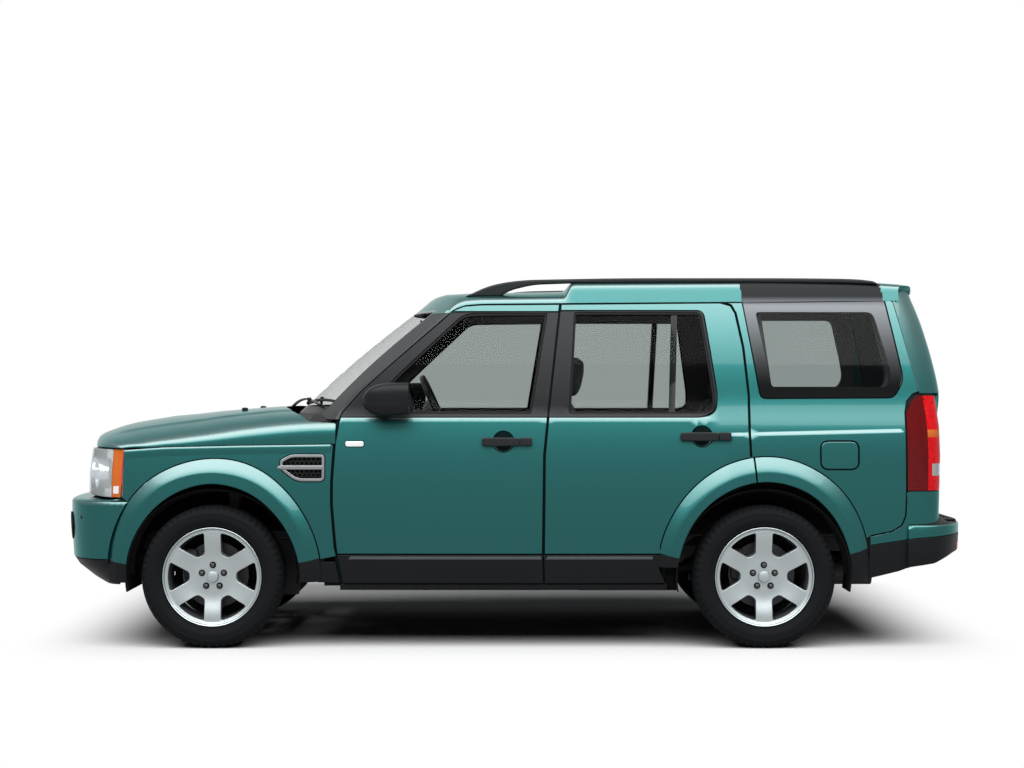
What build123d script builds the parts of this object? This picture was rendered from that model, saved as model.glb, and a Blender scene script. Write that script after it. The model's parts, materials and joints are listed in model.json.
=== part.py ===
from build123d import *
import os
from math import asin, cos, degrees, hypot, radians, sin, sqrt

# Sport utility vehicle, in millimetres. It faces -X, its left side is -Y, +Z is up and the ground
# is z = 0, with the origin on the ground under the middle of the vehicle.
os.makedirs("parts", exist_ok=True)

# ---- driving dimensions ----
length = 4835
half_length = length / 2
front_axle_x = -1579.5
rear_axle_x = 1305.5
axle_z = 373
tyre_radius = 373
tyre_width = 255
rim_radius = 241
track_half = 805
half_width = 940  # of the body skin at its widest, between the axles
arch_radius = 475  # of the opening in the wings and quarters
flare_out = 17  # how far the lip stands off the skin

# The skin's cross-section is two arcs, below and above the belt. Its plan view is one long arc.
crown_radius = 47000
lower_arc_radius = 2200
lower_arc_z = 800
upper_arc_radius = 2450
upper_arc_z = 1000
upper_arc_inset = 1557.2  # the upper arc's centre lies this far beyond the middle plane
belt_z = 1225
glass_base_z = 1250
skin_bottom_z = 280
skin_top_z = 1905

shut_gap = 8
skin_depth = 15  # outer layer of a door, which runs to the shut lines
frame_depth = 45  # door frame round the glass
door_depth = 120  # whole door below the belt
pillar_depth = (72, 130)  # the ring that the doors close against
panel_depth = 35  # wings
glass_depth = (20, 25)
door_inset = 32  # the deep part of a door lies this far inside its outline
pillar_inset = 20
door_bottom_z = 340
sill_top_z = 440
door_sill_clearance = 14

stud_circle = 120
stud_count = 5
stud_radius = 7
brake_disc_radius = 175
steering_axis_y = 712  # the wheel's centre is outboard of it

crown_axis = Axis((0, crown_radius - half_width, 0), (0, 0, 1))


def lower_half_width(z):
    return half_width - lower_arc_radius + sqrt(lower_arc_radius**2 - (z - lower_arc_z) ** 2)


def upper_half_width(z):
    return sqrt(upper_arc_radius**2 - (z - upper_arc_z) ** 2) - upper_arc_inset


def skin_y(x, z):
    """Distance of the skin from the middle plane."""
    half = lower_half_width(z) if z <= belt_z else upper_half_width(max(z, glass_base_z))
    radius = crown_radius - half_width + half
    return sqrt(radius**2 - x**2) - (crown_radius - half_width)


def side_layer(near, far):
    """Left side of the body between two depths under the skin, over the whole length."""
    half_angle = degrees(asin(half_length / crown_radius))
    along = Vector(-sin(radians(half_angle)), -cos(radians(half_angle)), 0)
    # Local x is the distance from the crown axis, local y is height.
    plane = Plane(crown_axis.position, x_dir=along, z_dir=along.cross(Vector(0, 0, 1)))
    offset = crown_radius - half_width

    def lower(z, depth):
        return (offset + lower_half_width(z) - depth, z)

    def upper(z, depth):
        return (offset + upper_half_width(z) - depth, z)

    middle_low = (skin_bottom_z + belt_z) / 2
    middle_high = (glass_base_z + skin_top_z) / 2
    with BuildPart() as layer:
        with BuildSketch(plane):
            with BuildLine():
                ThreePointArc(lower(skin_bottom_z, near), lower(middle_low, near), lower(belt_z, near))
                Line(lower(belt_z, near), upper(glass_base_z, near))
                ThreePointArc(upper(glass_base_z, near), upper(middle_high, near), upper(skin_top_z, near))
                Line(upper(skin_top_z, near), upper(skin_top_z, far))
                ThreePointArc(upper(skin_top_z, far), upper(middle_high, far), upper(glass_base_z, far))
                Line(upper(glass_base_z, far), lower(belt_z, far))
                ThreePointArc(lower(belt_z, far), lower(middle_low, far), lower(skin_bottom_z, far))
                Line(lower(skin_bottom_z, far), lower(skin_bottom_z, near))
            make_face()
        revolve(axis=crown_axis, revolution_arc=2 * half_angle)
    return layer.part


def outline_block(points, inset=0.0, low=None, holes=()):
    """Prism across the left half of the vehicle with the given side view outline."""
    with BuildPart() as block:
        with BuildSketch(Plane.XZ) as face:
            with BuildLine():
                Polyline(*points, close=True)
            make_face()
            if inset:
                offset(amount=-inset, kind=Kind.INTERSECTION, mode=Mode.REPLACE)
            if low is not None:
                with Locations((0, low - 1000)):
                    Rectangle(2 * length, 2000, mode=Mode.SUBTRACT)
            for x, z, radius in holes:
                with Locations((x, z)):
                    Circle(radius, mode=Mode.SUBTRACT)
        extrude(amount=1200)
    return block.part


def write(part, name):
    """Label a finished piece and write it."""
    part.label = name
    export_step(part, f"parts/{name}.step")


def other_side(part):
    return mirror(part, about=Plane.XZ)


def both_sides(part):
    """The left piece and its mirror image as one node."""
    return Compound(children=[*part.solids(), *other_side(part).solids()])


arches = ((front_axle_x, axle_z, arch_radius), (rear_axle_x, axle_z, arch_radius))

# ---- side view outlines ----
front_door_outline = (
    (-898, door_bottom_z), (-932, 528), (-950, 750), (-950, 869), (-935, 1081), (-915, 1190),
    (-900, 1232), (-800, 1344), (-638, 1491), (-488, 1623), (-383, 1715), (-319, 1772),
    (-267, 1793), (-174, 1800), (239, 1803), (207, 1520), (174, 1229), (152, 1008), (146, 500),
    (150, door_bottom_z),
)
front_window_outline = (
    (-645, 1400), (-560, 1478), (-266, 1749), (-215, 1757), (172, 1757), (85, 1229), (-645, 1229),
)
rear_door_outline = (
    (158, door_bottom_z), (154, 500), (160, 1008), (182, 1229), (215, 1520), (247, 1803),
    (1090, 1811), (1144, 1795), (1167, 1755), (1202, 1572), (1226, 1321), (1226, 1120),
    (1231, 1008), (1248, 857), (1248, 700), (1050, 700), (800, 500), (800, door_bottom_z),
)
rear_window_outline = (
    (282, 1229), (315, 1762), (992, 1762), (1002, 1728), (1055, 1331), (1015, 1240), (700, 1229),
)
quarter_window_outline = (
    (1300, 1306), (1286, 1334), (1206, 1838), (1960, 1838), (2044, 1420), (2030, 1370), (1990, 1312),
)
side_outline = (
    (-1018, 1200), (-416, 1755), (-362, 1812), (-300, 1838), (390, 1850), (460, 1872), (2120, 1862),
    (2140, 1850), (2196, 1692), (2230, 1549), (2258, 1419), (2268, 1331), (2110, 1324), (2060, 1260),
    (2050, 836), (2042, 690), (1985, 630), (1700, 606), (1100, 606), (1100, 1200),
)
wing_outline = (
    (-2050, 1045), (-2062, 800), (-2022, 768), (-2066, 690), (-2100, 590), (-2118, 470), (-2100, 440),
    (-1150, 340), (-906, 340), (-940, 528), (-958, 750), (-958, 869), (-943, 1075), (-1500, 1068),
)

# ---- body structure ----
rail_outline = (
    (-2240, 450), (-1180, 450), (-980, 316), (780, 316), (990, 470), (2230, 470), (2230, 545),
    (960, 545), (765, 390), (-950, 390), (-1150, 540), (-2240, 540),
)
rail_y = 380
rail_width = 70
towbar_x = 2290
towbar_bolt_spacing = (90, 56)
towbar_bolt_radius = 6.5
with BuildPart() as chassis_frame:
    for side in (-1, 1):
        with BuildSketch(Plane.XZ.offset(-side * rail_y)):
            with BuildLine():
                Polyline(*rail_outline, close=True)
            make_face()
        extrude(amount=rail_width / 2, both=True)
    for x, z in ((-2200, 495), (-700, 352), (300, 352), (1080, 505), (2190, 505)):
        with Locations((x, 0, z)):
            Box(60, 2 * rail_y, 70)
    # Front cradle below the engine, on posts under the rails.
    for side in (-1, 1):
        with Locations((-1560, side * rail_y, 262)):
            Box(760, 64, 60)
        for x in (-1900, -1230):
            with Locations((x, side * rail_y, 365)):
                Box(70, 60, 180)
    for x in (-1900, -1230):
        with Locations((x, 0, 262)):
            Box(70, 2 * rail_y, 60)
    # Rear cradle.
    for side in (-1, 1):
        with Locations((1330, side * rail_y, 262)):
            Box(620, 60, 56)
        for x in (1060, 1600):
            with Locations((x, side * rail_y, 375)):
                Box(60, 56, 210)
    for x in (1060, 1600):
        with Locations((x, 0, 262)):
            Box(60, 2 * rail_y, 56)
    # Towbar: a tube back from the rear crossmember to an upright plate with four bolt holes.
    with Locations((2240, 0, 500)):
        Box(80, 80, 60)
    with Locations((towbar_x - 8, 0, 462)):
        Box(16, 130, 140)
    with Locations(Plane.YZ.offset(towbar_x) * Pos(0, 442, 0)):
        with GridLocations(*towbar_bolt_spacing, 2, 2):
            Hole(towbar_bolt_radius, depth=40)
write(chassis_frame.part, "chassis_frame")

floor_half_width = 735
boot_floor_z = 575
bulkhead_x = -1010
floor_outline = (
    (bulkhead_x - 20, 1150), (bulkhead_x - 20, 560), (-850, 398), (760, 398), (960, 565),
    (2150, 565), (2150, 580), (950, 580), (745, 413), (-840, 413), (bulkhead_x, 570),
    (bulkhead_x, 1150),
)
with BuildPart() as floor_pan:
    with BuildSketch(Plane.XZ):
        with BuildLine():
            Polyline(*floor_outline, close=True)
        make_face()
    extrude(amount=floor_half_width, both=True)
    # Centre tunnel.
    with BuildSketch(Plane.YZ.offset(-880)):
        with Locations((0, 470)):
            Rectangle(240, 140)
    extrude(amount=1780)
    with BuildSketch(Plane.YZ.offset(-1100)):
        with Locations((0, 440)):
            Rectangle(200, 150)
    extrude(amount=2005, mode=Mode.SUBTRACT)
    # Room for the rear wheelhouses.
    for side in (-1, 1):
        with BuildSketch(Plane.XZ.offset(-side * 636)):
            with Locations((rear_axle_x, axle_z)):
                Circle(arch_radius - 5)
        extrude(amount=side * -120, mode=Mode.SUBTRACT)
write(floor_pan.part, "floor_pan")

liner_radius = 459
liner_thickness = 6
with BuildPart() as arch_liners:
    for x, inner in ((front_axle_x, 452), (rear_axle_x, 640)):
        with BuildSketch(Plane.XZ.offset(inner)):
            with Locations((x, axle_z)):
                Circle(liner_radius)
                Circle(liner_radius - liner_thickness, mode=Mode.SUBTRACT)
            with Locations((x, axle_z - 400)):
                Rectangle(1000, 640, mode=Mode.SUBTRACT)
        extrude(amount=888 - inner)
        with BuildSketch(Plane.XZ.offset(inner)):
            with Locations((x, axle_z)):
                Circle(liner_radius)
            with Locations((x, axle_z - 400)):
                Rectangle(1000, 1220, mode=Mode.SUBTRACT)
        extrude(amount=liner_thickness)
write(both_sides(arch_liners.part), "wheel_arch_liners")

engine_size = (560, 620, 480)
with BuildPart() as engine_block:
    with Locations((-1640, 0, 780)):
        Box(*engine_size)
    chamfer(engine_block.edges().filter_by(Axis.Z), 60)
write(engine_block.part, "engine_block")

shaft_radius = 16
propshaft_z = 440
with BuildPart() as driveline:
    with Locations((-1500, 0, 420)):
        Box(420, 300, 160)
    with Locations((front_axle_x, 0, axle_z)):
        Cylinder(70, 260, rotation=(90, 0, 0))
    with Locations((rear_axle_x, 0, axle_z)):
        Sphere(110)
        Cylinder(60, 300, rotation=(90, 0, 0))
        Cylinder(shaft_radius, 1380, rotation=(90, 0, 0))
    with Locations((front_axle_x, 0, axle_z)):
        Cylinder(shaft_radius, 1320, rotation=(90, 0, 0))
    with Locations((-60, 0, axle_z + 56)):
        Cylinder(36, 2560, rotation=(0, 90, 0))
    with Locations((1215, 0, axle_z + 45)):
        Box(60, 90, 90)
write(driveline.part, "driveline")

pipe_radius = 27
exhaust_route = ((-1080, 240, 300), (-760, 200, 262), (700, 200, 262), (990, 250, 325), (1850, 250, 325))
with BuildPart() as exhaust_system:
    with BuildLine() as route:
        FilletPolyline(*exhaust_route, radius=90)
    with BuildSketch(Plane(exhaust_route[0], z_dir=route.line % 0)):
        Circle(pipe_radius)
    sweep()
    with BuildSketch(Plane.YZ.offset(-300)):
        with Locations((200, 262)):
            SlotOverall(250, 104)
    extrude(amount=620)
    with BuildSketch(Plane.YZ.offset(1750)):
        with Locations((150, 315)):
            SlotOverall(460, 130)
    extrude(amount=260)
write(exhaust_system.part, "exhaust_system")

with BuildPart() as fuel_tank:
    with Locations((620, -190, 300)):
        Box(560, 290, 110)
    fillet(fuel_tank.edges(), 18)
write(fuel_tank.part, "fuel_tank")

with BuildPart() as spare_wheel:
    with Locations((1960, 0, 432)):
        Cylinder(205, 62)
        Cylinder(118, 80)
    fillet(spare_wheel.edges().filter_by(GeomType.CIRCLE).group_by(SortBy.RADIUS)[-1], 20)
write(spare_wheel.part, "spare_wheel")

# ---- running gear ----
kingpin_radius = 14
arm_eye_radius = 30
lower_joint_z = 235
upper_joint_z = 548
arm_root_y = 416
coil_radius = 38


def wishbone(height, half_spread):
    """Left triangular arm, from two pivots on the frame out to an eye round the knuckle's pin."""
    with BuildPart() as arm:
        with BuildSketch(Plane.XY.offset(height)):
            with BuildLine():
                Polyline((front_axle_x, -steering_axis_y), (front_axle_x - half_spread, -arm_root_y),
                         (front_axle_x + half_spread, -arm_root_y), close=True)
            make_face()
            with BuildLine():
                Polyline((front_axle_x, -steering_axis_y + 80),
                         (front_axle_x - half_spread * 0.62, -arm_root_y - 28),
                         (front_axle_x + half_spread * 0.62, -arm_root_y - 28), close=True)
            make_face(mode=Mode.SUBTRACT)
            with Locations((front_axle_x, -steering_axis_y)):
                Circle(arm_eye_radius)
                Circle(kingpin_radius + 0.3, mode=Mode.SUBTRACT)
        extrude(amount=12, both=True)
    return arm.part


with BuildPart() as suspension_arms:
    # Front wishbones with an eye round each pin of the knuckle, and the coil spring between them.
    add(wishbone(lower_joint_z, 190))
    add(wishbone(upper_joint_z, 110))
    with BuildSketch(Plane.XY.offset(lower_joint_z)):
        with Locations((front_axle_x + 75, -545)):
            Circle(coil_radius)
    extrude(amount=560)
    # Rear lower arms and spring columns.
    with BuildSketch(Plane.XY.offset(lower_joint_z)):
        with BuildLine():
            Polyline((rear_axle_x - 200, -412), (rear_axle_x - 60, -658), (rear_axle_x + 60, -658),
                     (rear_axle_x + 200, -412), close=True)
        make_face()
        with Locations((rear_axle_x, -500)):
            Circle(60, mode=Mode.SUBTRACT)
    extrude(amount=12, both=True)
    with Locations((rear_axle_x + 90, -560, 400)):
        Cylinder(48, 310)
write(both_sides(suspension_arms.part), "suspension_arms")

disc_y = 755  # middle of the brake disc
caliper_offset = (135, 75)


def caliper(x, direction):
    """Brake caliper over the disc, with its bracket, in the current part."""
    along = direction * caliper_offset[0]
    with Locations((x + along, -disc_y, axle_z + caliper_offset[1])):
        Box(80, 96, 80)
    with Locations((x, -disc_y, axle_z)):
        Cylinder(brake_disc_radius + 6, 26, rotation=(90, 0, 0), mode=Mode.SUBTRACT)
    with Locations((x + direction * 90, -712, axle_z + 62)):
        Box(90, 30, 60)


with BuildPart() as rear_hub_carriers:
    with Locations((rear_axle_x, -690, axle_z)):
        Box(120, 60, 190)
        Cylinder(70, 90, rotation=(90, 0, 0))
    caliper(rear_axle_x, -1)
    with Locations((rear_axle_x, -690, axle_z)):
        Cylinder(shaft_radius + 0.5, 200, rotation=(90, 0, 0), mode=Mode.SUBTRACT)
    with Locations((rear_axle_x, -690, 262)):
        Box(110, 60, 60)
write(both_sides(rear_hub_carriers.part), "rear_hub_carriers")


def knuckle_part():
    """Left knuckle: upright with two kingpins, the hub barrel and the brake caliper."""
    with BuildPart() as knuckle:
        with Locations((front_axle_x, -steering_axis_y, axle_z + 22)):
            Box(96, 54, 262)
        with Locations((front_axle_x, -steering_axis_y, axle_z)):
            Cylinder(70, 60, rotation=(90, 0, 0))
        with Locations((front_axle_x, -steering_axis_y, lower_joint_z + 8)):
            Cylinder(kingpin_radius, 44)
        with Locations((front_axle_x, -steering_axis_y, upper_joint_z - 8)):
            Cylinder(kingpin_radius, 44)
        caliper(front_axle_x, 1)
        with Locations((front_axle_x, -steering_axis_y, axle_z)):
            Cylinder(24, 200, rotation=(90, 0, 0), mode=Mode.SUBTRACT)
    return knuckle.part


left_knuckle = knuckle_part()
write(left_knuckle, "knuckle_left")
write(other_side(left_knuckle), "knuckle_right")

rim_half_width = 115
rim_well_radius = 222
rim_flange_radius = 257
spoke_count = 6
spoke_width = 84
spoke_face = 78  # offset of the wheel's face from its middle plane
disc_offset = disc_y - track_half  # of the brake disc from the wheel's middle plane


def tyre_part(x, side):
    """Tyre as a ring with rounded shoulders."""
    with BuildPart() as tyre:
        with BuildSketch(Plane.YZ):
            with BuildLine():
                Polyline((-99, rim_radius), (-106, 258), (-124, 267), (-tyre_width / 2, 300), (-118, 350),
                         (-92, tyre_radius - 4), (0, tyre_radius), (92, tyre_radius - 4), (118, 350),
                         (tyre_width / 2, 300), (124, 267), (106, 258), (99, rim_radius), close=True)
            make_face()
        revolve(axis=Axis.Y)
    return tyre.part.moved(Location((x, side * track_half, axle_z)))


def wheel_part(x, side):
    """Alloy wheel with its hub and brake disc. It is built facing -Y about its own centre."""
    with BuildPart() as wheel:
        with BuildSketch(Plane.YZ):
            with BuildLine():
                Polyline((-rim_half_width, rim_flange_radius - 1), (-rim_half_width, rim_radius - 14),
                         (-80, rim_well_radius), (80, rim_well_radius), (rim_half_width, rim_radius - 14),
                         (rim_half_width, rim_flange_radius - 1), (108, rim_flange_radius - 1),
                         (100, rim_radius - 1), (-100, rim_radius - 1), (-108, rim_flange_radius - 1),
                         close=True)
            make_face()
        revolve(axis=Axis.Y)
        with BuildSketch(Plane.XZ.offset(spoke_face - 34)):
            Circle(92)
            with PolarLocations(150, spoke_count, start_angle=30):
                Rectangle(170, spoke_width)
            Circle(rim_well_radius + 6, mode=Mode.INTERSECT)
        extrude(amount=34)
        with BuildSketch(Plane.XZ.offset(disc_offset)):
            Circle(78)
        extrude(amount=spoke_face - 34 - disc_offset)
        with BuildSketch(Plane.XZ.offset(disc_offset - 6)):
            Circle(brake_disc_radius)
            Circle(70, mode=Mode.SUBTRACT)
        extrude(amount=12)
        with Locations(Plane.XZ.offset(spoke_face)):
            with PolarLocations(stud_circle / 2, stud_count, start_angle=90):
                Hole(stud_radius, depth=30)
    part = wheel.part if side < 0 else other_side(wheel.part)
    return part.moved(Location((x, side * track_half, axle_z)))


for axle_name, axle_x in (("front", front_axle_x), ("rear", rear_axle_x)):
    for side_name, side in (("left", -1), ("right", 1)):
        write(tyre_part(axle_x, side), f"tyre_{axle_name}_{side_name}")
        write(wheel_part(axle_x, side), f"wheel_{axle_name}_{side_name}")

# ---- body sides, wings and doors ----
full_layer = side_layer(0, pillar_depth[1])
pillar_layer = side_layer(*pillar_depth)
wing_layer = side_layer(0, panel_depth)
skin_layer = side_layer(0, skin_depth)
door_frame_layer = side_layer(skin_depth - 3, frame_depth)
door_box_layer = side_layer(frame_depth - 3, door_depth)
glass_layer = side_layer(*glass_depth)
fuel_flap_centre = (1700, 1008)
fuel_flap_size = (196, 142)

with BuildPart() as envelope:
    add(side_layer(0, half_width + 20))
    add(other_side(envelope.part))
body_envelope = envelope.part
with BuildPart() as foot_relief:
    add(side_layer(0, 26))
    add(outline_block(((-1100, 1100), (-1100, 1236), (-904, 1236), (-904, 1100))), mode=Mode.INTERSECT)
with BuildPart() as body_side:
    add(full_layer)
    add(outline_block(side_outline, holes=arches), mode=Mode.INTERSECT)
    for outline in (front_door_outline, rear_door_outline):
        add(outline_block(outline, inset=-shut_gap), mode=Mode.SUBTRACT)
    add(outline_block(quarter_window_outline), mode=Mode.SUBTRACT)
    # The foot of the windscreen pillar stands inside the bonnet's flank.
    add(foot_relief.part, mode=Mode.SUBTRACT)
    # Fuel filler pocket.
    with BuildSketch(Plane.XZ.offset(860)):
        with Locations(fuel_flap_centre):
            RectangleRounded(fuel_flap_size[0] + 12, fuel_flap_size[1] + 12, 18)
    extrude(amount=200, mode=Mode.SUBTRACT)
    # The hollow of the load space inside the quarter.
    with BuildSketch(Plane.XZ):
        with Locations((1640, 1080)):
            Rectangle(600, 300)
    extrude(amount=skin_y(1640, 1080) - 100, mode=Mode.SUBTRACT)

ring_outline = (
    (-1005, 300), (-1005, 1190), (-362, 1800), (-300, 1838), (390, 1850), (1290, 1850),
    (1290, 880), (1000, 745), (850, 600), (790, 420), (790, 300),
)
with BuildPart() as door_ring:
    add(pillar_layer)
    add(outline_block(ring_outline), mode=Mode.INTERSECT)
    for outline in (front_door_outline, rear_door_outline):
        add(outline_block(outline, inset=pillar_inset, low=sill_top_z), mode=Mode.SUBTRACT)
with BuildPart() as sill:
    add(side_layer(10, pillar_depth[1]))
    add(outline_block(((-900, 292), (-900, door_bottom_z - shut_gap), (800, door_bottom_z - shut_gap),
                       (800, 292))), mode=Mode.INTERSECT)
with BuildPart() as body_left:
    add(body_side.part)
    add(door_ring.part)
    add(sill.part)
write(both_sides(body_left.part), "body_sides")


def flare(x, sector_points):
    """Raised lip round an arch, cut to a sector by its side view outline."""
    with BuildPart() as lip:
        with BuildSketch(Plane.XZ.offset(860)):
            with Locations((x, axle_z)):
                Circle(arch_radius + 95)
                Circle(arch_radius, mode=Mode.SUBTRACT)
        extrude(amount=half_width + flare_out - 860 - 6)
        add(outline_block(sector_points), mode=Mode.INTERSECT)
    return lip.part


front_flare_area = (
    (-2118, 440), (-2118, 480), (-2022, 768), (-2022, 1000), (-1130, 1000), (-960, 800), (-1010, 340),
    (-1130, 340),
)
with BuildPart() as front_wing:
    add(wing_layer)
    add(outline_block(wing_outline, holes=arches[:1]), mode=Mode.INTERSECT)
    add(flare(front_axle_x, front_flare_area))
write(both_sides(front_wing.part), "front_wings")


def door_part(outline, window, handle_x, handle_z, extra=None):
    """Left door: a thin skin to the shut lines, a frame inside it and a deep box below the belt."""
    with BuildPart() as skin:
        add(skin_layer)
        add(outline_block(outline, holes=arches[1:]), mode=Mode.INTERSECT)
    with BuildPart() as frame:
        add(door_frame_layer)
        add(outline_block(outline, inset=18, holes=((rear_axle_x, axle_z, arch_radius + 12),)),
            mode=Mode.INTERSECT)
    with BuildPart() as box:
        add(door_box_layer)
        add(outline_block(outline, inset=door_inset, low=sill_top_z + door_sill_clearance,
                          holes=((rear_axle_x, axle_z, arch_radius + 40),)), mode=Mode.INTERSECT)
        with Locations((0, -700, belt_z + 495)):
            Box(2 * length, 1400, 1000, mode=Mode.SUBTRACT)
    with BuildPart() as door:
        add(skin.part)
        add(frame.part)
        add(box.part)
        if extra is not None:
            add(extra)
        add(outline_block(window), mode=Mode.SUBTRACT)
        # Pull handle: a bar on two feet over a shallow cup.
        handle_y = skin_y(handle_x, handle_z)
        with Locations((handle_x, -handle_y - 21, handle_z)):
            Box(250, 14, 34)
        for end in (-1, 1):
            with Locations((handle_x + end * 112, -handle_y - 8, handle_z)):
                Box(26, 36, 34)
    return door.part


def glass_part(window):
    """Left door glass, filling its window."""
    with BuildPart() as pane:
        add(glass_layer)
        add(outline_block(window), mode=Mode.INTERSECT)
    return pane.part


rear_door_flare = flare(rear_axle_x, ((700, 700), (700, 1100), (1240, 1100), (1240, 700), (1050, 480),
                                      (780, 480)))
quarter_flare = flare(rear_axle_x, ((1256, 700), (1256, 1100), (1900, 1100), (1900, 606), (1600, 606)))
left_front_door = door_part(front_door_outline, front_window_outline, -38, 1080)
left_rear_door = door_part(rear_door_outline, rear_window_outline, 1000, 1106, rear_door_flare)
write(left_front_door, "door_front_left")
write(other_side(left_front_door), "door_front_right")
write(left_rear_door, "door_rear_left")
write(other_side(left_rear_door), "door_rear_right")
left_front_glass = glass_part(front_window_outline)
left_rear_glass = glass_part(rear_window_outline)
write(left_front_glass, "door_glass_front_left")
write(other_side(left_front_glass), "door_glass_front_right")
write(left_rear_glass, "door_glass_rear_left")
write(other_side(left_rear_glass), "door_glass_rear_right")
write(both_sides(glass_part(quarter_window_outline)), "quarter_glass")

mirror_centre = (-666, -1010, 1308)
mirror_size = (240, 170, 176)
mirror_rounding = 40
with BuildPart() as mirror_left:
    with Locations(mirror_centre):
        Box(*mirror_size)
    fillet(mirror_left.edges(), mirror_rounding)
    with Locations((-690, -915, 1256)):
        Box(70, 100, 40)
    add(left_front_door, mode=Mode.SUBTRACT)
write(mirror_left.part, "door_mirror_left")
write(other_side(mirror_left.part), "door_mirror_right")

with BuildPart() as fuel_flap:
    add(side_layer(0, 10))
    with BuildSketch(Plane.XZ.offset(800)):
        with Locations(fuel_flap_centre):
            RectangleRounded(*fuel_flap_size, 12)
    extrude(amount=300, mode=Mode.INTERSECT)
write(fuel_flap.part, "fuel_flap")

# ---- roof, screens and tailgate ----
screen_base = (-1186.5, 1240)
screen_bulge = 110
screen_base_half = 722
screen_top_half = 622
screen_top_z = 1836


def screen_arc_block(thickness, centre_x, z, bulge, half, run):
    """Curved sheet made from a plan arc carried along a slope."""
    side_x = centre_x + bulge
    with BuildPart() as sheet:
        with BuildSketch(Plane.XY.offset(z)):
            with BuildLine():
                ThreePointArc((side_x, -half), (centre_x, 0), (side_x, half))
                Line((side_x, half), (side_x + thickness, half))
                ThreePointArc((side_x + thickness, half), (centre_x + thickness, 0),
                              (side_x + thickness, -half))
                Line((side_x + thickness, -half), (side_x, -half))
            make_face()
        extrude(amount=hypot(*run), dir=(run[0], 0, run[1]))
    return sheet.part


def width_block(points):
    """Prism along the whole length with the given outline seen from the rear, both sides."""
    with BuildPart() as block:
        with BuildSketch(Plane.YZ.offset(-half_length)):
            with BuildLine():
                Polyline(*points, *[(-y, z) for y, z in reversed(points)], close=True)
            make_face()
        extrude(amount=length)
    return block.part


with BuildPart() as windscreen:
    add(screen_arc_block(9, *screen_base, screen_bulge, 725, (640, 541.4)))
    add(width_block(((screen_base_half, 1238), (screen_top_half, screen_top_z))), mode=Mode.INTERSECT)
write(windscreen.part, "windscreen")

roof_rear_x = 2076
roof_half_front = 600
roof_half_rear = 552
roof_top_line = (
    (-480, 1842), (-380, 1862), (-200, 1874), (390, 1880), (460, 1906), (1300, 1912), (1900, 1896),
    (roof_rear_x, 1880),
)
roof_thickness = 34
with BuildPart() as roof_panel:
    with BuildSketch(Plane.XZ):
        with BuildLine():
            Polyline(*roof_top_line, *[(x, z - roof_thickness) for x, z in reversed(roof_top_line)],
                     close=True)
        make_face()
    extrude(amount=roof_half_front, both=True)
    with BuildSketch(Plane.XY.offset(1700)):
        with BuildLine():
            ThreePointArc((-370, -roof_half_front), (-474, 0), (-370, roof_half_front))
            ThreePointArc((-370, roof_half_front), (853, 590), (2055, roof_half_rear))
            ThreePointArc((2055, roof_half_rear), (roof_rear_x, 0), (2055, -roof_half_rear))
            ThreePointArc((2055, -roof_half_rear), (853, -590), (-370, -roof_half_front))
        make_face()
    extrude(amount=300, mode=Mode.INTERSECT)
write(roof_panel.part, "roof_panel")

rail_height = 1945
with BuildPart() as roof_rails:
    with BuildSketch(Plane.XZ.offset(668)):
        with BuildLine():
            Polyline((-250, 1844), (-130, 1905), (30, 1934), (560, rail_height), (1500, rail_height),
                     (1940, 1934), (1995, 1905), (2000, 1866), (1850, 1866), (1830, 1908), (460, 1908),
                     (440, 1908), (40, 1900), (-60, 1872), (-110, 1848), close=True)
        make_face()
    extrude(amount=34)
write(both_sides(roof_rails.part), "roof_rails")

gate_gap = 8
upper_gate_z = 1165
# Side view of the rear face: outer line from the roof down to the bumper.
rear_face_line = ((2126, 1874), (2196, 1692), (2236, 1549), (2266, 1419), (2284, 1300), (2302, upper_gate_z))
lower_face_line = ((2303, upper_gate_z - gate_gap), (2308, 1000), (2300, 700))
lower_gate_drop = 5  # its top edge slopes inwards, to clear the upper gate as it folds down


def rear_shell(line, thickness, half_points, top_drop=0):
    """Rear panel whose side view is a line carried across the width, between side edges."""
    inner = [(x - thickness, z) for x, z in reversed(line)]
    inner[-1] = (inner[-1][0], inner[-1][1] - top_drop)
    with BuildPart() as shell:
        with BuildSketch(Plane.XZ):
            with BuildLine():
                Polyline(*line, *inner, close=True)
            make_face()
        extrude(amount=900, both=True)
        add(width_block(half_points), mode=Mode.INTERSECT)
    return shell.part


rear_glass_half = ((600, 1250), (520, 1790))
with BuildPart() as tailgate_upper:
    add(rear_shell(rear_face_line, 36, ((702, upper_gate_z), (674, 1325), (600, 1692), (545, 1880))))
    add(width_block(rear_glass_half), mode=Mode.SUBTRACT)
write(tailgate_upper.part, "tailgate_upper")
with BuildPart() as tailgate_glass:
    add(rear_shell([(x - 8, z) for x, z in rear_face_line], 5, rear_glass_half))
write(tailgate_glass.part, "tailgate_glass")
with BuildPart() as tailgate_lower:
    add(rear_shell(lower_face_line, 60, ((735, 700), (735, 1157)), lower_gate_drop))
write(tailgate_lower.part, "tailgate_lower")

with BuildPart() as tail_lamps:
    add(side_layer(0, 110))
    add(outline_block(((2066, 840), (2076, 1255), (2118, 1310), (2268, 1316), (2290, 1200), (2292, 840))),
        mode=Mode.INTERSECT)
    with Locations((2100, 0, 1100)):
        Box(600, 2 * 745, 900, mode=Mode.SUBTRACT)
write(both_sides(tail_lamps.part), "tail_lamps")

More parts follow.
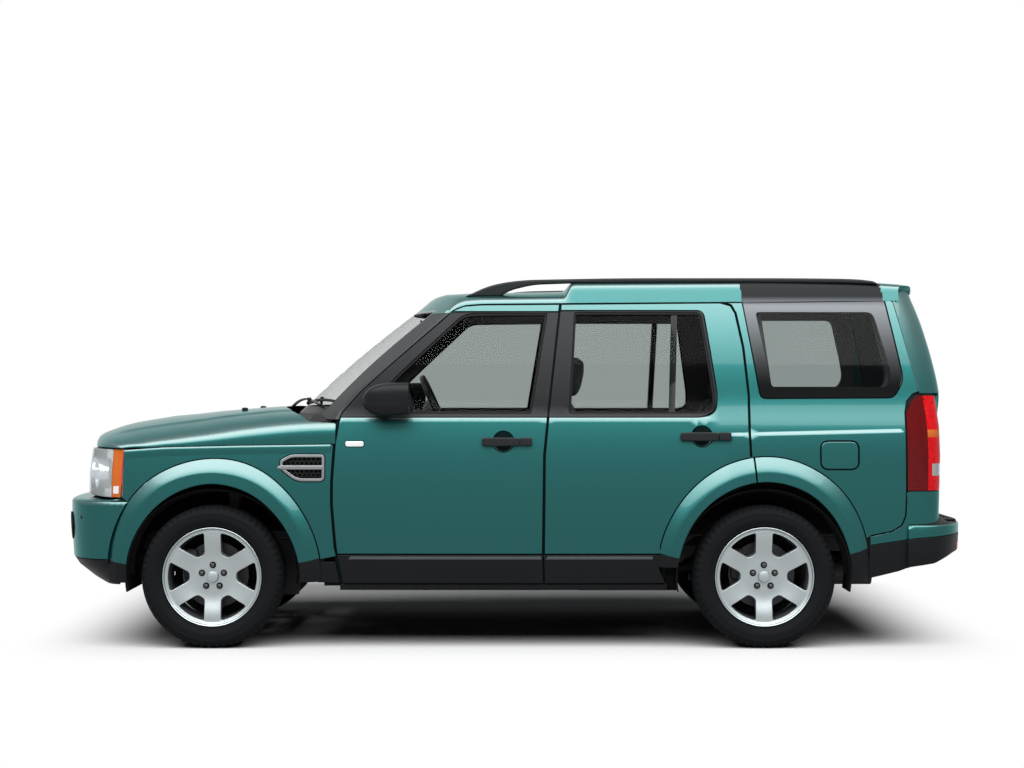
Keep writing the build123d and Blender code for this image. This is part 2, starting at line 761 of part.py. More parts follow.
# ---- bonnet, nose and bumpers ----
with BuildPart() as bonnet:
    # Side view: the slope down to the nose, the shut line over the wings and the door's front edge.
    with BuildSketch(Plane.XZ):
        with BuildLine():
            Polyline((-2330, 1058), (-2325, 1098), (-2181, 1151), (-1907, 1201), (-1633, 1236), (-1360, 1258),
                     (-1100, 1266), (-1072, 1192), (-923, 1192), (-944, 1084), (-1500, 1077), (-2050, 1054),
                     close=True)
        make_face()
    extrude(amount=1000, both=True)
    # Plan: curved nose and a rear edge that follows the windscreen, with a thin flank past its foot.
    with BuildSketch(Plane.XY.offset(1000)):
        with BuildLine():
            ThreePointArc((-2215, 700), (-2318, 0), (-2215, -700))
            ThreePointArc((-2215, -700), (-2160, -815), (-2050, -900))
            Line((-2050, -900), (-923, -950))
            Line((-923, -950), (-923, -877))
            Line((-923, -877), (-1080, -873))
            ThreePointArc((-1080, -873), (-1262, 0), (-1080, 873))
            Line((-1080, 873), (-923, 877))
            Line((-923, 877), (-923, 950))
            Line((-923, 950), (-2050, 900))
            ThreePointArc((-2050, 900), (-2160, 815), (-2215, 700))
        make_face()
    extrude(amount=400, mode=Mode.INTERSECT)
    # Cross-section: a dome that meets the flanks at a shoulder.
    with BuildSketch(Plane.YZ.offset(-half_length)):
        with BuildLine():
            ThreePointArc((-905, 1180), (0, 1262), (905, 1180))
            Line((905, 1180), (960, 1000))
            Line((960, 1000), (-960, 1000))
            Line((-960, 1000), (-905, 1180))
        make_face()
    extrude(amount=length, mode=Mode.INTERSECT)
    add(body_envelope, mode=Mode.INTERSECT)
    # Hollow underside.
    with BuildSketch(Plane.XZ):
        with BuildLine():
            Polyline((-2270, 1000), (-2270, 1075), (-1907, 1160), (-1633, 1190), (-1360, 1212), (-1200, 1214),
                     (-1200, 1000), close=True)
        make_face()
    extrude(amount=640, both=True, mode=Mode.SUBTRACT)
    with BuildSketch(Plane.XZ):
        with BuildLine():
            Polyline((-1980, 1000), (-1980, 1090), (-1633, 1120), (-960, 1130), (-960, 1000), close=True)
        make_face()
    extrude(amount=860, both=True, mode=Mode.SUBTRACT)
write(bonnet.part, "bonnet")

with BuildPart() as cowl_panel:
    with BuildSketch(Plane.XY.offset(1170)):
        with BuildLine():
            ThreePointArc((-1122, -700), (-1244, 0), (-1122, 700))
            Line((-1122, 700), (-1088, 700))
            ThreePointArc((-1088, 700), (-1202, 0), (-1088, -700))
            Line((-1088, -700), (-1122, -700))
        make_face()
    extrude(amount=62)
write(cowl_panel.part, "cowl_panel")

with BuildPart() as headlamps:
    with BuildSketch(Plane.XY.offset(782)):
        with BuildLine():
            Polyline((-2300, -470), (-2296, -560), (-2250, -720), (-2170, -835), (-2066, -886), (-2066, -800),
                     (-2150, -740), (-2210, -600), (-2240, -470), close=True)
        make_face()
    extrude(amount=258)
write(both_sides(headlamps.part), "headlamps")

with BuildPart() as grille:
    with BuildSketch(Plane.XY.offset(800)):
        with BuildLine():
            ThreePointArc((-2306, -460), (-2330, 0), (-2306, 460))
            Line((-2306, 460), (-2270, 460))
            ThreePointArc((-2270, 460), (-2294, 0), (-2270, -460))
            Line((-2270, -460), (-2306, -460))
        make_face()
    extrude(amount=240)
    for z in (850, 905, 960, 1015):
        with Locations((-2300, 0, z)):
            Box(200, 860, 26, mode=Mode.SUBTRACT)
    with Locations((-2285, 0, 920)):
        for y in (-230, 0, 230):
            with Locations((0, y, 0)):
                Box(24, 14, 238)
write(grille.part, "grille")

front_bumper_low_z = 469
front_bumper_top_z = 770
with BuildPart() as front_bumper:
    with BuildSketch(Plane.XY.offset(front_bumper_low_z)):
        with BuildLine():
            ThreePointArc((-2330, -640), (-half_length, 0), (-2330, 640))
            ThreePointArc((-2330, 640), (-2260, 840), (-2110, 925))
            Line((-2110, 925), (-2024, 925))
            Line((-2024, 925), (-2024, 872))
            Line((-2024, 872), (-2090, 868))
            ThreePointArc((-2090, 868), (-2200, 790), (-2262, 620))
            ThreePointArc((-2262, 620), (-2340, 0), (-2262, -620))
            ThreePointArc((-2262, -620), (-2200, -790), (-2090, -868))
            Line((-2090, -868), (-2024, -872))
            Line((-2024, -872), (-2024, -925))
            Line((-2024, -925), (-2110, -925))
            ThreePointArc((-2110, -925), (-2260, -840), (-2330, -640))
        make_face()
    extrude(amount=front_bumper_top_z - front_bumper_low_z)
    with Locations((-2380, 0, 560)):
        Box(300, 620, 90, mode=Mode.SUBTRACT)
    # Its ends follow the front edge of the wheel arch lip.
    with BuildSketch(Plane.XZ):
        with BuildLine():
            Polyline((-2030, 775), (-2074, 690), (-2108, 590), (-2126, 465), (-1900, 460), (-1900, 780),
                     close=True)
        make_face()
    extrude(amount=1000, both=True, mode=Mode.SUBTRACT)
write(front_bumper.part, "front_bumper")

rear_bumper_low_z = 560
rear_bumper_top_z = 690
with BuildPart() as rear_bumper:
    with BuildSketch(Plane.XY.offset(rear_bumper_low_z)):
        with BuildLine():
            ThreePointArc((2340, -700), (half_length, 0), (2340, 700))
            ThreePointArc((2340, 700), (2270, 850), (2130, 915))
            Line((2130, 915), (2052, 918))
            Line((2052, 918), (2052, 860))
            Line((2052, 860), (2130, 850))
            ThreePointArc((2130, 850), (2216, 800), (2270, 660))
            ThreePointArc((2270, 660), (2325, 0), (2270, -660))
            ThreePointArc((2270, -660), (2216, -800), (2130, -850))
            Line((2130, -850), (2052, -860))
            Line((2052, -860), (2052, -918))
            Line((2052, -918), (2130, -915))
            ThreePointArc((2130, -915), (2270, -850), (2340, -700))
        make_face()
    extrude(amount=rear_bumper_top_z - rear_bumper_low_z)
write(rear_bumper.part, "rear_bumper")

with BuildPart() as lower_valances:
    with BuildSketch(Plane.XY.offset(332)):
        with BuildLine():
            ThreePointArc((-2290, -600), (-2370, 0), (-2290, 600))
            Line((-2290, 600), (-2132, 880))
            Line((-2132, 880), (-2132, 800))
            Line((-2132, 800), (-2230, 560))
            ThreePointArc((-2230, 560), (-2300, 0), (-2230, -560))
            Line((-2230, -560), (-2132, -800))
            Line((-2132, -800), (-2132, -880))
            Line((-2132, -880), (-2290, -600))
        make_face()
    extrude(amount=front_bumper_low_z - 332)
    with BuildSketch(Plane.XY.offset(372)):
        with BuildLine():
            ThreePointArc((2310, -660), (2380, 0), (2310, 660))
            Line((2310, 660), (2100, 880))
            Line((2100, 880), (1960, 890))
            Line((1960, 890), (1960, 830))
            Line((1960, 830), (2090, 810))
            Line((2090, 810), (2250, 620))
            ThreePointArc((2250, 620), (2310, 0), (2250, -620))
            Line((2250, -620), (2090, -810))
            Line((2090, -810), (1960, -830))
            Line((1960, -830), (1960, -890))
            Line((1960, -890), (2100, -880))
            Line((2100, -880), (2310, -660))
        make_face()
    extrude(amount=rear_bumper_low_z - 372)
write(lower_valances.part, "lower_valances")

# ---- cabin ----
seat_y = 370
with BuildPart() as dashboard:
    with BuildSketch(Plane.XZ):
        with BuildLine():
            Polyline((-985, 960), (-985, 1170), (-900, 1210), (-700, 1225), (-600, 1200), (-560, 1000),
                     (-640, 860), (-800, 760), close=True)
        make_face()
    extrude(amount=690, both=True)
    with Locations((-660, -seat_y, 1225)):
        Box(110, 320, 90)  # hood over the instruments
    with Locations((-560, 0, 600)):
        Box(560, 210, 110)
write(dashboard.part, "dashboard")

wheel_tilt = 66  # of the steering column from vertical
steering_wheel_centre = (-430, -seat_y, 1250)
column_plane = Plane(steering_wheel_centre, x_dir=(0, 1, 0), z_dir=(-sin(radians(wheel_tilt)), 0,
                                                                  -cos(radians(wheel_tilt))))
with BuildPart() as steering_wheel:
    with BuildSketch(Plane(steering_wheel_centre, x_dir=column_plane.z_dir, z_dir=(0, 1, 0))):
        with Locations((0, 180)):
            Circle(15)
    revolve(axis=Axis(steering_wheel_centre, column_plane.z_dir))
    with BuildSketch(column_plane.offset(-4)):
        Circle(56)
        with PolarLocations(100, 3, start_angle=90):
            Rectangle(170, 30)
        Circle(172, mode=Mode.INTERSECT)
    extrude(amount=26)
    with BuildSketch(column_plane):
        Circle(22)
    extrude(amount=110)
write(steering_wheel.part, "steering_wheel")

cushion_z = 640
with BuildPart() as front_seats:
    for side in (-1, 1):
        with BuildSketch(Plane.XZ.offset(-side * seat_y)):
            with BuildLine():
                Polyline((-420, cushion_z - 90), (-400, cushion_z + 70), (60, cushion_z + 40), (210, 1300),
                         (330, 1290), (190, cushion_z - 60), (150, cushion_z - 110), close=True)
            make_face()
        extrude(amount=250, both=True)
        with Locations((262, side * seat_y, 1400)):
            Box(90, 260, 180)
        with Locations((-100, side * seat_y, (413 + cushion_z - 100) / 2)):
            Box(420, 380, cushion_z - 100 - 413)
write(front_seats.part, "front_seats")

with BuildPart() as rear_seats:
    with BuildSketch(Plane.XZ):
        with BuildLine():
            Polyline((560, cushion_z - 45), (580, cushion_z + 70), (1000, cushion_z + 50), (1150, 1290),
                     (1240, 1280), (1120, cushion_z - 20), (1080, cushion_z - 45), close=True)
        make_face()
    extrude(amount=600, both=True)
    for y in (-400, 0, 400):
        with Locations((1196, y, 1370)):
            Box(80, 250, 180)
    with Locations((680, 0, 506)):
        Box(120, 1100, 180)
        Box(200, 260, 400, mode=Mode.SUBTRACT)
write(rear_seats.part, "rear_seats")
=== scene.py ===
"""Looks of a sport utility vehicle: painted shells, glass, wheels, lamps, cabin and studio.

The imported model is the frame. Lengths are metres, -X is forwards, -Y is the vehicle's left, +Z is up.
"""

import json
import logging
import math
from dataclasses import dataclass
from enum import Enum
from functools import lru_cache

import bpy
import numpy as np
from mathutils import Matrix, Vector
from mathutils.geometry import delaunay_2d_cdt

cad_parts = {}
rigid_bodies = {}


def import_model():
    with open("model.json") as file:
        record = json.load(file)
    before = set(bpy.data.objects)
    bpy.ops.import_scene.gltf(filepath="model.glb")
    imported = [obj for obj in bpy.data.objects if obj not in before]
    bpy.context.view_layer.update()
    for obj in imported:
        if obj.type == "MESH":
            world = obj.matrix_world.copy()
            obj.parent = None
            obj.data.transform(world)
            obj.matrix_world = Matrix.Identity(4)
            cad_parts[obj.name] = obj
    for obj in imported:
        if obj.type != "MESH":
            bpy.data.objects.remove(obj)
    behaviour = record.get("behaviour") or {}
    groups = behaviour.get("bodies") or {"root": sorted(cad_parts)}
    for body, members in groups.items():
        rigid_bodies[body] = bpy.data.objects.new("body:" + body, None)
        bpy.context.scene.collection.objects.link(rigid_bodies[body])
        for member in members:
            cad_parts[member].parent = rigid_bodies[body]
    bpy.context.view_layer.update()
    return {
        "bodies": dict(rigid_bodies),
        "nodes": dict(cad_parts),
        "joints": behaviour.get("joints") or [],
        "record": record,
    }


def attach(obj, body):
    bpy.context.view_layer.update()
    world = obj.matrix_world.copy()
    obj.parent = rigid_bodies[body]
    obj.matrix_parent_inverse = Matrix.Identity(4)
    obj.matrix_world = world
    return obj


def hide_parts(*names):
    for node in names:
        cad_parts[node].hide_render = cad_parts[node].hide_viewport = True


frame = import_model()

log = logging.getLogger("vehicle")
Array = np.ndarray
Point = tuple[float, float, float]
Colour = tuple[float, float, float]

AXLES = {"front": -1.5795, "rear": 1.3055}
HUB_Z = 0.373
HALF_TRACK = 0.805


class Side(Enum):
    """Side of the vehicle, as the sign of its Y."""

    LEFT = -1
    RIGHT = 1


# ---------------------------------------------------------------- shader kit


class Wire:
    """A shader value: arithmetic on it adds math nodes to its tree."""

    def __init__(self, tree: bpy.types.NodeTree, socket: bpy.types.NodeSocket) -> None:
        """Keep the tree and the output socket."""
        self.tree = tree
        self.socket = socket

    def math(self, operation: str, *values: "Wire | float") -> "Wire":
        """Add a math node of that operation over the values.

        Args:
            operation: Name of the operation.
            values: Inputs, as values or numbers.

        Returns:
            The result.
        """
        node = self.tree.nodes.new("ShaderNodeMath")
        node.operation = operation
        for slot, value in zip(node.inputs, values):
            if isinstance(value, Wire):
                self.tree.links.new(value.socket, slot)
            else:
                slot.default_value = value
        return Wire(self.tree, node.outputs[0])

    def __add__(self, other: "Wire | float") -> "Wire":
        """Sum."""
        return self.math("ADD", self, other)

    __radd__ = __add__

    def __sub__(self, other: "Wire | float") -> "Wire":
        """Difference."""
        return self.math("SUBTRACT", self, other)

    def __rsub__(self, other: float) -> "Wire":
        """Difference from a number."""
        return self.math("SUBTRACT", other, self)

    def __mul__(self, other: "Wire | float") -> "Wire":
        """Product."""
        return self.math("MULTIPLY", self, other)

    __rmul__ = __mul__

    def __truediv__(self, other: "Wire | float") -> "Wire":
        """Quotient."""
        return self.math("DIVIDE", self, other)

    def __pow__(self, other: float) -> "Wire":
        """Power."""
        return self.math("POWER", self, other)

    def clamp(self) -> "Wire":
        """Limit to 0..1."""
        return self.math("MINIMUM", self.math("MAXIMUM", self, 0.0), 1.0)


class Shader:
    """Node tree of one material."""

    def __init__(self, name: str) -> None:
        """Start an empty material of that name.

        Args:
            name: Name of the material.
        """
        self.material = bpy.data.materials.new(name)
        self.material.use_nodes = True
        self.tree = self.material.node_tree
        self.tree.nodes.clear()

    def node(self, kind: str, settings: dict | None = None, **values: object) -> bpy.types.Node:
        """Add a node.

        Args:
            kind: Node type without its ShaderNode prefix.
            settings: Attributes of the node.
            values: Input values or links, by socket name with underscores for spaces.

        Returns:
            The node.
        """
        node = self.tree.nodes.new(f"ShaderNode{kind}")
        for key, value in (settings or {}).items():
            setattr(node, key, value)
        for key, value in values.items():
            slot = node.inputs[key.replace("_", " ")]
            if isinstance(value, Wire):
                self.tree.links.new(value.socket, slot)
            else:
                slot.default_value = value
        return node

    def out(self, node: bpy.types.Node, name: str | int = 0) -> Wire:
        """Output of a node as a value."""
        return Wire(self.tree, node.outputs[name])

    def coords(self) -> Wire:
        """Object coordinates."""
        return self.out(self.node("TexCoord"), "Object")

    def noise(self, scale: float, detail: float = 3.0) -> Wire:
        """Cloudy noise from 0 to 1 at that scale per metre."""
        return self.out(self.node("TexNoise", Vector=self.coords(), Scale=scale, Detail=detail), 0)

    def mix(self, factor: Wire, first: "Colour | Wire", second: Colour) -> Wire:
        """Blend of two colours.

        Args:
            factor: Share of the second.
            first: What shows at 0.
            second: What shows at 1.

        Returns:
            The colour.
        """
        node = self.node("Mix", {"data_type": "RGBA"})
        self.tree.links.new(factor.socket, node.inputs[0])
        node.inputs[7].default_value = (*second, 1)
        if isinstance(first, Wire):
            self.tree.links.new(first.socket, node.inputs[6])
        else:
            node.inputs[6].default_value = (*first, 1)
        return Wire(self.tree, node.outputs[2])

    def blend(self, factor: Wire | float, first: Wire, second: Wire) -> Wire:
        """Mix of two surfaces.

        Args:
            factor: Share of the second.
            first: What shows at 0.
            second: What shows at 1.

        Returns:
            The surface.
        """
        node = self.node("MixShader", Fac=factor)
        self.tree.links.new(first.socket, node.inputs[1])
        self.tree.links.new(second.socket, node.inputs[2])
        return self.out(node)

    def bump(self, height: Wire, distance: float) -> Wire:
        """Normal that follows a height in metres times distance."""
        return self.out(self.node("Bump", Strength=1.0, Distance=distance, Height=height))

    def finish(self, surface: Wire) -> bpy.types.Material:
        """Send the surface to the output and return the material."""
        self.node("OutputMaterial", Surface=surface)
        return self.material


# ---------------------------------------------------------------- finishes


@dataclass(frozen=True)
class Finish:
    """Plain principled finish with an optional grain that varies colour and relief."""

    name: str
    colour: Colour
    roughness: float = 0.5
    metallic: float = 0.0
    coat: float = 0.0
    grain: float = 0.0  # relief in metres
    grain_scale: float = 900.0
    wear: float = 0.08  # how far noise darkens the colour
    specular: float = 0.5

    def surface(self, shader: Shader) -> Wire:
        """Principled surface of this finish.

        Args:
            shader: Tree that takes the nodes.

        Returns:
            The surface.
        """
        dark = tuple(c * (1 - self.wear) for c in self.colour)
        light = tuple(c * (1 + self.wear) for c in self.colour)
        values = {"Base_Color": shader.mix(shader.noise(7.0), dark, light), "Roughness": self.roughness,
                  "Metallic": self.metallic, "Coat_Weight": self.coat, "Coat_Roughness": 0.03,
                  "Specular_IOR_Level": self.specular}
        if self.grain:
            values["Normal"] = shader.bump(shader.noise(self.grain_scale, 2.0), self.grain)
        return shader.out(shader.node("BsdfPrincipled", **values))

    def build(self) -> bpy.types.Material:
        """Material of this finish."""
        shader = Shader(self.name)
        return shader.finish(self.surface(shader))


@dataclass(frozen=True)
class Paint(Finish):
    """Metallic paint: fine flakes under a clear coat."""

    flake_scale: float = 2600.0
    flake_spread: float = 0.12
    sheen: Colour = (0.42, 0.74, 0.72)
    # Painted highlight: a colour added on faces that look up, where the overhead lamp's light falls.
    painted_highlight: Colour = (0.0, 0.0, 0.0)  # colour added on faces that look up

    def surface(self, shader: Shader) -> Wire:
        """Flakes shift the base's brightness from cell to cell, and a painted highlight lightens faces that
        look up.

        Args:
            shader: Tree that takes the nodes.

        Returns:
            The surface.
        """
        cells = shader.out(shader.node("TexVoronoi", Vector=shader.coords(), Scale=self.flake_scale), "Color")
        flake = shader.out(shader.node("SeparateColor", Color=cells), 0)
        low = tuple(c * (1 - self.flake_spread) for c in self.colour)
        high = tuple(c * (1 + self.flake_spread) for c in self.colour)
        base = shader.mix(flake, low, high)
        if any(self.painted_highlight):
            # Painted highlight: the lift attribute holds each corner's share of the lighter colour, from how
            # far its normal looks up.
            lift = shader.out(shader.node("Attribute", {"attribute_name": "lift"}), "Fac")
            base = shader.mix(lift, base, tuple(c + p for c, p in zip(self.colour, self.painted_highlight)))
        return shader.out(shader.node(
            "BsdfPrincipled", Base_Color=base, Roughness=self.roughness,
            Metallic=self.metallic, Coat_Weight=self.coat, Coat_Roughness=0.04,
            Specular_Tint=(*self.sheen, 1)))


@dataclass(frozen=True)
class ThinGlass(Finish):
    """Window glass: a tinted clear pane with a reflection that grows at grazing angles."""

    clearness: float = 0.9
    ior: float = 1.18
    share: float = 1.0  # how much of the reflection is kept

    def surface(self, shader: Shader) -> Wire:
        """Mix of a tinted see-through pane and a mirror by the Fresnel law.

        Args:
            shader: Tree that takes the nodes.

        Returns:
            The surface.
        """
        tint = tuple(c * self.clearness for c in self.colour)
        clear = shader.out(shader.node("BsdfTransparent", Color=(*tint, 1)))
        mirror = shader.out(shader.node("BsdfGlossy", Color=(1, 1, 1, 1), Roughness=self.roughness))
        fresnel = shader.out(shader.node("Fresnel", IOR=self.ior))
        return shader.blend(fresnel * self.share, clear, mirror)


@dataclass(frozen=True)
class Lens(Finish):
    """Clear or coloured lamp cover, fluted by fine vertical ribs."""

    flutes: float = 0.0
    body: float = 0.6  # share of light that the plastic itself throws back
    mottle: float = 0.1  # how far cells inside the cover vary its brightness

    def surface(self, shader: Shader) -> Wire:
        """Mix of tinted see-through plastic and a mirror.

        Args:
            shader: Tree that takes the nodes.

        Returns:
            The surface.
        """
        values = {}
        if self.flutes:
            wave = shader.node("TexWave", {"bands_direction": "Z"}, Vector=shader.coords(), Scale=self.flutes)
            values["Normal"] = shader.bump(shader.out(wave, "Fac"), 0.0015)
        clear = shader.out(shader.node("BsdfTransparent", Color=(*self.colour, 1)))
        low, high = (tuple(c * k for c in self.colour) for k in (1 - self.mottle, 1 + self.mottle))
        gloss = shader.out(shader.node("BsdfPrincipled", Roughness=0.2,
                                       Base_Color=shader.mix(shader.noise(55.0, 5.0), low, high),
                                       Specular_IOR_Level=0.05, **values))
        return shader.blend(self.body, clear, gloss)


@dataclass(frozen=True)
class PrintWithPaintedReflection(Finish):
    """Printed border of the rear glass.

    It is black print with a painted reflection over it: black at the sill, painted lighter grey towards the
    top where it stands for the overhead light that the glass reflects, and dark again over the roof's edge.
    """

    # Painted reflection: the grey towards the top stands for the lamp light that the glass reflects.
    top: Colour = (0.165, 0.178, 0.19)
    sill: float = 1.36
    shoulder: float = 1.79
    brow: float = 1.845
    brow_width: float = 0.05
    curve: float = 1.7  # power that keeps the lower part dark

    def surface(self, shader: Shader) -> Wire:
        """Principled surface whose colour follows the height: the lighter grey up high is a painted
        reflection.

        Args:
            shader: Tree that takes the nodes.

        Returns:
            The surface.
        """
        height = shader.out(shader.node("SeparateXYZ", Vector=shader.coords()), "Z")
        # Painted reflection: the colour rises from the black print to the grey top with height, and falls
        # back over the roof's edge.
        rise = ((height - self.sill) / (self.shoulder - self.sill)).clamp() ** self.curve
        fall = ((self.brow - height) / self.brow_width).clamp() * 0.92 + 0.08
        values = {"Base_Color": shader.mix(rise * fall, self.colour, self.top), "Roughness": self.roughness,
                  "Specular_IOR_Level": self.specular}
        return shader.out(shader.node("BsdfPrincipled", **values))


@dataclass(frozen=True)
class Cloth(Finish):
    """Woven fabric: two crossed sets of fine ribs."""

    threads: float = 420.0

    def surface(self, shader: Shader) -> Wire:
        """Weave relief and a soft sheen.

        Args:
            shader: Tree that takes the nodes.

        Returns:
            The surface.
        """
        waves = [shader.out(shader.node("TexWave", {"bands_direction": axis}, Vector=shader.coords(),
                                        Scale=self.threads), "Fac") for axis in ("X", "Z")]
        weave = waves[0] * waves[1]
        dark = tuple(c * 0.7 for c in self.colour)
        return shader.out(shader.node(
            "BsdfPrincipled", Base_Color=shader.mix(weave, dark, self.colour), Roughness=0.9,
            Sheen_Weight=0.25, Normal=shader.bump(weave, 0.0006)))


class Look(Enum):
    """Every finish on the vehicle."""

    # Painted highlight: the paint's last colour is added on faces that look up.
    PAINT = Paint("teal paint", (0.0085, 0.083, 0.081), roughness=0.33, metallic=0.9, coat=0.3,
                  painted_highlight=(0.09, 0.062, 0.062))
    PAINT_EDGE = Finish("painted edge", (0.006, 0.042, 0.040), roughness=0.5, metallic=0.6, specular=0.2)
    # Painted shade: turned edges and the frame behind the gaps get a near-black teal, so that the gaps
    # between panels read dark.
    SEAM = Finish("turned edge", (0.0015, 0.006, 0.006), roughness=0.6, specular=0.04)
    BLACK = Finish("black plastic", (0.0045, 0.005, 0.006), roughness=0.5, grain=0.0004, specular=0.1)
    SATIN_BLACK = Finish("satin black", (0.006, 0.0065, 0.008), roughness=0.35, specular=0.2)
    GLOSS_BLACK = Finish("gloss black", (0.004, 0.0045, 0.005), roughness=0.09, specular=0.25)
    # Grey grille bars, and on the door cladding a painted highlight along the panel's upper edge.
    GREY_STRIP = Finish("grey strip", (0.05, 0.058, 0.063), roughness=0.4, specular=0.15)
    RUBBER = Finish("seal rubber", (0.008, 0.008, 0.009), roughness=0.65, specular=0.1)
    TYRE = Finish("tyre rubber", (0.0032, 0.0038, 0.0047), roughness=0.75, grain=0.0004, grain_scale=500.0,
                  specular=0.08)
    ALLOY = Paint("silver wheel paint", (0.30, 0.335, 0.345), roughness=0.34, metallic=0.75, coat=0.4,
                  flake_spread=0.05, sheen=(0.8, 0.8, 0.8))
    DARK_ALLOY = Finish("inner rim", (0.04, 0.042, 0.045), roughness=0.6, metallic=0.2, specular=0.1)
    DISC = Finish("brake disc", (0.055, 0.055, 0.058), roughness=0.5, metallic=0.8)
    STEEL = Finish("bare steel", (0.42, 0.42, 0.43), roughness=0.35, metallic=1.0)
    CAST = Finish("cast iron", (0.06, 0.06, 0.062), roughness=0.7, metallic=0.5, grain=0.0012)
    LINER = Finish("arch liner", (0.008, 0.008, 0.009), roughness=0.9, specular=0.05)
    UNDERSEAL = Finish("underseal", (0.022, 0.022, 0.023), roughness=0.85, grain=0.0015, grain_scale=160.0)
    CHROME = Finish("chrome", (0.78, 0.79, 0.8), roughness=0.08, metallic=1.0, wear=0.02)
    BRIGHT = Finish("satin silver", (0.2, 0.21, 0.215), roughness=0.3, metallic=0.9)
    RAIL = Finish("roof rail", (0.008, 0.0105, 0.0115), roughness=0.42, specular=0.16)
    SCREEN = ThinGlass("windscreen glass", (0.97, 0.985, 0.985), roughness=0.0, clearness=0.975, share=0.35)
    GLASS = ThinGlass("door glass", (0.575, 0.615, 0.60), roughness=0.0, share=0.4)
    DARK_GLASS = ThinGlass("privacy glass", (0.545, 0.59, 0.58), roughness=0.03, ior=1.3, share=0.3)
    # Black print with a painted reflection that lightens it towards the top.
    SHADE = PrintWithPaintedReflection("printed glass", (0.002, 0.0022, 0.0025), roughness=0.3, specular=0.05)
    CLEAR_LENS = Lens("clear lens", (0.80, 0.84, 0.86), body=0.28)
    AMBER_LENS = Lens("amber lens", (0.62, 0.15, 0.03), body=0.6)
    RED_LENS = Lens("red lens", (0.50, 0.004, 0.007), flutes=60.0, body=0.92, mottle=0.6)
    RED_DARK = Finish("red reflector", (0.3, 0.004, 0.006), roughness=0.25, coat=0.8)
    WHITE_LAMP = Finish("white reflector", (0.66, 0.68, 0.7), roughness=0.2, metallic=0.6)
    AMBER_DARK = Finish("amber reflector", (0.75, 0.2, 0.01), roughness=0.3, coat=0.6)
    CABIN = Finish("cabin plastic", (0.035, 0.036, 0.038), roughness=0.6, grain=0.0008)
    CABIN_LIGHT = Finish("cabin upper trim", (0.3, 0.295, 0.28), roughness=0.85, grain=0.0006)
    HANDLE = Finish("door handle", (0.006, 0.007, 0.008), roughness=0.38, specular=0.2)
    MIRROR = Finish("mirror housing", (0.004, 0.005, 0.006), roughness=0.38, specular=0.12)
    SASH = Finish("window frame", (0.006, 0.007, 0.008), roughness=0.4, specular=0.16)
    SEAL_STRIP = Finish("pillar seal", (0.012, 0.013, 0.014), roughness=0.5, specular=0.2)
    PILLAR = Finish("pillar strip", (0.022, 0.027, 0.03), roughness=0.42, specular=0.2)
    PLATE = Finish("blank plate", (0.6, 0.6, 0.58), roughness=0.4, wear=0.02)
    LAMP_BOWL = Finish("lamp bowl", (0.5, 0.51, 0.53), roughness=0.2, metallic=0.8)
    LAMP_BACK = Finish("lamp back", (0.03, 0.01, 0.01), roughness=0.5, specular=0.1)
    RED_DEEP = Lens("deep red lens", (0.085, 0.001, 0.0018), flutes=60.0, body=0.95, mottle=0.6)
    CLOTH_TRIM = Cloth("door cloth", (0.07, 0.072, 0.078))
    CLOTH = Cloth("seat cloth", (0.055, 0.056, 0.06))
    CARPET = Finish("carpet", (0.025, 0.025, 0.027), roughness=0.95, grain=0.003, grain_scale=260.0)

    def material(self) -> bpy.types.Material:
        """Blender material of this finish, built once."""
        return built(self)


@lru_cache(maxsize=None)
def built(look: Look) -> bpy.types.Material:
    """Build a finish's material once."""
    return look.value.build()


# ---------------------------------------------------------------- mesh kit


def smooth(t: Array) -> Array:
    """Soft step from 0 to 1: 3t^2 - 2t^3."""
    t = np.clip(t, 0, 1)
    return t * t * (3 - 2 * t)


def unit(v: Array) -> Array:
    """Vectors scaled to length one."""
    return v / np.maximum(np.linalg.norm(v, axis=-1, keepdims=True), 1e-12)


def loop(*corners: tuple[float, ...], step: float = 0.04) -> Array:
    """Closed outline in a form's two coordinates.

    Args:
        corners: (u, v) or (u, v, radius); a corner with a radius becomes a quadratic curve.
        step: Longest gap between points.

    Returns:
        Anticlockwise points, (n, 2).
    """
    points = np.array([c[:2] for c in corners], float)
    radii = np.array([c[2] if len(c) > 2 else 0.0 for c in corners])
    before, after = np.roll(points, 1, 0) - points, np.roll(points, -1, 0) - points
    t = np.linspace(0, 1, 8)[:, None]
    pieces = []
    for corner, back, ahead, radius in zip(points, before, after, radii):
        if radius == 0:
            pieces.append(corner[None])
            continue
        a = corner + unit(back) * min(radius, np.linalg.norm(back) * 0.48)
        b = corner + unit(ahead) * min(radius, np.linalg.norm(ahead) * 0.48)
        pieces.append((1 - t) ** 2 * a + 2 * t * (1 - t) * corner + t**2 * b)
    return resample(np.concatenate(pieces), step)


def box(u0: float, v0: float, u1: float, v1: float, radius: float = 0.0, step: float = 0.04) -> Array:
    """Rectangular outline with rounded corners.

    Args:
        u0: First coordinate of the first corner.
        v0: Second coordinate of the first corner.
        u1: First coordinate of the opposite corner.
        v1: Second coordinate of the opposite corner.
        radius: Radius of the corners.
        step: Longest gap between points.

    Returns:
        Anticlockwise points, (n, 2).
    """
    return loop((u0, v0, radius), (u1, v0, radius), (u1, v1, radius), (u0, v1, radius), step=step)


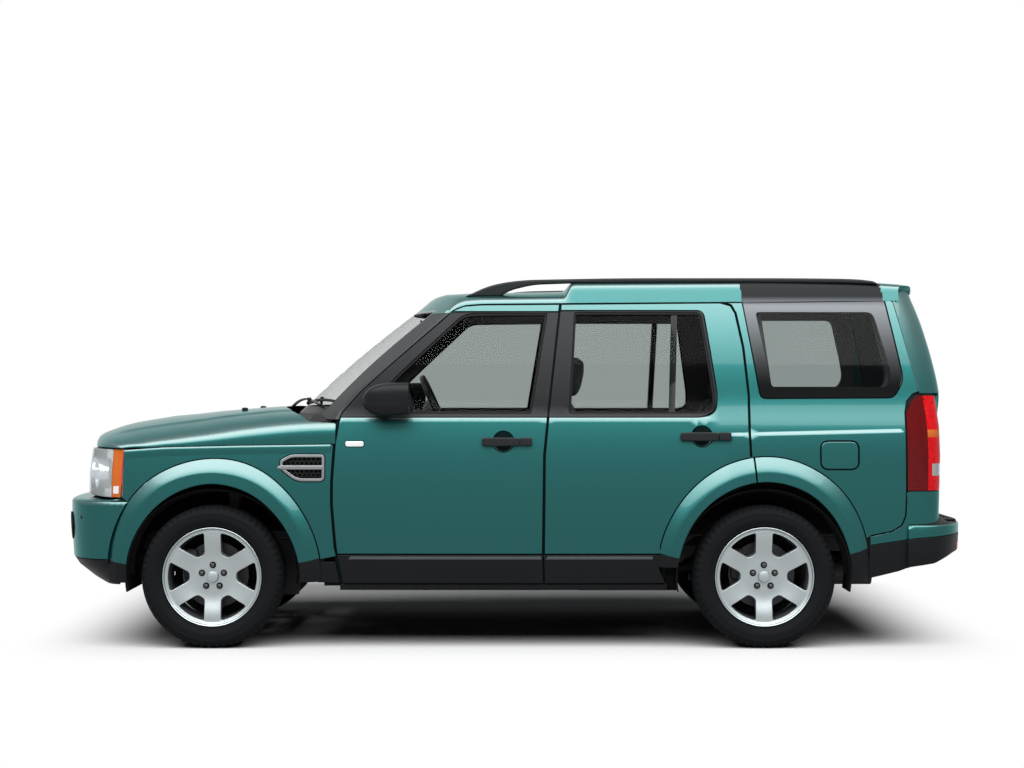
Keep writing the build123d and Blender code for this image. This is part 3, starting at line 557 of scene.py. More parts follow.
def resample(points: Array, step: float) -> Array:
    """Closed outline with extra points on its long edges, turned anticlockwise.

    Args:
        points: Corners, (n, 2).
        step: Longest gap between points.

    Returns:
        Points of the ring, anticlockwise, (m, 2).
    """
    closed = np.vstack([points, points[:1]])
    along = np.r_[0, np.cumsum(np.linalg.norm(np.diff(closed, axis=0), axis=1))]
    keep = np.r_[True, np.diff(along) > 1e-6]
    closed, along = closed[keep], along[keep]
    extra = np.arange(0, along[-1], step)
    gaps = np.abs(extra[:, None] - along[None]).min(1)
    stations = np.sort(np.r_[along[:-1], extra[gaps > step * 0.3]])
    ring = np.stack([np.interp(stations, along, closed[:, k]) for k in (0, 1)], 1)
    area = np.sum(ring[:, 0] * np.roll(ring[:, 1], -1) - ring[:, 1] * np.roll(ring[:, 0], -1))
    return ring if area > 0 else ring[::-1]


def arc(cx: float, cy: float, radius: float, start: float, stop: float, count: int = 40) -> list[tuple]:
    """Points along an arc, with angles in degrees."""
    a = np.radians(np.linspace(start, stop, count))
    return list(zip(cx + radius * np.cos(a), cy + radius * np.sin(a)))


def outward(ring: Array) -> Array:
    """Mitred outward directions of an anticlockwise outline.

    Args:
        ring: Outline, anticlockwise.

    Returns:
        Directions, one a point, longer at corners.
    """
    edge = unit(np.roll(ring, -1, 0) - ring)
    normal = np.stack([edge[:, 1], -edge[:, 0]], 1)
    both = unit(normal + np.roll(normal, 1, 0))
    return both / np.maximum(np.sum(both * normal, 1), 0.5)[:, None]


def inside(points: Array, ring: Array) -> Array:
    """Whether points lie inside an outline, by counting edge crossings.

    Args:
        points: Points, one a row.
        ring: Closed outline, (m, 2).

    Returns:
        True for each point inside.
    """
    a, b = ring[None], np.roll(ring, -1, 0)[None]
    p = points[:, None]
    span = (a[..., 1] > p[..., 1]) != (b[..., 1] > p[..., 1])
    slope = (b[..., 0] - a[..., 0]) / np.where(np.abs(b[..., 1] - a[..., 1]) < 1e-12, 1e-12,
                                               b[..., 1] - a[..., 1])
    cross = p[..., 0] < a[..., 0] + slope * (p[..., 1] - a[..., 1])
    return (span & cross).sum(1) % 2 == 1


def triangulate(rings: list[Array], lattice: Array, clearance: float) -> tuple[Array, Array]:
    """Triangles inside the first ring and outside the others, through the lattice points.

    Args:
        rings: The outline and then its holes.
        lattice: Candidate inner points, (n, 2).
        clearance: Least distance of an inner point from a ring.

    Returns:
        Points (n, 2) and triangles (m, 3).
    """
    edges, start = [], 0
    for ring in rings:
        index = np.arange(len(ring))
        edges += [tuple(e) for e in np.stack([index, np.roll(index, -1)], 1) + start]
        start += len(ring)
    border = np.concatenate(rings)
    keep = inside(lattice, rings[0])
    for hole in rings[1:]:
        keep &= ~inside(lattice, hole)
    lattice = lattice[keep]
    near = np.linalg.norm(lattice[:, None] - border[None], axis=2).min(1)
    points = np.vstack([border, lattice[near > clearance]])
    result = delaunay_2d_cdt([Vector(p) for p in points], edges, [], 0, 1e-7)
    verts = np.array([tuple(v) for v in result[0]])
    faces = np.array(result[2])
    centre = verts[faces].mean(1)
    good = inside(centre, rings[0])
    for hole in rings[1:]:
        good &= ~inside(centre, hole)
    return verts, faces[good]


def quads(rows: int, columns: int, wrap: bool = False) -> Array:
    """Quads of a grid of points, whose columns may close into a ring.

    Args:
        rows: Number of rows.
        columns: Number of columns.
        wrap: Whether the last column joins the first.

    Returns:
        Point numbers of the quads, (n, 4).
    """
    r, c = np.meshgrid(np.arange(rows - 1), np.arange(columns if wrap else columns - 1), indexing="ij")
    n = (c + 1) % columns
    return np.stack([r * columns + c, r * columns + n, (r + 1) * columns + n, (r + 1) * columns + c],
                    -1).reshape(-1, 4)


def turned(points: Array, faces: Array, way: Array | Point) -> Array:
    """Quads turned over together where they look against the given directions on the whole.

    The sum of each quad's area vector times its direction decides.

    Args:
        points: Corners, (n, 3).
        faces: Quads, (m, 4).
        way: One direction for all, or one for each quad.

    Returns:
        The quads, in the order that faces that way.
    """
    area = np.cross(points[faces[:, 2]] - points[faces[:, 0]], points[faces[:, 3]] - points[faces[:, 1]])
    return faces[:, ::-1] if np.sum(area * np.asarray(way, float)) < 0 else faces


def painted_highlight_share(up: Array) -> Array:
    """Share of the painted highlight by the upright part of a normal: it sets in at 0.16 and fades again
    above 0.70.
    """
    return smooth((up - 0.16) / 0.36) * (1 - 0.7 * smooth((up - 0.70) / 0.25))


class Form:
    """A curved surface over two coordinates, u and v."""

    flip: bool = False

    def at(self, uv: Array) -> Array:
        """Points of the surface."""
        raise NotImplementedError

    def normal(self, uv: Array) -> Array:
        """Outward normals, by central differences.

        Args:
            uv: Surface coordinates, (..., 2).

        Returns:
            Unit vectors, (..., 3).
        """
        e = 5e-4
        du = self.at(uv + (e, 0)) - self.at(uv - (e, 0))
        dv = self.at(uv + (0, e)) - self.at(uv - (0, e))
        n = unit(np.cross(du, dv))
        return -n if self.flip else n

    def lattice(self, low: Array, high: Array, cell: float) -> Array:
        """Inner points between two corners."""
        u, v = (np.linspace(a, b, max(2, int((b - a) / cell) + 1)) for a, b in zip(low, high))
        return np.stack(np.meshgrid(u, v), -1).reshape(-1, 2)


class Piece:
    """One mesh object made of patches, each with its own finish."""

    def __init__(self, name: str) -> None:
        """Start an empty piece."""
        self.name = name
        self.patches: list[tuple[Array, Array, Look, Array | None]] = []

    def add(self, points: Array, faces: Array, look: Look, normals: Array | None = None) -> "Piece":
        """Add a patch of faces, with shading normals where they are known."""
        self.patches.append((points, faces, look, normals))
        return self

    def grid(self, points: Array, look: Look, wrap: bool = False, facing: Point | None = None,
             normals: Array | None = None) -> "Piece":
        """Add a grid of points.

        Args:
            points: Rows and columns of points, (rows, columns, 3).
            look: Finish.
            wrap: Whether each row closes into a ring.
            facing: Way the faces look on the whole, or None for away from the grid's middle.
            normals: Shading normals, one a point.

        Returns:
            This piece.
        """
        faces = quads(points.shape[0], points.shape[1], wrap)
        flat = points.reshape(-1, 3)
        way = facing if facing is not None else flat[faces].mean(1) - flat.mean(0)
        return self.add(flat, turned(flat, faces, way), look,
                        None if normals is None else normals.reshape(-1, 3))

    def sheet(self, form: Form, ring: Array, look: Look, depth: float, cell: float = 0.08,
              clearance: float = 0.02) -> "Piece":
        """Add a single sheet of glass on a form.

        Args:
            form: Surface that the sheet follows.
            ring: Outline in the form's coordinates.
            look: Finish.
            depth: How far the sheet lies under the form.
            cell: Spacing of inner points.
            clearance: Least distance of an inner point from the outline.

        Returns:
            This piece.
        """
        uv, faces = triangulate([ring], form.lattice(ring.min(0), ring.max(0), cell), clearance)
        normal = form.normal(uv)
        return self.add(form.at(uv) - normal * depth, faces, look, normal)

    def shell(self, form: Form, ring: Array, look: Look, holes: tuple[Array, ...] = (), depth: float = 0.0,
              thickness: float = 0.014, edge: float = 0.004, back: Look | None = None,
              rim: Look | None = None, cell: float = 0.06) -> "Piece":
        """Add a panel on a form: a face, a rounded edge and a flange turned in.

        Args:
            form: Surface that the panel lies on.
            ring: Outline in the form's coordinates.
            look: Finish of the face.
            holes: Openings, as outlines.
            depth: How far the face lies under the form.
            thickness: Depth of the flange.
            edge: Radius of the rounded edge: its profile is a quarter circle carried along the outline.
            back: Finish of the back, or None for an open back.
            rim: Finish of the flange, or None for the face's.
            cell: Spacing of inner points.

        Returns:
            This piece.
        """
        rings = [ring, *(hole[::-1] for hole in holes)]
        sides = [outward(r) for r in rings]
        low, high = ring.min(0), ring.max(0)
        lattice = form.lattice(low, high, cell)

        def face(inset: float, level: float, finish: Look, over: bool) -> None:
            """Add one face of the panel.

            Args:
                inset: How far its outline lies inside the panel's.
                level: Its depth under the form.
                finish: Its finish.
                over: Whether it looks inwards.
            """
            edges = [r - s * inset for r, s in zip(rings, sides)]
            uv, faces = triangulate(edges, lattice, min(0.3 * cell, 0.006))
            normal = form.normal(uv)
            points = form.at(uv) - normal * level
            a, b, c = (points[faces[:, k]] for k in range(3))
            facing = np.sum(np.cross(b - a, c - a).sum(0) * normal.mean(0)) > 0
            if facing == over:
                faces = faces[:, ::-1]
            self.add(points, faces, finish, -normal if over else normal)

        face(edge, depth, look, False)
        angles = np.radians([0, 30, 60, 90])
        profile = [(edge * (1 - math.sin(a)), edge * (1 - math.cos(a)), math.cos(a), math.sin(a))
                   for a in angles]
        for r, s in zip(rings, sides):
            rows, normals = [], []
            for inset, level, up, out in [*profile, (0.0, thickness, 0.0, 1.0)]:
                uv = r - s * inset
                normal = form.normal(uv)
                side = unit(form.at(uv + s * 1e-3) - form.at(uv))
                rows.append(form.at(uv) - normal * (depth + level))
                normals.append(unit(normal * up + side * out))
            points, normal = np.array(rows), np.array(normals)
            faces = quads(len(rows), len(r), True)
            a, b, c = (points.reshape(-1, 3)[faces[:, k]] for k in range(3))
            if np.sum(np.cross(b - a, c - a) * normal.reshape(-1, 3)[faces[:, 0]]) < 0:
                faces = faces[:, ::-1]
            self.add(points.reshape(-1, 3), faces, rim or look, normal.reshape(-1, 3))
        if back:
            face(0.0, depth + thickness, back, True)
        return self

    def lathe(self, profile: Array, centre: Point, look: Look, axis: Point = (0, 1, 0), count: int = 96,
              facing: Point | None = None) -> "Piece":
        """Add a turned shape: profile rows are (distance along the axis, radius).

        Args:
            profile: Rows of (distance along the axis, radius).
            centre: Middle of the shape.
            look: Finish.
            axis: Direction of the axis.
            count: Number of points round.
            facing: Way the faces look on the whole, or None for outwards.

        Returns:
            This piece.
        """
        ahead = unit(np.array(axis, float))
        across = unit(np.cross(ahead, (0, 0, 1) if abs(ahead[2]) < 0.9 else (1, 0, 0)))
        above = np.cross(across, ahead)
        a = np.linspace(0, 2 * np.pi, count, endpoint=False)[None, :, None]
        profile = np.asarray(profile, float)[:, :, None, None]
        rows = profile[:, 0] * ahead + profile[:, 1] * (np.cos(a) * across + np.sin(a) * above)
        return self.grid(rows + np.array(centre), look, wrap=True, facing=facing)

    def pillow(self, centre: Point, size: Point, look: Look, power: float = 0.35, count: int = 24) -> "Piece":
        """Add a rounded block: a superellipsoid, from a ball at power 1 to a box near 0.

        Args:
            centre: Middle of the shape.
            size: Lengths along X, Y and Z.
            look: Finish.
            power: Squareness: 1 is a ball and 0 a box.
            count: Number of points round.

        Returns:
            This piece.
        """
        u = np.linspace(-np.pi / 2, np.pi / 2, count // 2 + 1)[:, None]
        v = np.linspace(-np.pi, np.pi, count, endpoint=False)[None]

        def bend(t: Array) -> Array:
            """Signed power of a cosine or sine."""
            return np.sign(t) * np.abs(t) ** power

        shape = np.stack([bend(np.cos(u)) * bend(np.cos(v)), bend(np.cos(u)) * bend(np.sin(v)),
                          bend(np.sin(u)) * np.ones_like(v)], -1)
        return self.grid(shape * np.array(size) / 2 + np.array(centre), look, wrap=True)

    def sweep(self, path: Array, section: Array, look: Look, up: Point = (0, 0, 1)) -> "Piece":
        """Add a bar: a closed section (sideways, up) carried along a path, with closed ends.

        Args:
            path: Points of the path.
            section: Closed section, as rows of (sideways, up).
            look: Finish.
            up: Direction that the section's second column follows.

        Returns:
            This piece.
        """
        path = np.asarray(path, float)
        ahead = unit(np.gradient(path, axis=0))
        across = unit(np.cross(ahead, np.array(up, float)))
        above = np.cross(across, ahead)
        section = np.asarray(section, float)
        rows = path[:, None] + across[:, None] * section[None, :, :1] + above[:, None] * section[None, :, 1:]
        caps = [path[:1, None].repeat(rows.shape[1], 1), rows, path[-1:, None].repeat(rows.shape[1], 1)]
        return self.grid(np.concatenate(caps), look, wrap=True)

    def bar(self, start: Point, stop: Point, radius: float, look: Look, count: int = 16) -> "Piece":
        """Add a round bar between two points.

        Args:
            start: First end.
            stop: Last end.
            radius: Radius.
            look: Finish.
            count: Number of points round.

        Returns:
            This piece.
        """
        a = np.linspace(0, 2 * np.pi, count, endpoint=False)
        up = (0, 0, 1) if abs(stop[2] - start[2]) < 0.9 * math.dist(start, stop) else (1, 0, 0)
        return self.sweep(np.array([start, stop]), radius * np.stack([np.cos(a), np.sin(a)], 1), look, up)

    def build(self, body: str = "body", nodes: tuple[str, ...] = ()) -> bpy.types.Object:
        """Make the object.

        Args:
            body: Moving body that carries it.
            nodes: CAD nodes that it stands for.

        Returns:
            The new object.
        """
        looks = list(dict.fromkeys(p[2] for p in self.patches))
        points = np.concatenate([p[0] for p in self.patches])
        starts = np.cumsum([0, *(len(p[0]) for p in self.patches[:-1])])
        corners = np.concatenate([(p[1] + s).ravel() for p, s in zip(self.patches, starts)])
        sizes = np.concatenate([np.full(len(p[1]), p[1].shape[1]) for p in self.patches])
        mesh = bpy.data.meshes.new(self.name)
        mesh.vertices.add(len(points))
        mesh.vertices.foreach_set("co", points.astype(np.float32).ravel())
        mesh.loops.add(len(corners))
        mesh.loops.foreach_set("vertex_index", corners.astype(np.int32))
        mesh.polygons.add(len(sizes))
        mesh.polygons.foreach_set("loop_start", np.r_[0, np.cumsum(sizes)[:-1]].astype(np.int32))
        slots = np.concatenate([np.full(len(p[1]), looks.index(p[2])) for p in self.patches])
        mesh.polygons.foreach_set("material_index", slots.astype(np.int32))
        mesh.update(calc_edges=True)
        for look in looks:
            mesh.materials.append(look.material())
        mesh.polygons.foreach_set("use_smooth", np.ones(len(sizes), bool))
        mesh.set_sharp_from_angle(angle=math.radians(38))
        known = [p[3] if p[3] is not None else np.zeros_like(p[0]) for p in self.patches]
        if any(p[3] is not None for p in self.patches):
            mesh.normals_split_custom_set(np.concatenate(known)[corners])
        # Painted highlight: each corner's share of the lighter paint, from how far its normal looks up, is
        # kept as the lift attribute.
        up = np.empty(len(mesh.loops) * 3, np.float32)
        mesh.corner_normals.foreach_get("vector", up)
        lift = mesh.attributes.new("lift", "FLOAT", "CORNER")
        lift.data.foreach_set("value", painted_highlight_share(up[2::3]).astype(np.float32))
        obj = bpy.data.objects.new(self.name, mesh)
        bpy.context.scene.collection.objects.link(obj)
        if nodes:
            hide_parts(*nodes)
        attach(obj, body)
        log.info("%s: %d faces", self.name, len(sizes))
        return obj


# ---------------------------------------------------------------- body form


@dataclass(frozen=True)
class SideSkin(Form):
    """Outer skin of a body side over u = x and v = z.

    Half width is one arc below the belt and one above it, joined by a rolled shoulder under the door
    glass. A ledge stands out of the quarter, and the plan view is a long arc.
    """

    side: Side
    belt: float = 1.21
    roll_start: float = 1.180
    roll: float = 0.008
    crown: float = 47.0
    quarter_rise: float = 0.007
    quarter_bevel: float = 0.014

    @property
    def flip(self) -> bool:
        """Normals turn over on the right."""
        return self.side is Side.RIGHT

    @staticmethod
    def wing_line(x: Array) -> Array:
        """Height of the shut line between bonnet and wing."""
        return np.interp(x, [-2.05, -1.835, -1.457, -0.938, -0.7], [1.043, 1.058, 1.067, 1.0745, 1.078])

    @staticmethod
    def quarter_line(x: Array) -> Array:
        """Height of the crease behind the rear door handle."""
        return 1.123 + (x - 1.12) * 0.0225

    def width(self, x: Array, z: Array) -> Array:
        """Half width of the body, before its crown.

        Args:
            x: Places along the vehicle.
            z: Heights.

        Returns:
            Half widths.
        """
        low = -1.26 + np.sqrt(2.2**2 - (z - 0.8) ** 2)
        high = -1.5572 + np.sqrt(2.45**2 - (z - 1.0) ** 2)
        rolled = low - self.roll * np.clip((z - self.roll_start) / 0.03, 0, 1) ** 2
        tight = rolled + (high - rolled) * smooth((z - self.belt) / 0.04)
        loose = low + (high - low) * smooth((z - 1.13) / 0.24)
        half = tight + (loose - tight) * smooth((x - 0.98) / 0.10)
        drop = self.quarter_line(x) - z
        rise = self.quarter_rise * smooth((x - 1.10) / 0.05)
        return half + rise * np.clip(drop / self.quarter_bevel, 0, 1) * (1 - smooth((drop - 0.03) / 0.25))

    def at(self, uv: Array) -> Array:
        """Point of the skin: the half width swings round the crown's far centre.

        Args:
            uv: Surface coordinates, (..., 2).

        Returns:
            Points, (..., 3).
        """
        x, z = uv[..., 0], uv[..., 1]
        middle = self.crown - 0.94
        y = np.sqrt((middle + self.width(x, z)) ** 2 - x**2) - middle
        return np.stack([x, self.side.value * y, z], -1)

    def lattice(self, low: Array, high: Array, cell: float) -> Array:
        """Even grid with closer rows at the shoulder and along the quarter's ledge.

        Args:
            low: Lowest corner.
            high: Highest corner.
            cell: Spacing of the points.

        Returns:
            Points, (n, 2).
        """
        x = np.linspace(low[0], high[0], max(2, int((high[0] - low[0]) / cell)))
        rows = np.r_[np.arange(low[1], high[1], cell), 1.172, 1.18, 1.188, 1.196, 1.204]
        grid = np.stack(np.meshgrid(x, np.unique(rows.round(3))), -1).reshape(-1, 2)
        gap = self.quarter_line(grid[:, 0]) - grid[:, 1]
        lines = [np.stack([x, self.quarter_line(x) - drop], -1)
                 for drop in (-0.004, 0.0005, 0.005, 0.0095, 0.014, 0.02)]
        return np.concatenate([grid[(gap < -0.02) | (gap > 0.045)], *lines])


@dataclass(frozen=True)
class Plane(Form):
    """Flat surface through a point, along two directions."""

    origin: Point
    along: Point = (1, 0, 0)
    up: Point = (0, 0, 1)
    flip: bool = False

    def at(self, uv: Array) -> Array:
        """origin + u * along + v * up."""
        return np.array(self.origin) + uv[..., :1] * np.array(self.along) + uv[..., 1:] * np.array(self.up)


@dataclass(frozen=True)
class ScreenForm(Form):
    """Windscreen over u = y and v = z: a circular arc in plan that leans back with height."""

    base_x: float = -1.1865
    base_z: float = 1.240
    lean: float = 1.1821
    radius: float = 1.50
    bow: float = 0.026
    flip: bool = True

    def arc(self, y: Array) -> Array:
        """How far the arc has swept back at that y."""
        return self.radius - np.sqrt(self.radius**2 - y**2)

    def x(self, y: Array, z: Array) -> Array:
        """Position along the vehicle: a leaning line, bowed forwards by a sine over its height."""
        t = np.clip((z - self.base_z) / 0.56, 0, 1)
        return self.base_x + (z - self.base_z) * self.lean + self.arc(y) - self.bow * np.sin(np.pi * t)

    def height(self, x: Array, y: Array) -> Array:
        """Height of the glass plane over a point in plan."""
        return self.base_z + (x - self.base_x - self.arc(y)) / self.lean

    def at(self, uv: Array) -> Array:
        """Point of the glass."""
        return np.stack([self.x(uv[..., 0], uv[..., 1]), uv[..., 0], uv[..., 1]], -1)

    def half(self, z: Array) -> Array:
        """Half width of the glass at a height."""
        return 0.722 - (z - 1.238) * 0.1672


@dataclass(frozen=True)
class RearForm(Form):
    """Rear face over u = y and v = z: a smooth side view line with a shallow bow in plan."""

    bow: float = 0.05

    @staticmethod
    def line(z: Array) -> Array:
        """Side view of the rear face on the middle plane."""
        return np.interp(z, [0.55, 0.7, 1.0, 1.157, 1.3, 1.419, 1.549, 1.692, 1.8, 1.874],
                         [2.298, 2.300, 2.308, 2.303, 2.284, 2.266, 2.236, 2.196, 2.158, 2.126])

    def at(self, uv: Array) -> Array:
        """Point of the face, pulled forwards by the bow towards its sides, and less so above the lamps.

        Args:
            uv: Surface coordinates, (..., 2).

        Returns:
            Points, (..., 3).
        """
        y, z = uv[..., 0], uv[..., 1]
        blurred = sum(self.line(z + k * 0.02) for k in (-2, -1, 0, 1, 2)) / 5
        bow = self.bow * (1 - 0.64 * smooth((z - 1.18) / 0.16))
        return np.stack([blurred - bow * (np.abs(y) / 0.7) ** 2.5, y, z], -1)


def outline_at(outline: Array, z: float, rear: bool) -> float:
    """x where a side view outline crosses a height, on its front or rear flank.

    Args:
        outline: Side view outline, (n, 2).
        z: Height.
        rear: Whether the rear flank is wanted.

    Returns:
        The x.
    """
    a, b = outline, np.roll(outline, -1, 0)
    hit = (a[:, 1] - z) * (b[:, 1] - z) <= 0
    a, b = a[hit & (a[:, 1] != b[:, 1])], b[hit & (a[:, 1] != b[:, 1])]
    x = a[:, 0] + (z - a[:, 1]) / (b[:, 1] - a[:, 1]) * (b[:, 0] - a[:, 0])
    return float(x.max() if rear else x.min())


def grown(ring: Array, distance: float) -> Array:
    """Outline moved outwards by a distance."""
    return ring + outward(ring) * distance


@dataclass(frozen=True)
class Arch:
    """Wheel opening with its flared lip, as three radii that change with the angle from the rear."""

    x: float
    outer: tuple[tuple[float, float], ...]
    crease: tuple[tuple[float, float], ...]
    inner: tuple[tuple[float, float], ...]
    z: float = HUB_Z

    def curve(self, which: str, start: float, stop: float, grow: float = 0.0, count: int = 49) -> Array:
        """Points of one of the three curves between two angles in degrees.

        Args:
            which: Name of the curve: outer, crease or inner.
            start: First angle in degrees.
            stop: Last angle in degrees.
            grow: Added to the radius.
            count: Number of points.

        Returns:
            Points (x, z).
        """
        angle = np.linspace(start, stop, count)
        knots = np.array(getattr(self, which))
        radius = sum(np.interp(angle + k, knots[:, 0], knots[:, 1]) for k in (-6, -3, 0, 3, 6)) / 5 + grow
        a = np.radians(angle)
        return np.stack([self.x + radius * np.cos(a), self.z + radius * np.sin(a)], 1)


FRONT_ARCH = Arch(
    AXLES["front"],
    ((0, 0.564), (28, 0.573), (41, 0.582), (53, 0.594), (64, 0.609), (77, 0.618), (90, 0.616), (103, 0.611),
     (114, 0.606), (124, 0.602), (136, 0.590), (155, 0.566), (180, 0.548)),
    ((0, 0.50), (12, 0.503), (28, 0.513), (48, 0.527), (64, 0.541), (90, 0.543), (117, 0.541), (132, 0.527),
     (152, 0.515), (170, 0.503), (180, 0.50)),
    ((0, 0.458), (28, 0.460), (47, 0.468), (65, 0.480), (90, 0.487), (116, 0.474), (144, 0.458),
     (180, 0.452)))
REAR_ARCH = Arch(
    AXLES["rear"],
    ((0, 0.548), (16, 0.560), (27, 0.574), (39, 0.590), (49, 0.604), (61, 0.614), (75, 0.624), (88, 0.627),
     (105, 0.619), (123, 0.600), (135, 0.587), (148, 0.574), (161, 0.566), (174, 0.557), (180, 0.552)),
    ((0, 0.505), (21, 0.512), (36, 0.516), (53, 0.530), (69, 0.545), (90, 0.546), (108, 0.536), (129, 0.520),
     (149, 0.515), (180, 0.505)),
    ((0, 0.455), (24, 0.462), (41, 0.475), (61, 0.491), (86, 0.497), (100, 0.493), (120, 0.482), (141, 0.470),
     (160, 0.458), (180, 0.455)))

FRONT_DOOR = np.array([
    (-0.898, 0.340), (-0.932, 0.528), (-0.950, 0.750), (-0.950, 0.869), (-0.935, 1.081), (-0.915, 1.190),
    (-0.900, 1.232), (-0.800, 1.344), (-0.638, 1.491), (-0.488, 1.623), (-0.383, 1.715), (-0.319, 1.772),
    (-0.267, 1.793), (-0.174, 1.800), (0.239, 1.803), (0.207, 1.520), (0.174, 1.229), (0.152, 1.008),
    (0.146, 0.500), (0.150, 0.340)])
REAR_DOOR = np.array([
    (0.158, 0.340), (0.154, 0.500), (0.160, 1.008), (0.182, 1.229), (0.215, 1.520), (0.247, 1.803),
    (1.090, 1.811), (1.144, 1.795), (1.167, 1.755), (1.202, 1.572), (1.226, 1.321), (1.226, 1.120),
    (1.231, 1.008), (1.248, 0.857), (1.248, 0.700)])


# ---------------------------------------------------------------- body side


@dataclass
class Flares:
    """Raised lips round the wheel openings: a bevel, a flat face, a rounded edge and a flange."""

    stand: float = 0.032
    flange: float = 0.05

    def profile(self, arch: Arch, skin: SideSkin, start: float, stop: float) -> list[Array]:
        """Bands of points between the lip's curves; each row stands off the skin by its own height.

        Args:
            arch: Wheel opening.
            skin: Body side.
            start: First angle in degrees.
            stop: Last angle in degrees.

        Returns:
            Grids of points, one a band.
        """
        outer, crease, inner = (arch.curve(k, start, stop) for k in ("outer", "crease", "inner"))

        def row(mix: float, a: Array, b: Array, stand: float) -> Array:
            """Points between two curves, stood off the skin."""
            uv = a + (b - a) * mix
            return skin.at(uv) + skin.normal(uv) * stand

        s = self.stand
        bevel = [row(t, outer, crease, 0.002 + (s - 0.004) * (1.12 * t - 0.12 * t**6))
                 for t in (0, 0.2, 0.4, 0.6, 0.75, 0.88, 0.96, 1)]
        root = [row(0.0, outer, crease, -0.012), row(0.0, outer, crease, 0.002)]
        flat = [row(t, crease, inner, s - 0.002 + 0.002 * t) for t in (0, 0.45, 0.88)]
        edge = [row(0.88 + 0.12 * math.sin(a), crease, inner, s - 0.006 + 0.006 * math.cos(a))
                for a in np.linspace(0, math.pi / 2, 4)]
        back = [row(1.0, crease, inner, s - 0.006), row(1.0, crease, inner, -self.flange)]
        return [np.array(b) for b in (root, bevel, flat, edge, back)]

    def add(self, piece: Piece, arch: Arch, side: Side, start: float, stop: float, look: Look) -> None:
        """Add one sector of a lip to a piece."""
        for band in self.profile(arch, SideSkin(side), start, stop):
            piece.grid(band, look, facing=(0, side.value, 0.3))

    def foot(self, piece: Piece, arch: Arch, side: Side, split: float, stop: float, tall: float) -> None:
        """Add the black foot of a lip between two angles, cut level at its bottom.

        Args:
            piece: Piece that takes the faces.
            arch: Wheel opening.
            side: Side of the vehicle.
            split: First angle in degrees.
            stop: Last angle in degrees.
            tall: Height of the level cut.
        """
        for band in self.profile(arch, SideSkin(side), split, stop):
            band[..., 2] = np.maximum(band[..., 2], tall)
            piece.grid(band, Look.BLACK, facing=(0, side.value, 0.3))


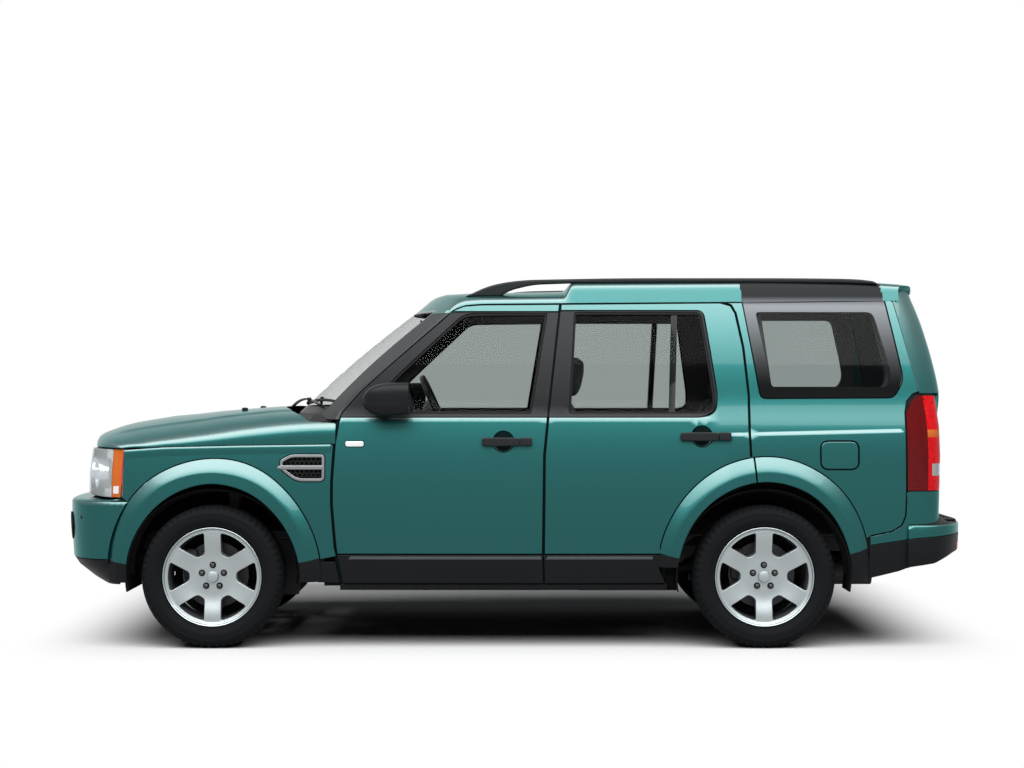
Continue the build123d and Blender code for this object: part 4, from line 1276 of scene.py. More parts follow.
@dataclass
class FrontWings:
    """Wings between bonnet, headlamp, bumper and door, with the side vents."""

    gap: float = 0.0085
    vent_x: tuple[float, float] = (-1.226, -0.990)
    vent_z: tuple[float, float] = (0.872, 1.014)

    def vent(self) -> Array:
        """Outline of the side vent: rounded behind, drawn to a blunt point in front.

        Returns:
            Outline.
        """
        (a, b), (low, high) = self.vent_x, self.vent_z
        return loop((a, 0.962), (a + 0.004, high - 0.03), (a + 0.055, high, 0.03), (b, high, 0.022),
                    (b, low, 0.03), (a + 0.085, low, 0.04), (a + 0.01, 0.93, 0.02), step=0.02)

    def build(self) -> None:
        """Make both wings as one piece and the vents as another."""
        wing, vents = Piece("front_wings_paint"), Piece("side_vents")
        for side in Side:
            skin = SideSkin(side)
            x = np.linspace(-2.043, -0.945, 24)
            top = np.stack([x, skin.wing_line(x) - self.gap], 1)
            arch = FRONT_ARCH.curve("outer", 9, 139, 0.003)
            ring = resample(np.concatenate([
                top[::-1], [(-2.05, 0.93), (-2.062, 0.79), (-2.040, 0.775)], arch[::-1],
                [(-0.930, 0.480), (-0.941, 0.528), (-0.958, 0.75), (-0.958, 0.869)]]), 0.035)
            hole = self.vent()
            wing.shell(skin, ring, Look.PAINT, holes=(hole,), rim=Look.SEAM, cell=0.05)
            wing.shell(skin, resample(np.array([(-1.03, 0.34), (-0.915, 0.34), (-0.938, 0.45),
                                                (-1.02, 0.45)]), 0.05), Look.BLACK, depth=0.002)
            flares = Flares()
            flares.add(wing, FRONT_ARCH, side, 10, 171, Look.PAINT)
            flares.foot(wing, FRONT_ARCH, side, 171, 184, 0.34)
            flares.foot(wing, FRONT_ARCH, side, -4, 10, 0.345)
            self.ledge(wing, skin)
            self.dress_vent(vents, skin, hole)
        wing.build(nodes=("front_wings",))
        vents.build()

    def ledge(self, piece: Piece, skin: SideSkin) -> None:
        """Add the raised strip under the shut line; its section is a quick rise and a slow fall.

        Args:
            piece: Piece that takes the faces.
            skin: Body side.
        """
        x = np.r_[-2.044, np.linspace(-2.042, -0.960, 80), -0.958]
        drops = np.array([0.0093, 0.0093, 0.0115, 0.0155, 0.020, 0.031, 0.044, 0.054, 0.054])[:, None]
        stand = np.array([-0.006, 0.0006, 0.0024, 0.0040, 0.0044, 0.0038, 0.0022, 0.0006, -0.002])[:, None]
        uv = np.stack([x + 0 * drops, skin.wing_line(x) - drops], -1)
        ends = np.r_[0.0, np.ones(80), 0.0]
        piece.grid(skin.at(uv) + skin.normal(uv) * (stand * ends)[..., None], Look.PAINT,
                   facing=(0, skin.side.value, 0.1))

    def dress_vent(self, piece: Piece, skin: SideSkin, hole: Array) -> None:
        """Add the vent's silver frame, middle bar and dark mesh.

        Args:
            piece: Piece that takes the faces.
            skin: Body side.
            hole: Outline of the vent.
        """
        inner = grown(hole, -0.016)
        piece.shell(skin, grown(hole, -0.001), Look.BRIGHT, holes=(inner,), depth=-0.004, thickness=0.03,
                    edge=0.003, cell=0.05)
        bar = loop((self.vent_x[0] - 0.012, 0.95), (self.vent_x[0] + 0.01, 0.956),
                   (self.vent_x[1] - 0.01, 0.956),
                   (self.vent_x[1] - 0.01, 0.934), (self.vent_x[0] + 0.01, 0.934),
                   (self.vent_x[0] - 0.012, 0.94), step=0.03)
        piece.shell(skin, bar, Look.BRIGHT, depth=-0.007, thickness=0.02, edge=0.004)
        piece.shell(skin, grown(inner, 0.004), Look.BLACK, depth=0.03, thickness=0.004, cell=0.05)
        (a, b), (low, high) = self.vent_x, self.vent_z
        for row, z in enumerate(np.arange(low + 0.012, high, 0.021)):
            for x in np.arange(a + 0.02 + 0.012 * (row % 2), b - 0.015, 0.024):
                cell = loop(*[(x + 0.0125 * math.cos(t), z + 0.0115 * math.sin(t))
                              for t in np.radians(np.arange(0, 360, 60))], step=0.1)
                if inside(cell, grown(hole, -0.008)).all():
                    piece.shell(skin, grown(cell, 0.0018), Look.SATIN_BLACK, holes=(grown(cell, -0.0018),),
                                depth=0.012, thickness=0.012, edge=0.0008, cell=1.0)


@dataclass
class Quarters:
    """Painted rear quarters with their glass, fuel flap, rear corners and cladding."""

    flap_x: tuple[float, float] = (1.603, 1.797)
    flap_z: tuple[float, float] = (0.937, 1.079)
    glass: tuple[tuple[float, ...], ...] = (
        (1.299, 1.304, 0.03), (1.286, 1.334), (1.207, 1.818), (1.2, 1.85), (1.958, 1.85), (1.966, 1.828),
        (2.046, 1.42, 0.05), (2.036, 1.375, 0.04), (1.994, 1.308, 0.03))

    def crease(self, z: Array) -> Array:
        """x of the rear corner's crease at a height."""
        return np.interp(z, [1.32, 1.82, 1.88], [2.133, 2.012, 1.995])

    def outline(self) -> Array:
        """Outline of the painted quarter panel.

        Returns:
            Outline.
        """
        door = np.array([(1.253, 0.96), (1.237, 1.008), (1.232, 1.120), (1.232, 1.321), (1.208, 1.572),
                         (1.173, 1.755), (1.150, 1.799), (1.128, 1.812)])
        z = np.linspace(1.34, 1.815, 8)
        corner = np.stack([self.crease(z), z], 1)
        arch = REAR_ARCH.curve("outer", 20, 96, 0.003)
        seam = [(1.868, 0.588), (1.975, 0.61), (2.025, 0.64), (2.045, 0.69), (2.050, 0.80), (2.051, 1.235),
                (2.062, 1.29), (2.095, 1.328)]
        return resample(np.concatenate([arch[::-1], seam, corner, [(2.0, 1.826)], door[::-1]]), 0.035)

    def build(self) -> None:
        """Make the quarter panels, their glass and the fuel flap."""
        paint, panes, flap = Piece("quarters_paint"), Piece("quarter_panes"), Piece("fuel_flap_paint")
        flares = Flares()
        (a, b), (low, high) = self.flap_x, self.flap_z
        flap_ring = box(a, low, b, high, 0.04, step=0.03)
        window = loop(*self.glass)
        for side in Side:
            skin = SideSkin(side)
            holes = (window, grown(flap_ring, 0.004)) if side is Side.LEFT else (window,)
            paint.shell(skin, self.outline(), Look.PAINT, holes=holes, rim=Look.SEAM, cell=0.05)
            backing = np.array([(1.95, 0.58), (2.075, 0.60), (2.075, 1.30), (2.13, 1.34), (2.10, 1.37),
                                (2.02, 1.31), (2.02, 0.68), (1.86, 0.60)])
            paint.shell(skin, resample(backing, 0.06), Look.RUBBER, depth=0.016, thickness=0.006, edge=0.002)
            flares.add(paint, REAR_ARCH, side, 15.5, 94.6, Look.PAINT)
            flares.foot(paint, REAR_ARCH, side, -4, 15.5, 0.345)
            self.corner(paint, side)
            self.pane(panes, skin, window)
        skin = SideSkin(Side.LEFT)
        flap.shell(skin, flap_ring, Look.PAINT, depth=0.0005, thickness=0.012, back=Look.PAINT_EDGE)
        paint.shell(skin, grown(flap_ring, 0.02), Look.PAINT_EDGE, depth=0.05, thickness=0.01)
        paint.lathe([(0, 0.001), (0, 0.034), (0.012, 0.038), (0.03, 0.038)], (1.70, -0.872, 1.008),
                    Look.BLACK, axis=(0, 1, 0), count=32)
        paint.build()
        panes.build(nodes=("quarter_glass",))
        flap.build("fuel_flap", nodes=("fuel_flap",))

    def corner(self, piece: Piece, side: Side) -> None:
        """Add the corner post: a quadratic curve in plan from the crease to the tailgate, for each height.

        Args:
            piece: Piece that takes the faces.
            side: Side of the vehicle.
        """
        t = np.linspace(0, 1, 12)[:, None]
        z = 1.333 + np.linspace(0, 1, 18)[None] * (0.493 + 0.072 * smooth(t / 0.5))
        skin, rear = SideSkin(side), RearForm()
        start = skin.at(np.stack([self.crease(z), z], -1))
        half = np.interp(z, [1.165, 1.325, 1.692, 1.88], [0.712, 0.684, 0.610, 0.556])
        stop = rear.at(np.stack([side.value * half, z], -1))
        knee = stop * (1, 0, 1) + start * (0, 1, 0) + (-0.012, -side.value * 0.045, 0)
        t = t[..., None]
        rows = (1 - t) ** 2 * start + 2 * t * (1 - t) * knee + t**2 * stop
        back = rows[-1:] - (0.03, side.value * 0.004, 0)
        piece.grid(np.concatenate([rows, back]), Look.PAINT, facing=(1, side.value, 0))

    def pane(self, piece: Piece, skin: SideSkin, window: Array) -> None:
        """Add the flush glass: a clear middle inside a dark printed border with a painted reflection towards
        its top.

        Args:
            piece: Piece that takes the faces.
            skin: Body side.
            window: Outline of the window.
        """
        clear = loop((1.352, 1.365, 0.02), (1.276, 1.762, 0.02), (1.90, 1.762, 0.04), (1.985, 1.43, 0.05),
                     (1.955, 1.365, 0.02))
        piece.shell(skin, grown(window, -0.003), Look.SHADE, holes=(clear,), depth=0.0015, thickness=0.006,
                    edge=0.002)
        piece.sheet(skin, clear, Look.DARK_GLASS, 0.0025, cell=0.1, clearance=0.03)


@dataclass
class Handle:
    """Pull handle: a dark bar in front of a round painted cup."""

    x: float
    z: float
    cup_x: float
    cup_radius: float = 0.054
    cup_depth: float = 0.022
    length: float = 0.262
    height: float = 0.044

    def hole(self) -> Array:
        """Edge of the cup."""
        return resample(np.array(arc(self.cup_x, self.z, self.cup_radius, 0, 352, 45)), 0.1)

    def add(self, piece: Piece, skin: SideSkin) -> None:
        """Add cup and bar.

        Args:
            piece: Piece that takes the faces.
            skin: Body side.
        """
        radius = np.linspace(self.cup_radius - 0.0005, 0.001, 10)[:, None]
        angle = np.linspace(0, 2 * np.pi, 48, endpoint=False)[None]
        uv = np.stack([self.cup_x + radius * np.cos(angle), self.z + radius * np.sin(angle)], -1)
        depth = self.cup_depth * (1 - (radius / self.cup_radius) ** 4) + 0.004
        points = skin.at(uv) - skin.normal(uv) * depth[..., None]
        piece.grid(points, Look.PAINT, wrap=True, facing=(0, skin.side.value, 0))
        out = skin.at(np.array([[self.x, self.z]]))[0] + (0, skin.side.value * 0.024, 0)
        split = self.length * 0.24
        piece.pillow(tuple(out - (split / 2, 0, 0)), (self.length - split, 0.024, self.height), Look.HANDLE,
                     0.28, 40)
        piece.pillow(tuple(out + ((self.length - split) / 2 + 0.001, 0, 0.001)),
                     (split, 0.025, self.height * 0.94), Look.HANDLE, 0.28, 40)
        for end in (-0.105, 0.105):
            piece.pillow(tuple(out + (end, -skin.side.value * 0.014, 0)), (0.034, 0.03, 0.03), Look.HANDLE,
                         0.4)


@dataclass
class Mirror:
    """Door mirror: a two-part housing on a short arm, with its glass facing back."""

    centre: Point = (-0.666, 1.008, 1.306)
    size: Point = (0.24, 0.165, 0.172)

    def build(self, side: Side) -> None:
        """Make one mirror.

        Args:
            side: Side of the vehicle.
        """
        piece, s = Piece(f"mirror_{side.name.lower()}"), side.value
        x, y, z = self.centre
        a = np.linspace(-np.pi, np.pi, 56, endpoint=False)[None]
        t = np.linspace(0, 1, 18)[:, None]
        # Sections across X: a rounded box that shrinks to a blunt nose in front.
        swell = np.where(t < 0.55, np.sqrt(1 - ((0.55 - t) / 0.56) ** 2.2),
                         1 - 0.06 * ((t - 0.55) / 0.45) ** 2)
        bend = np.sign(np.sin(a)) * np.abs(np.sin(a)) ** 0.55
        across = np.sign(np.cos(a)) * np.abs(np.cos(a)) ** 0.55
        rise = -0.012 * (1 - t)
        points = np.stack([x - self.size[0] / 2 + self.size[0] * t + 0 * a,
                           s * (y + across * swell * self.size[1] / 2),
                           z + rise + bend * swell * self.size[2] / 2], -1)
        piece.grid(points, Look.MIRROR, wrap=True)
        rim = points[-1]
        middle = rim.mean(0)
        steps = [rim, middle + (rim - middle) * 0.93, middle + (rim - middle) * 0.91 - (0.012, 0, 0)]
        piece.grid(np.array(steps), Look.BLACK, wrap=True, facing=(1, 0, 0))
        piece.grid(np.array([steps[-1], middle + (rim - middle) * 0.002 - (0.012, 0, 0)]), Look.CHROME,
                   wrap=True, facing=(1, 0, 0))
        piece.sweep(points[2:15, 27] + (0, 0, 0.0005), 0.0016 * circle(6), Look.RUBBER)
        piece.sweep(points[2:15, 0] + (0, s * 0.0003, 0), 0.0016 * circle(6), Look.RUBBER)
        piece.pillow((x - 0.025, s * (y - 0.095), z - 0.06), (0.085, 0.10, 0.045), Look.BLACK, 0.45)
        piece.build(f"door_front_{side.name.lower()}", nodes=(f"door_mirror_{side.name.lower()}",))


def circle(count: int) -> Array:
    """Unit circle of that many points."""
    a = np.linspace(0, 2 * np.pi, count, endpoint=False)
    return np.stack([np.cos(a), np.sin(a)], 1)


@dataclass
class DoorSet:
    """The four doors: paint, cladding, window frames, glass, handles and inner trims."""

    split_z: float = 0.492
    belt: float = 1.208
    frame_top: float = 1.763
    # Heights of the cladding's grey strip: a painted highlight where the panel's upper edge catches the
    # light.
    strip: tuple[float, float] = (0.466, 0.481)
    glass_depth: float = 0.016

    def build(self) -> None:
        """Make every door with what it carries."""
        for side in Side:
            self.front(side)
            self.rear(side)
            Mirror().build(side)

    def cladding(self, piece: Piece, skin: SideSkin, ring: Array, ends: tuple[float, float]) -> None:
        """Add the black lower panel with its grey strip, a painted highlight along the panel's upper edge.

        Args:
            piece: Piece that takes the faces.
            skin: Body side.
            ring: Outline of the panel.
            ends: Ends of the grey strip along X.
        """
        piece.shell(skin, ring, Look.BLACK, depth=-0.005, thickness=0.02, edge=0.004)
        low, high = self.strip
        strip = loop((ends[0] + 0.012, high), (ends[0], low), (ends[1], low), (ends[1], high), step=0.05)
        piece.shell(skin, strip, Look.GREY_STRIP, depth=-0.0065, thickness=0.004, edge=0.0012)

    def inside_parts(self, piece: Piece, skin: SideSkin, ring: Array, window: Array) -> None:
        """Add the frame behind the skin, the deep part below the belt and the trim that faces the cabin.

        Args:
            piece: Piece that takes the faces.
            skin: Body side.
            ring: Outline of the door.
            window: Outline of the window.
        """
        # Painted shade: the frame behind the door gaps is near-black, so the gaps read dark.
        frame = grown(ring, -0.019)
        piece.shell(skin, resample(frame, 0.05), Look.SEAM, holes=(grown(window, 0.002),), depth=0.012,
                    thickness=0.032, edge=0.003, back=Look.CABIN, cell=0.08)
        keep = grown(ring, -0.034)
        keep = keep[(keep[:, 1] < 1.2) & (keep[:, 1] > 0.47)]
        low, high = keep[:, 1].min(), 1.205
        box = np.vstack([keep[keep[:, 1] >= low], [(outline_at(ring, high, True) - 0.036, high),
                                                     (outline_at(ring, high, False) + 0.036, high)]])
        box = hull(box)
        piece.shell(skin, resample(box, 0.05), Look.PAINT_EDGE, depth=0.044, thickness=0.072, edge=0.012,
                    back=Look.CABIN, cell=0.08)
        a, b = box[:, 0].min() + 0.12, box[:, 0].max() - 0.10
        y = skin.at(np.array([[(a + b) / 2, 0.95]]))[0, 1] - skin.side.value * 0.128
        piece.pillow(((a + b) / 2, y, 0.93), (b - a, 0.03, 0.07), Look.CLOTH_TRIM, 0.3, 32)
        piece.pillow((a + 0.10, y, 1.06), (0.13, 0.02, 0.03), Look.BRIGHT, 0.3)

    def front(self, side: Side) -> None:
        """Make a front door.

        Args:
            side: Side of the vehicle.
        """
        name, skin = f"door_front_{side.name.lower()}", SideSkin(side)
        door, glass = Piece(f"{name}_shell"), Piece(f"{name}_pane")
        handle = Handle(-0.040, 1.080, -0.058)
        body = np.array([(-0.9255, self.split_z), (-0.932, 0.528), (-0.950, 0.750), (-0.950, 0.869),
                         (-0.935, 1.081), (-0.9155, 1.190), (-0.9105, self.belt), (0.1725, self.belt),
                         (0.152, 1.008), (0.146, 0.500), (0.146, self.split_z)])
        door.shell(skin, resample(body, 0.04), Look.PAINT, holes=(handle.hole(),), rim=Look.SEAM, cell=0.05)
        handle.add(door, skin)
        top = np.array([(-0.330, self.frame_top), (-0.319, 1.772), (-0.267, 1.793), (-0.174, 1.800),
                        (0.239, 1.803), (0.2345, self.frame_top)])
        door.shell(skin, resample(top, 0.04), Look.PAINT, rim=Look.SEAM, cell=0.05)
        clad = np.array([(-0.898, 0.340), (-0.9245, self.split_z - 0.004), (0.146, self.split_z - 0.004),
                         (0.150, 0.340)])
        self.cladding(door, skin, resample(clad, 0.05), (-0.868, 0.140))
        window = loop((-0.645, 1.395), (-0.560, 1.478), (-0.266, 1.752, 0.05), (0.1735, 1.757, 0.012),
                      (0.0875, 1.2285, 0.01), (-0.60, 1.2285), step=0.04)
        frame = np.array([(-0.905, 1.212), (-0.900, 1.232), (-0.800, 1.344), (-0.638, 1.491), (-0.488, 1.623),
                          (-0.383, 1.715), (-0.334, self.frame_top - 0.0015),
                          (0.2343, self.frame_top - 0.0015),
                          (0.207, 1.520), (0.174, 1.229), (0.1725, 1.212)])
        door.shell(skin, resample(frame, 0.04), Look.SASH, holes=(window,), depth=0.001, thickness=0.022,
                   edge=0.005)
        belt = loop((-0.9095, self.belt - 0.002), (0.1725, self.belt - 0.002), (0.1737, 1.223),
                    (-0.903, 1.223), step=0.05)
        door.shell(skin, belt, Look.SASH, depth=-0.004, thickness=0.016, edge=0.003)
        door.shell(skin, window, Look.RUBBER, holes=(grown(window, -0.011),), depth=0.005, thickness=0.016,
                   edge=0.003, cell=1.0)
        glass.sheet(skin, grown(window, -0.004), Look.GLASS, self.glass_depth, cell=0.1, clearance=0.03)
        self.inside_parts(door, skin, FRONT_DOOR, window)
        self.repeater(door, skin)
        door.build(name, nodes=(name,))
        glass.build(name, nodes=(f"door_glass_front_{side.name.lower()}",))

    def repeater(self, piece: Piece, skin: SideSkin) -> None:
        """Add the clear side repeater.

        Args:
            piece: Piece that takes the faces.
            skin: Body side.
        """
        pill = box(-0.883, 1.0535, -0.786, 1.0815, 0.014, step=0.01)
        piece.shell(skin, grown(pill, 0.003), Look.BLACK, depth=-0.002, thickness=0.006, edge=0.001)
        piece.shell(skin, pill, Look.WHITE_LAMP, depth=-0.007, thickness=0.010, edge=0.004, cell=0.01)

    def rear(self, side: Side) -> None:
        """Make a rear door.

        Args:
            side: Side of the vehicle.
        """
        name, skin = f"door_rear_{side.name.lower()}", SideSkin(side)
        door, glass = Piece(f"{name}_shell"), Piece(f"{name}_pane")
        handle = Handle(0.998, 1.107, 0.979)
        arch = REAR_ARCH.curve("outer", 97.5, 164, 0.003)
        window = loop((0.2855, 1.2285, 0.008), (0.3165, 1.7585, 0.012), (0.985, 1.7585, 0.03),
                      (1.052, 1.31, 0.06), (1.042, 1.2285, 0.07), step=0.03)
        notch = loop((0.15, self.belt), (1.046, self.belt, 0.10), (1.066, 1.31, 0.05), (0.998, 1.769, 0.035),
                     (0.15, 1.769), step=0.03)
        edge = notch[notch[:, 0] > 0.26]
        start = np.argmin(edge[:, 0] + 10 * (edge[:, 1] > 1.5))
        edge = np.roll(edge, -start, 0)
        body = np.concatenate([
            [(0.155, self.split_z), (0.160, 1.008), (0.1795, self.belt)], edge,
            [(0.2435, 1.769)], REAR_DOOR[5:13], [(1.238, 0.985)], arch, [(0.768, self.split_z)]])
        door.shell(skin, resample(body, 0.04), Look.PAINT, holes=(handle.hole(),), rim=Look.SEAM, cell=0.05)
        handle.add(door, skin)
        flares = Flares()
        flares.add(door, REAR_ARCH, side, 95.6, 167, Look.PAINT)
        flares.foot(door, REAR_ARCH, side, 167, 176, 0.424)
        clad = np.array([(0.158, 0.340), (0.154, self.split_z - 0.004), (0.767, self.split_z - 0.004),
                         (0.752, 0.42), (0.790, 0.340)])
        self.cladding(door, skin, resample(clad, 0.05), (0.162, 0.722))
        sash = np.array([(0.1795, 1.212), (0.182, 1.229), (0.215, 1.520), (0.2428, 1.7675), (0.994, 1.7675),
                         (1.0, 1.745), (1.063, 1.33), (1.062, 1.29), (1.04, 1.238), (1.0, 1.213),
                         (0.95, 1.212)])
        door.shell(skin, resample(sash, 0.03), Look.SASH, holes=(window,), depth=0.001, thickness=0.022,
                   edge=0.004)
        belt = loop((0.1797, self.belt - 0.002), (0.985, self.belt - 0.002, 0.02), (1.0, 1.223),
                    (0.1815, 1.223), step=0.05)
        door.shell(skin, belt, Look.SASH, depth=-0.004, thickness=0.016, edge=0.003)
        door.shell(skin, window, Look.RUBBER, holes=(grown(window, -0.010),), depth=0.005, thickness=0.016,
                   edge=0.003, cell=1.0)
        bar = np.array([(0.8105, 1.222), (0.833, 1.764), (0.859, 1.764), (0.8365, 1.222)])
        door.shell(skin, bar, Look.SASH, depth=0.010, thickness=0.010, edge=0.004)
        glass.sheet(skin, grown(window, -0.004), Look.GLASS, self.glass_depth, cell=0.1, clearance=0.03)
        self.inside_parts(door, skin, REAR_BOX, window)
        door.build(name, nodes=(name,))
        glass.build(name, nodes=(f"door_glass_rear_{side.name.lower()}",))


REAR_BOX = np.concatenate([[(0.158, 0.340)], REAR_DOOR[1:14], [(1.245, 0.93), (1.0, 0.90), (0.86, 0.80),
                                                               (0.78, 0.66), (0.74, 0.50), (0.74, 0.34)]])


def hull(points: Array) -> Array:
    """Points in anticlockwise order round their middle.

    Args:
        points: Points, one a row.

    Returns:
        The same points in order.
    """
    centre = points.mean(0)
    order = np.argsort(np.arctan2(points[:, 1] - centre[1], points[:, 0] - centre[0]))
    return points[order]


@dataclass
class BodyFrame:
    """Pillars, sills and door apertures behind the skins.

    Each seal is a strip along a door gap: its line, its width in front and behind, and its panel.
    """

    seals: tuple[tuple, ...] = (
        (((0.148, 0.36), (0.148, 0.50), (0.156, 1.008), (0.178, 1.229), (0.211, 1.520), (0.241, 1.795)),
         0.026, 0.034, Look.RUBBER, 0.054, 0.016, 0.003),
        (((-0.936, 0.528), (-0.954, 0.75), (-0.954, 0.869), (-0.939, 1.081), (-0.920, 1.190)),
         0.026, 0.010, Look.LINER, 0.0175, 0.010, 0.002),
        (((1.2505, 0.99), (1.234, 1.008), (1.229, 1.120), (1.229, 1.321), (1.205, 1.572), (1.170, 1.755)),
         0.008, 0.018, Look.LINER, 0.0175, 0.010, 0.002))

    def build(self) -> None:
        """Make the structure, the sills and the windscreen pillars."""
        piece, pillars = Piece("body_frame"), Piece("windscreen_pillars")
        outline = resample(np.array([
            (-1.005, 0.300), (-1.005, 1.190), (-0.452, 1.700), (-0.362, 1.770), (-0.300, 1.826),
            (0.390, 1.838),
            (1.290, 1.842), (1.290, 0.880), (1.000, 0.745), (0.850, 0.600), (0.790, 0.420), (0.790, 0.300)]),
                           0.06)
        front = np.array([p for p in grown(FRONT_DOOR, -0.020) if p[1] > 0.43] + [(0.13, 0.44),
                                                                                  (-0.90, 0.44)])
        rear = np.array([p for p in grown(REAR_BOX, -0.020) if p[1] > 0.43] + [(0.175, 0.44), (0.73, 0.44)])
        for side in Side:
            skin = SideSkin(side)
            # Painted shade: the apertures behind the door gaps are near-black, so the gaps read dark.
            piece.shell(skin, outline, Look.SEAM, holes=(around(front), around(rear)), depth=0.072,
                        thickness=0.056, edge=0.004, back=Look.CABIN, rim=Look.PAINT_EDGE, cell=0.1)
            for x in (FRONT_ARCH.x, REAR_ARCH.x):
                band = arc(x, HUB_Z, 0.545, -3, 183, 40) + arc(x, HUB_Z, 0.440, -3, 183, 32)[::-1]
                piece.shell(skin, resample(np.array(band), 0.05), Look.LINER, depth=0.105, thickness=0.012,
                            edge=0.002)
            sill = np.array([(-0.915, 0.297), (-0.915, 0.332), (0.80, 0.332), (0.80, 0.297)])
            piece.shell(skin, resample(sill, 0.1), Look.BLACK, depth=0.006, thickness=0.11, edge=0.01,
                        back=Look.BLACK, cell=0.1)
            for line, before, behind, look, depth, thickness, edge in self.seals:
                strip = np.concatenate([np.array(line) - (before, 0), np.array(line[::-1]) + (behind, 0)])
                piece.shell(skin, resample(strip, 0.08), look, depth=depth, thickness=thickness, edge=edge)
            self.pillar(pillars, side)
            self.quarter_trim(piece, skin)
        piece.build(nodes=("body_sides",))
        pillars.build()

    def quarter_trim(self, piece: Piece, skin: SideSkin) -> None:
        """Add the lining of the load space with its window opening.

        Args:
            piece: Piece that takes the faces.
            skin: Body side.
        """
        arch = np.array(arc(REAR_ARCH.x, HUB_Z, 0.502, 24, 92, 14))
        wall = np.concatenate([[(1.28, 1.84), (1.28, 0.90)], arch[::-1],
                               [(2.0, 0.60), (2.03, 0.85), (2.05, 1.30), (2.0, 1.80), (1.96, 1.84)]])
        opening = loop((1.36, 1.37, 0.03), (1.31, 1.79, 0.03), (1.905, 1.79, 0.05), (1.975, 1.43, 0.05),
                       (1.945, 1.37, 0.03))
        piece.shell(skin, resample(wall, 0.08), Look.CABIN, holes=(opening,), depth=0.05, thickness=0.05,
                    edge=0.01, back=Look.CABIN, cell=0.1)

    def pillar(self, piece: Piece, side: Side) -> None:
        """Add a windscreen pillar: a loft over height from the glass edge round to the door's front edge.

        Args:
            piece: Piece that takes the faces.
            side: Side of the vehicle.
        """
        screen, skin = ScreenForm(), SideSkin(side)
        for low, high, dark, light in ((1.196, 1.757, Look.SEAL_STRIP, Look.PILLAR),
                                       (1.757, 1.770, Look.PAINT, Look.PAINT)):
            z = np.linspace(low, high, 28)
            door = np.array([outline_at(FRONT_DOOR, v, False) for v in z]) - 0.007
            half = screen.half(z)
            inner = np.stack([screen.x(half, z), half * side.value, z], -1)
            y = np.abs(skin.at(np.stack([door, z], 1))[:, 1])
            corner_x = np.minimum(screen.x(y - 0.012, z), door - 0.03)
            corner = np.stack([corner_x, side.value * (y - 0.012), z], -1)
            turn_x = np.minimum(np.maximum(corner_x + 0.016, door - 0.058), door - 0.014)
            turn = skin.at(np.stack([turn_x, z], 1))
            mid = skin.at(np.stack([corner_x * 0.7 + turn_x * 0.3, z], 1)) - (0, side.value * 0.003, 0)
            stop = skin.at(np.stack([door, z], 1))
            back = stop - (0.0, side.value * 0.03, 0)
            under = inner + (0.01, 0, -0.02)
            piece.grid(np.array([under, inner, corner, mid, turn]), dark, facing=(-0.6, side.value, 0.4))
            piece.grid(np.array([turn, stop, back]), light, facing=(-0.2, side.value, 0.2))


def around(points: Array) -> Array:
    """Points ordered round their middle and resampled."""
    return resample(hull(points), 0.06)


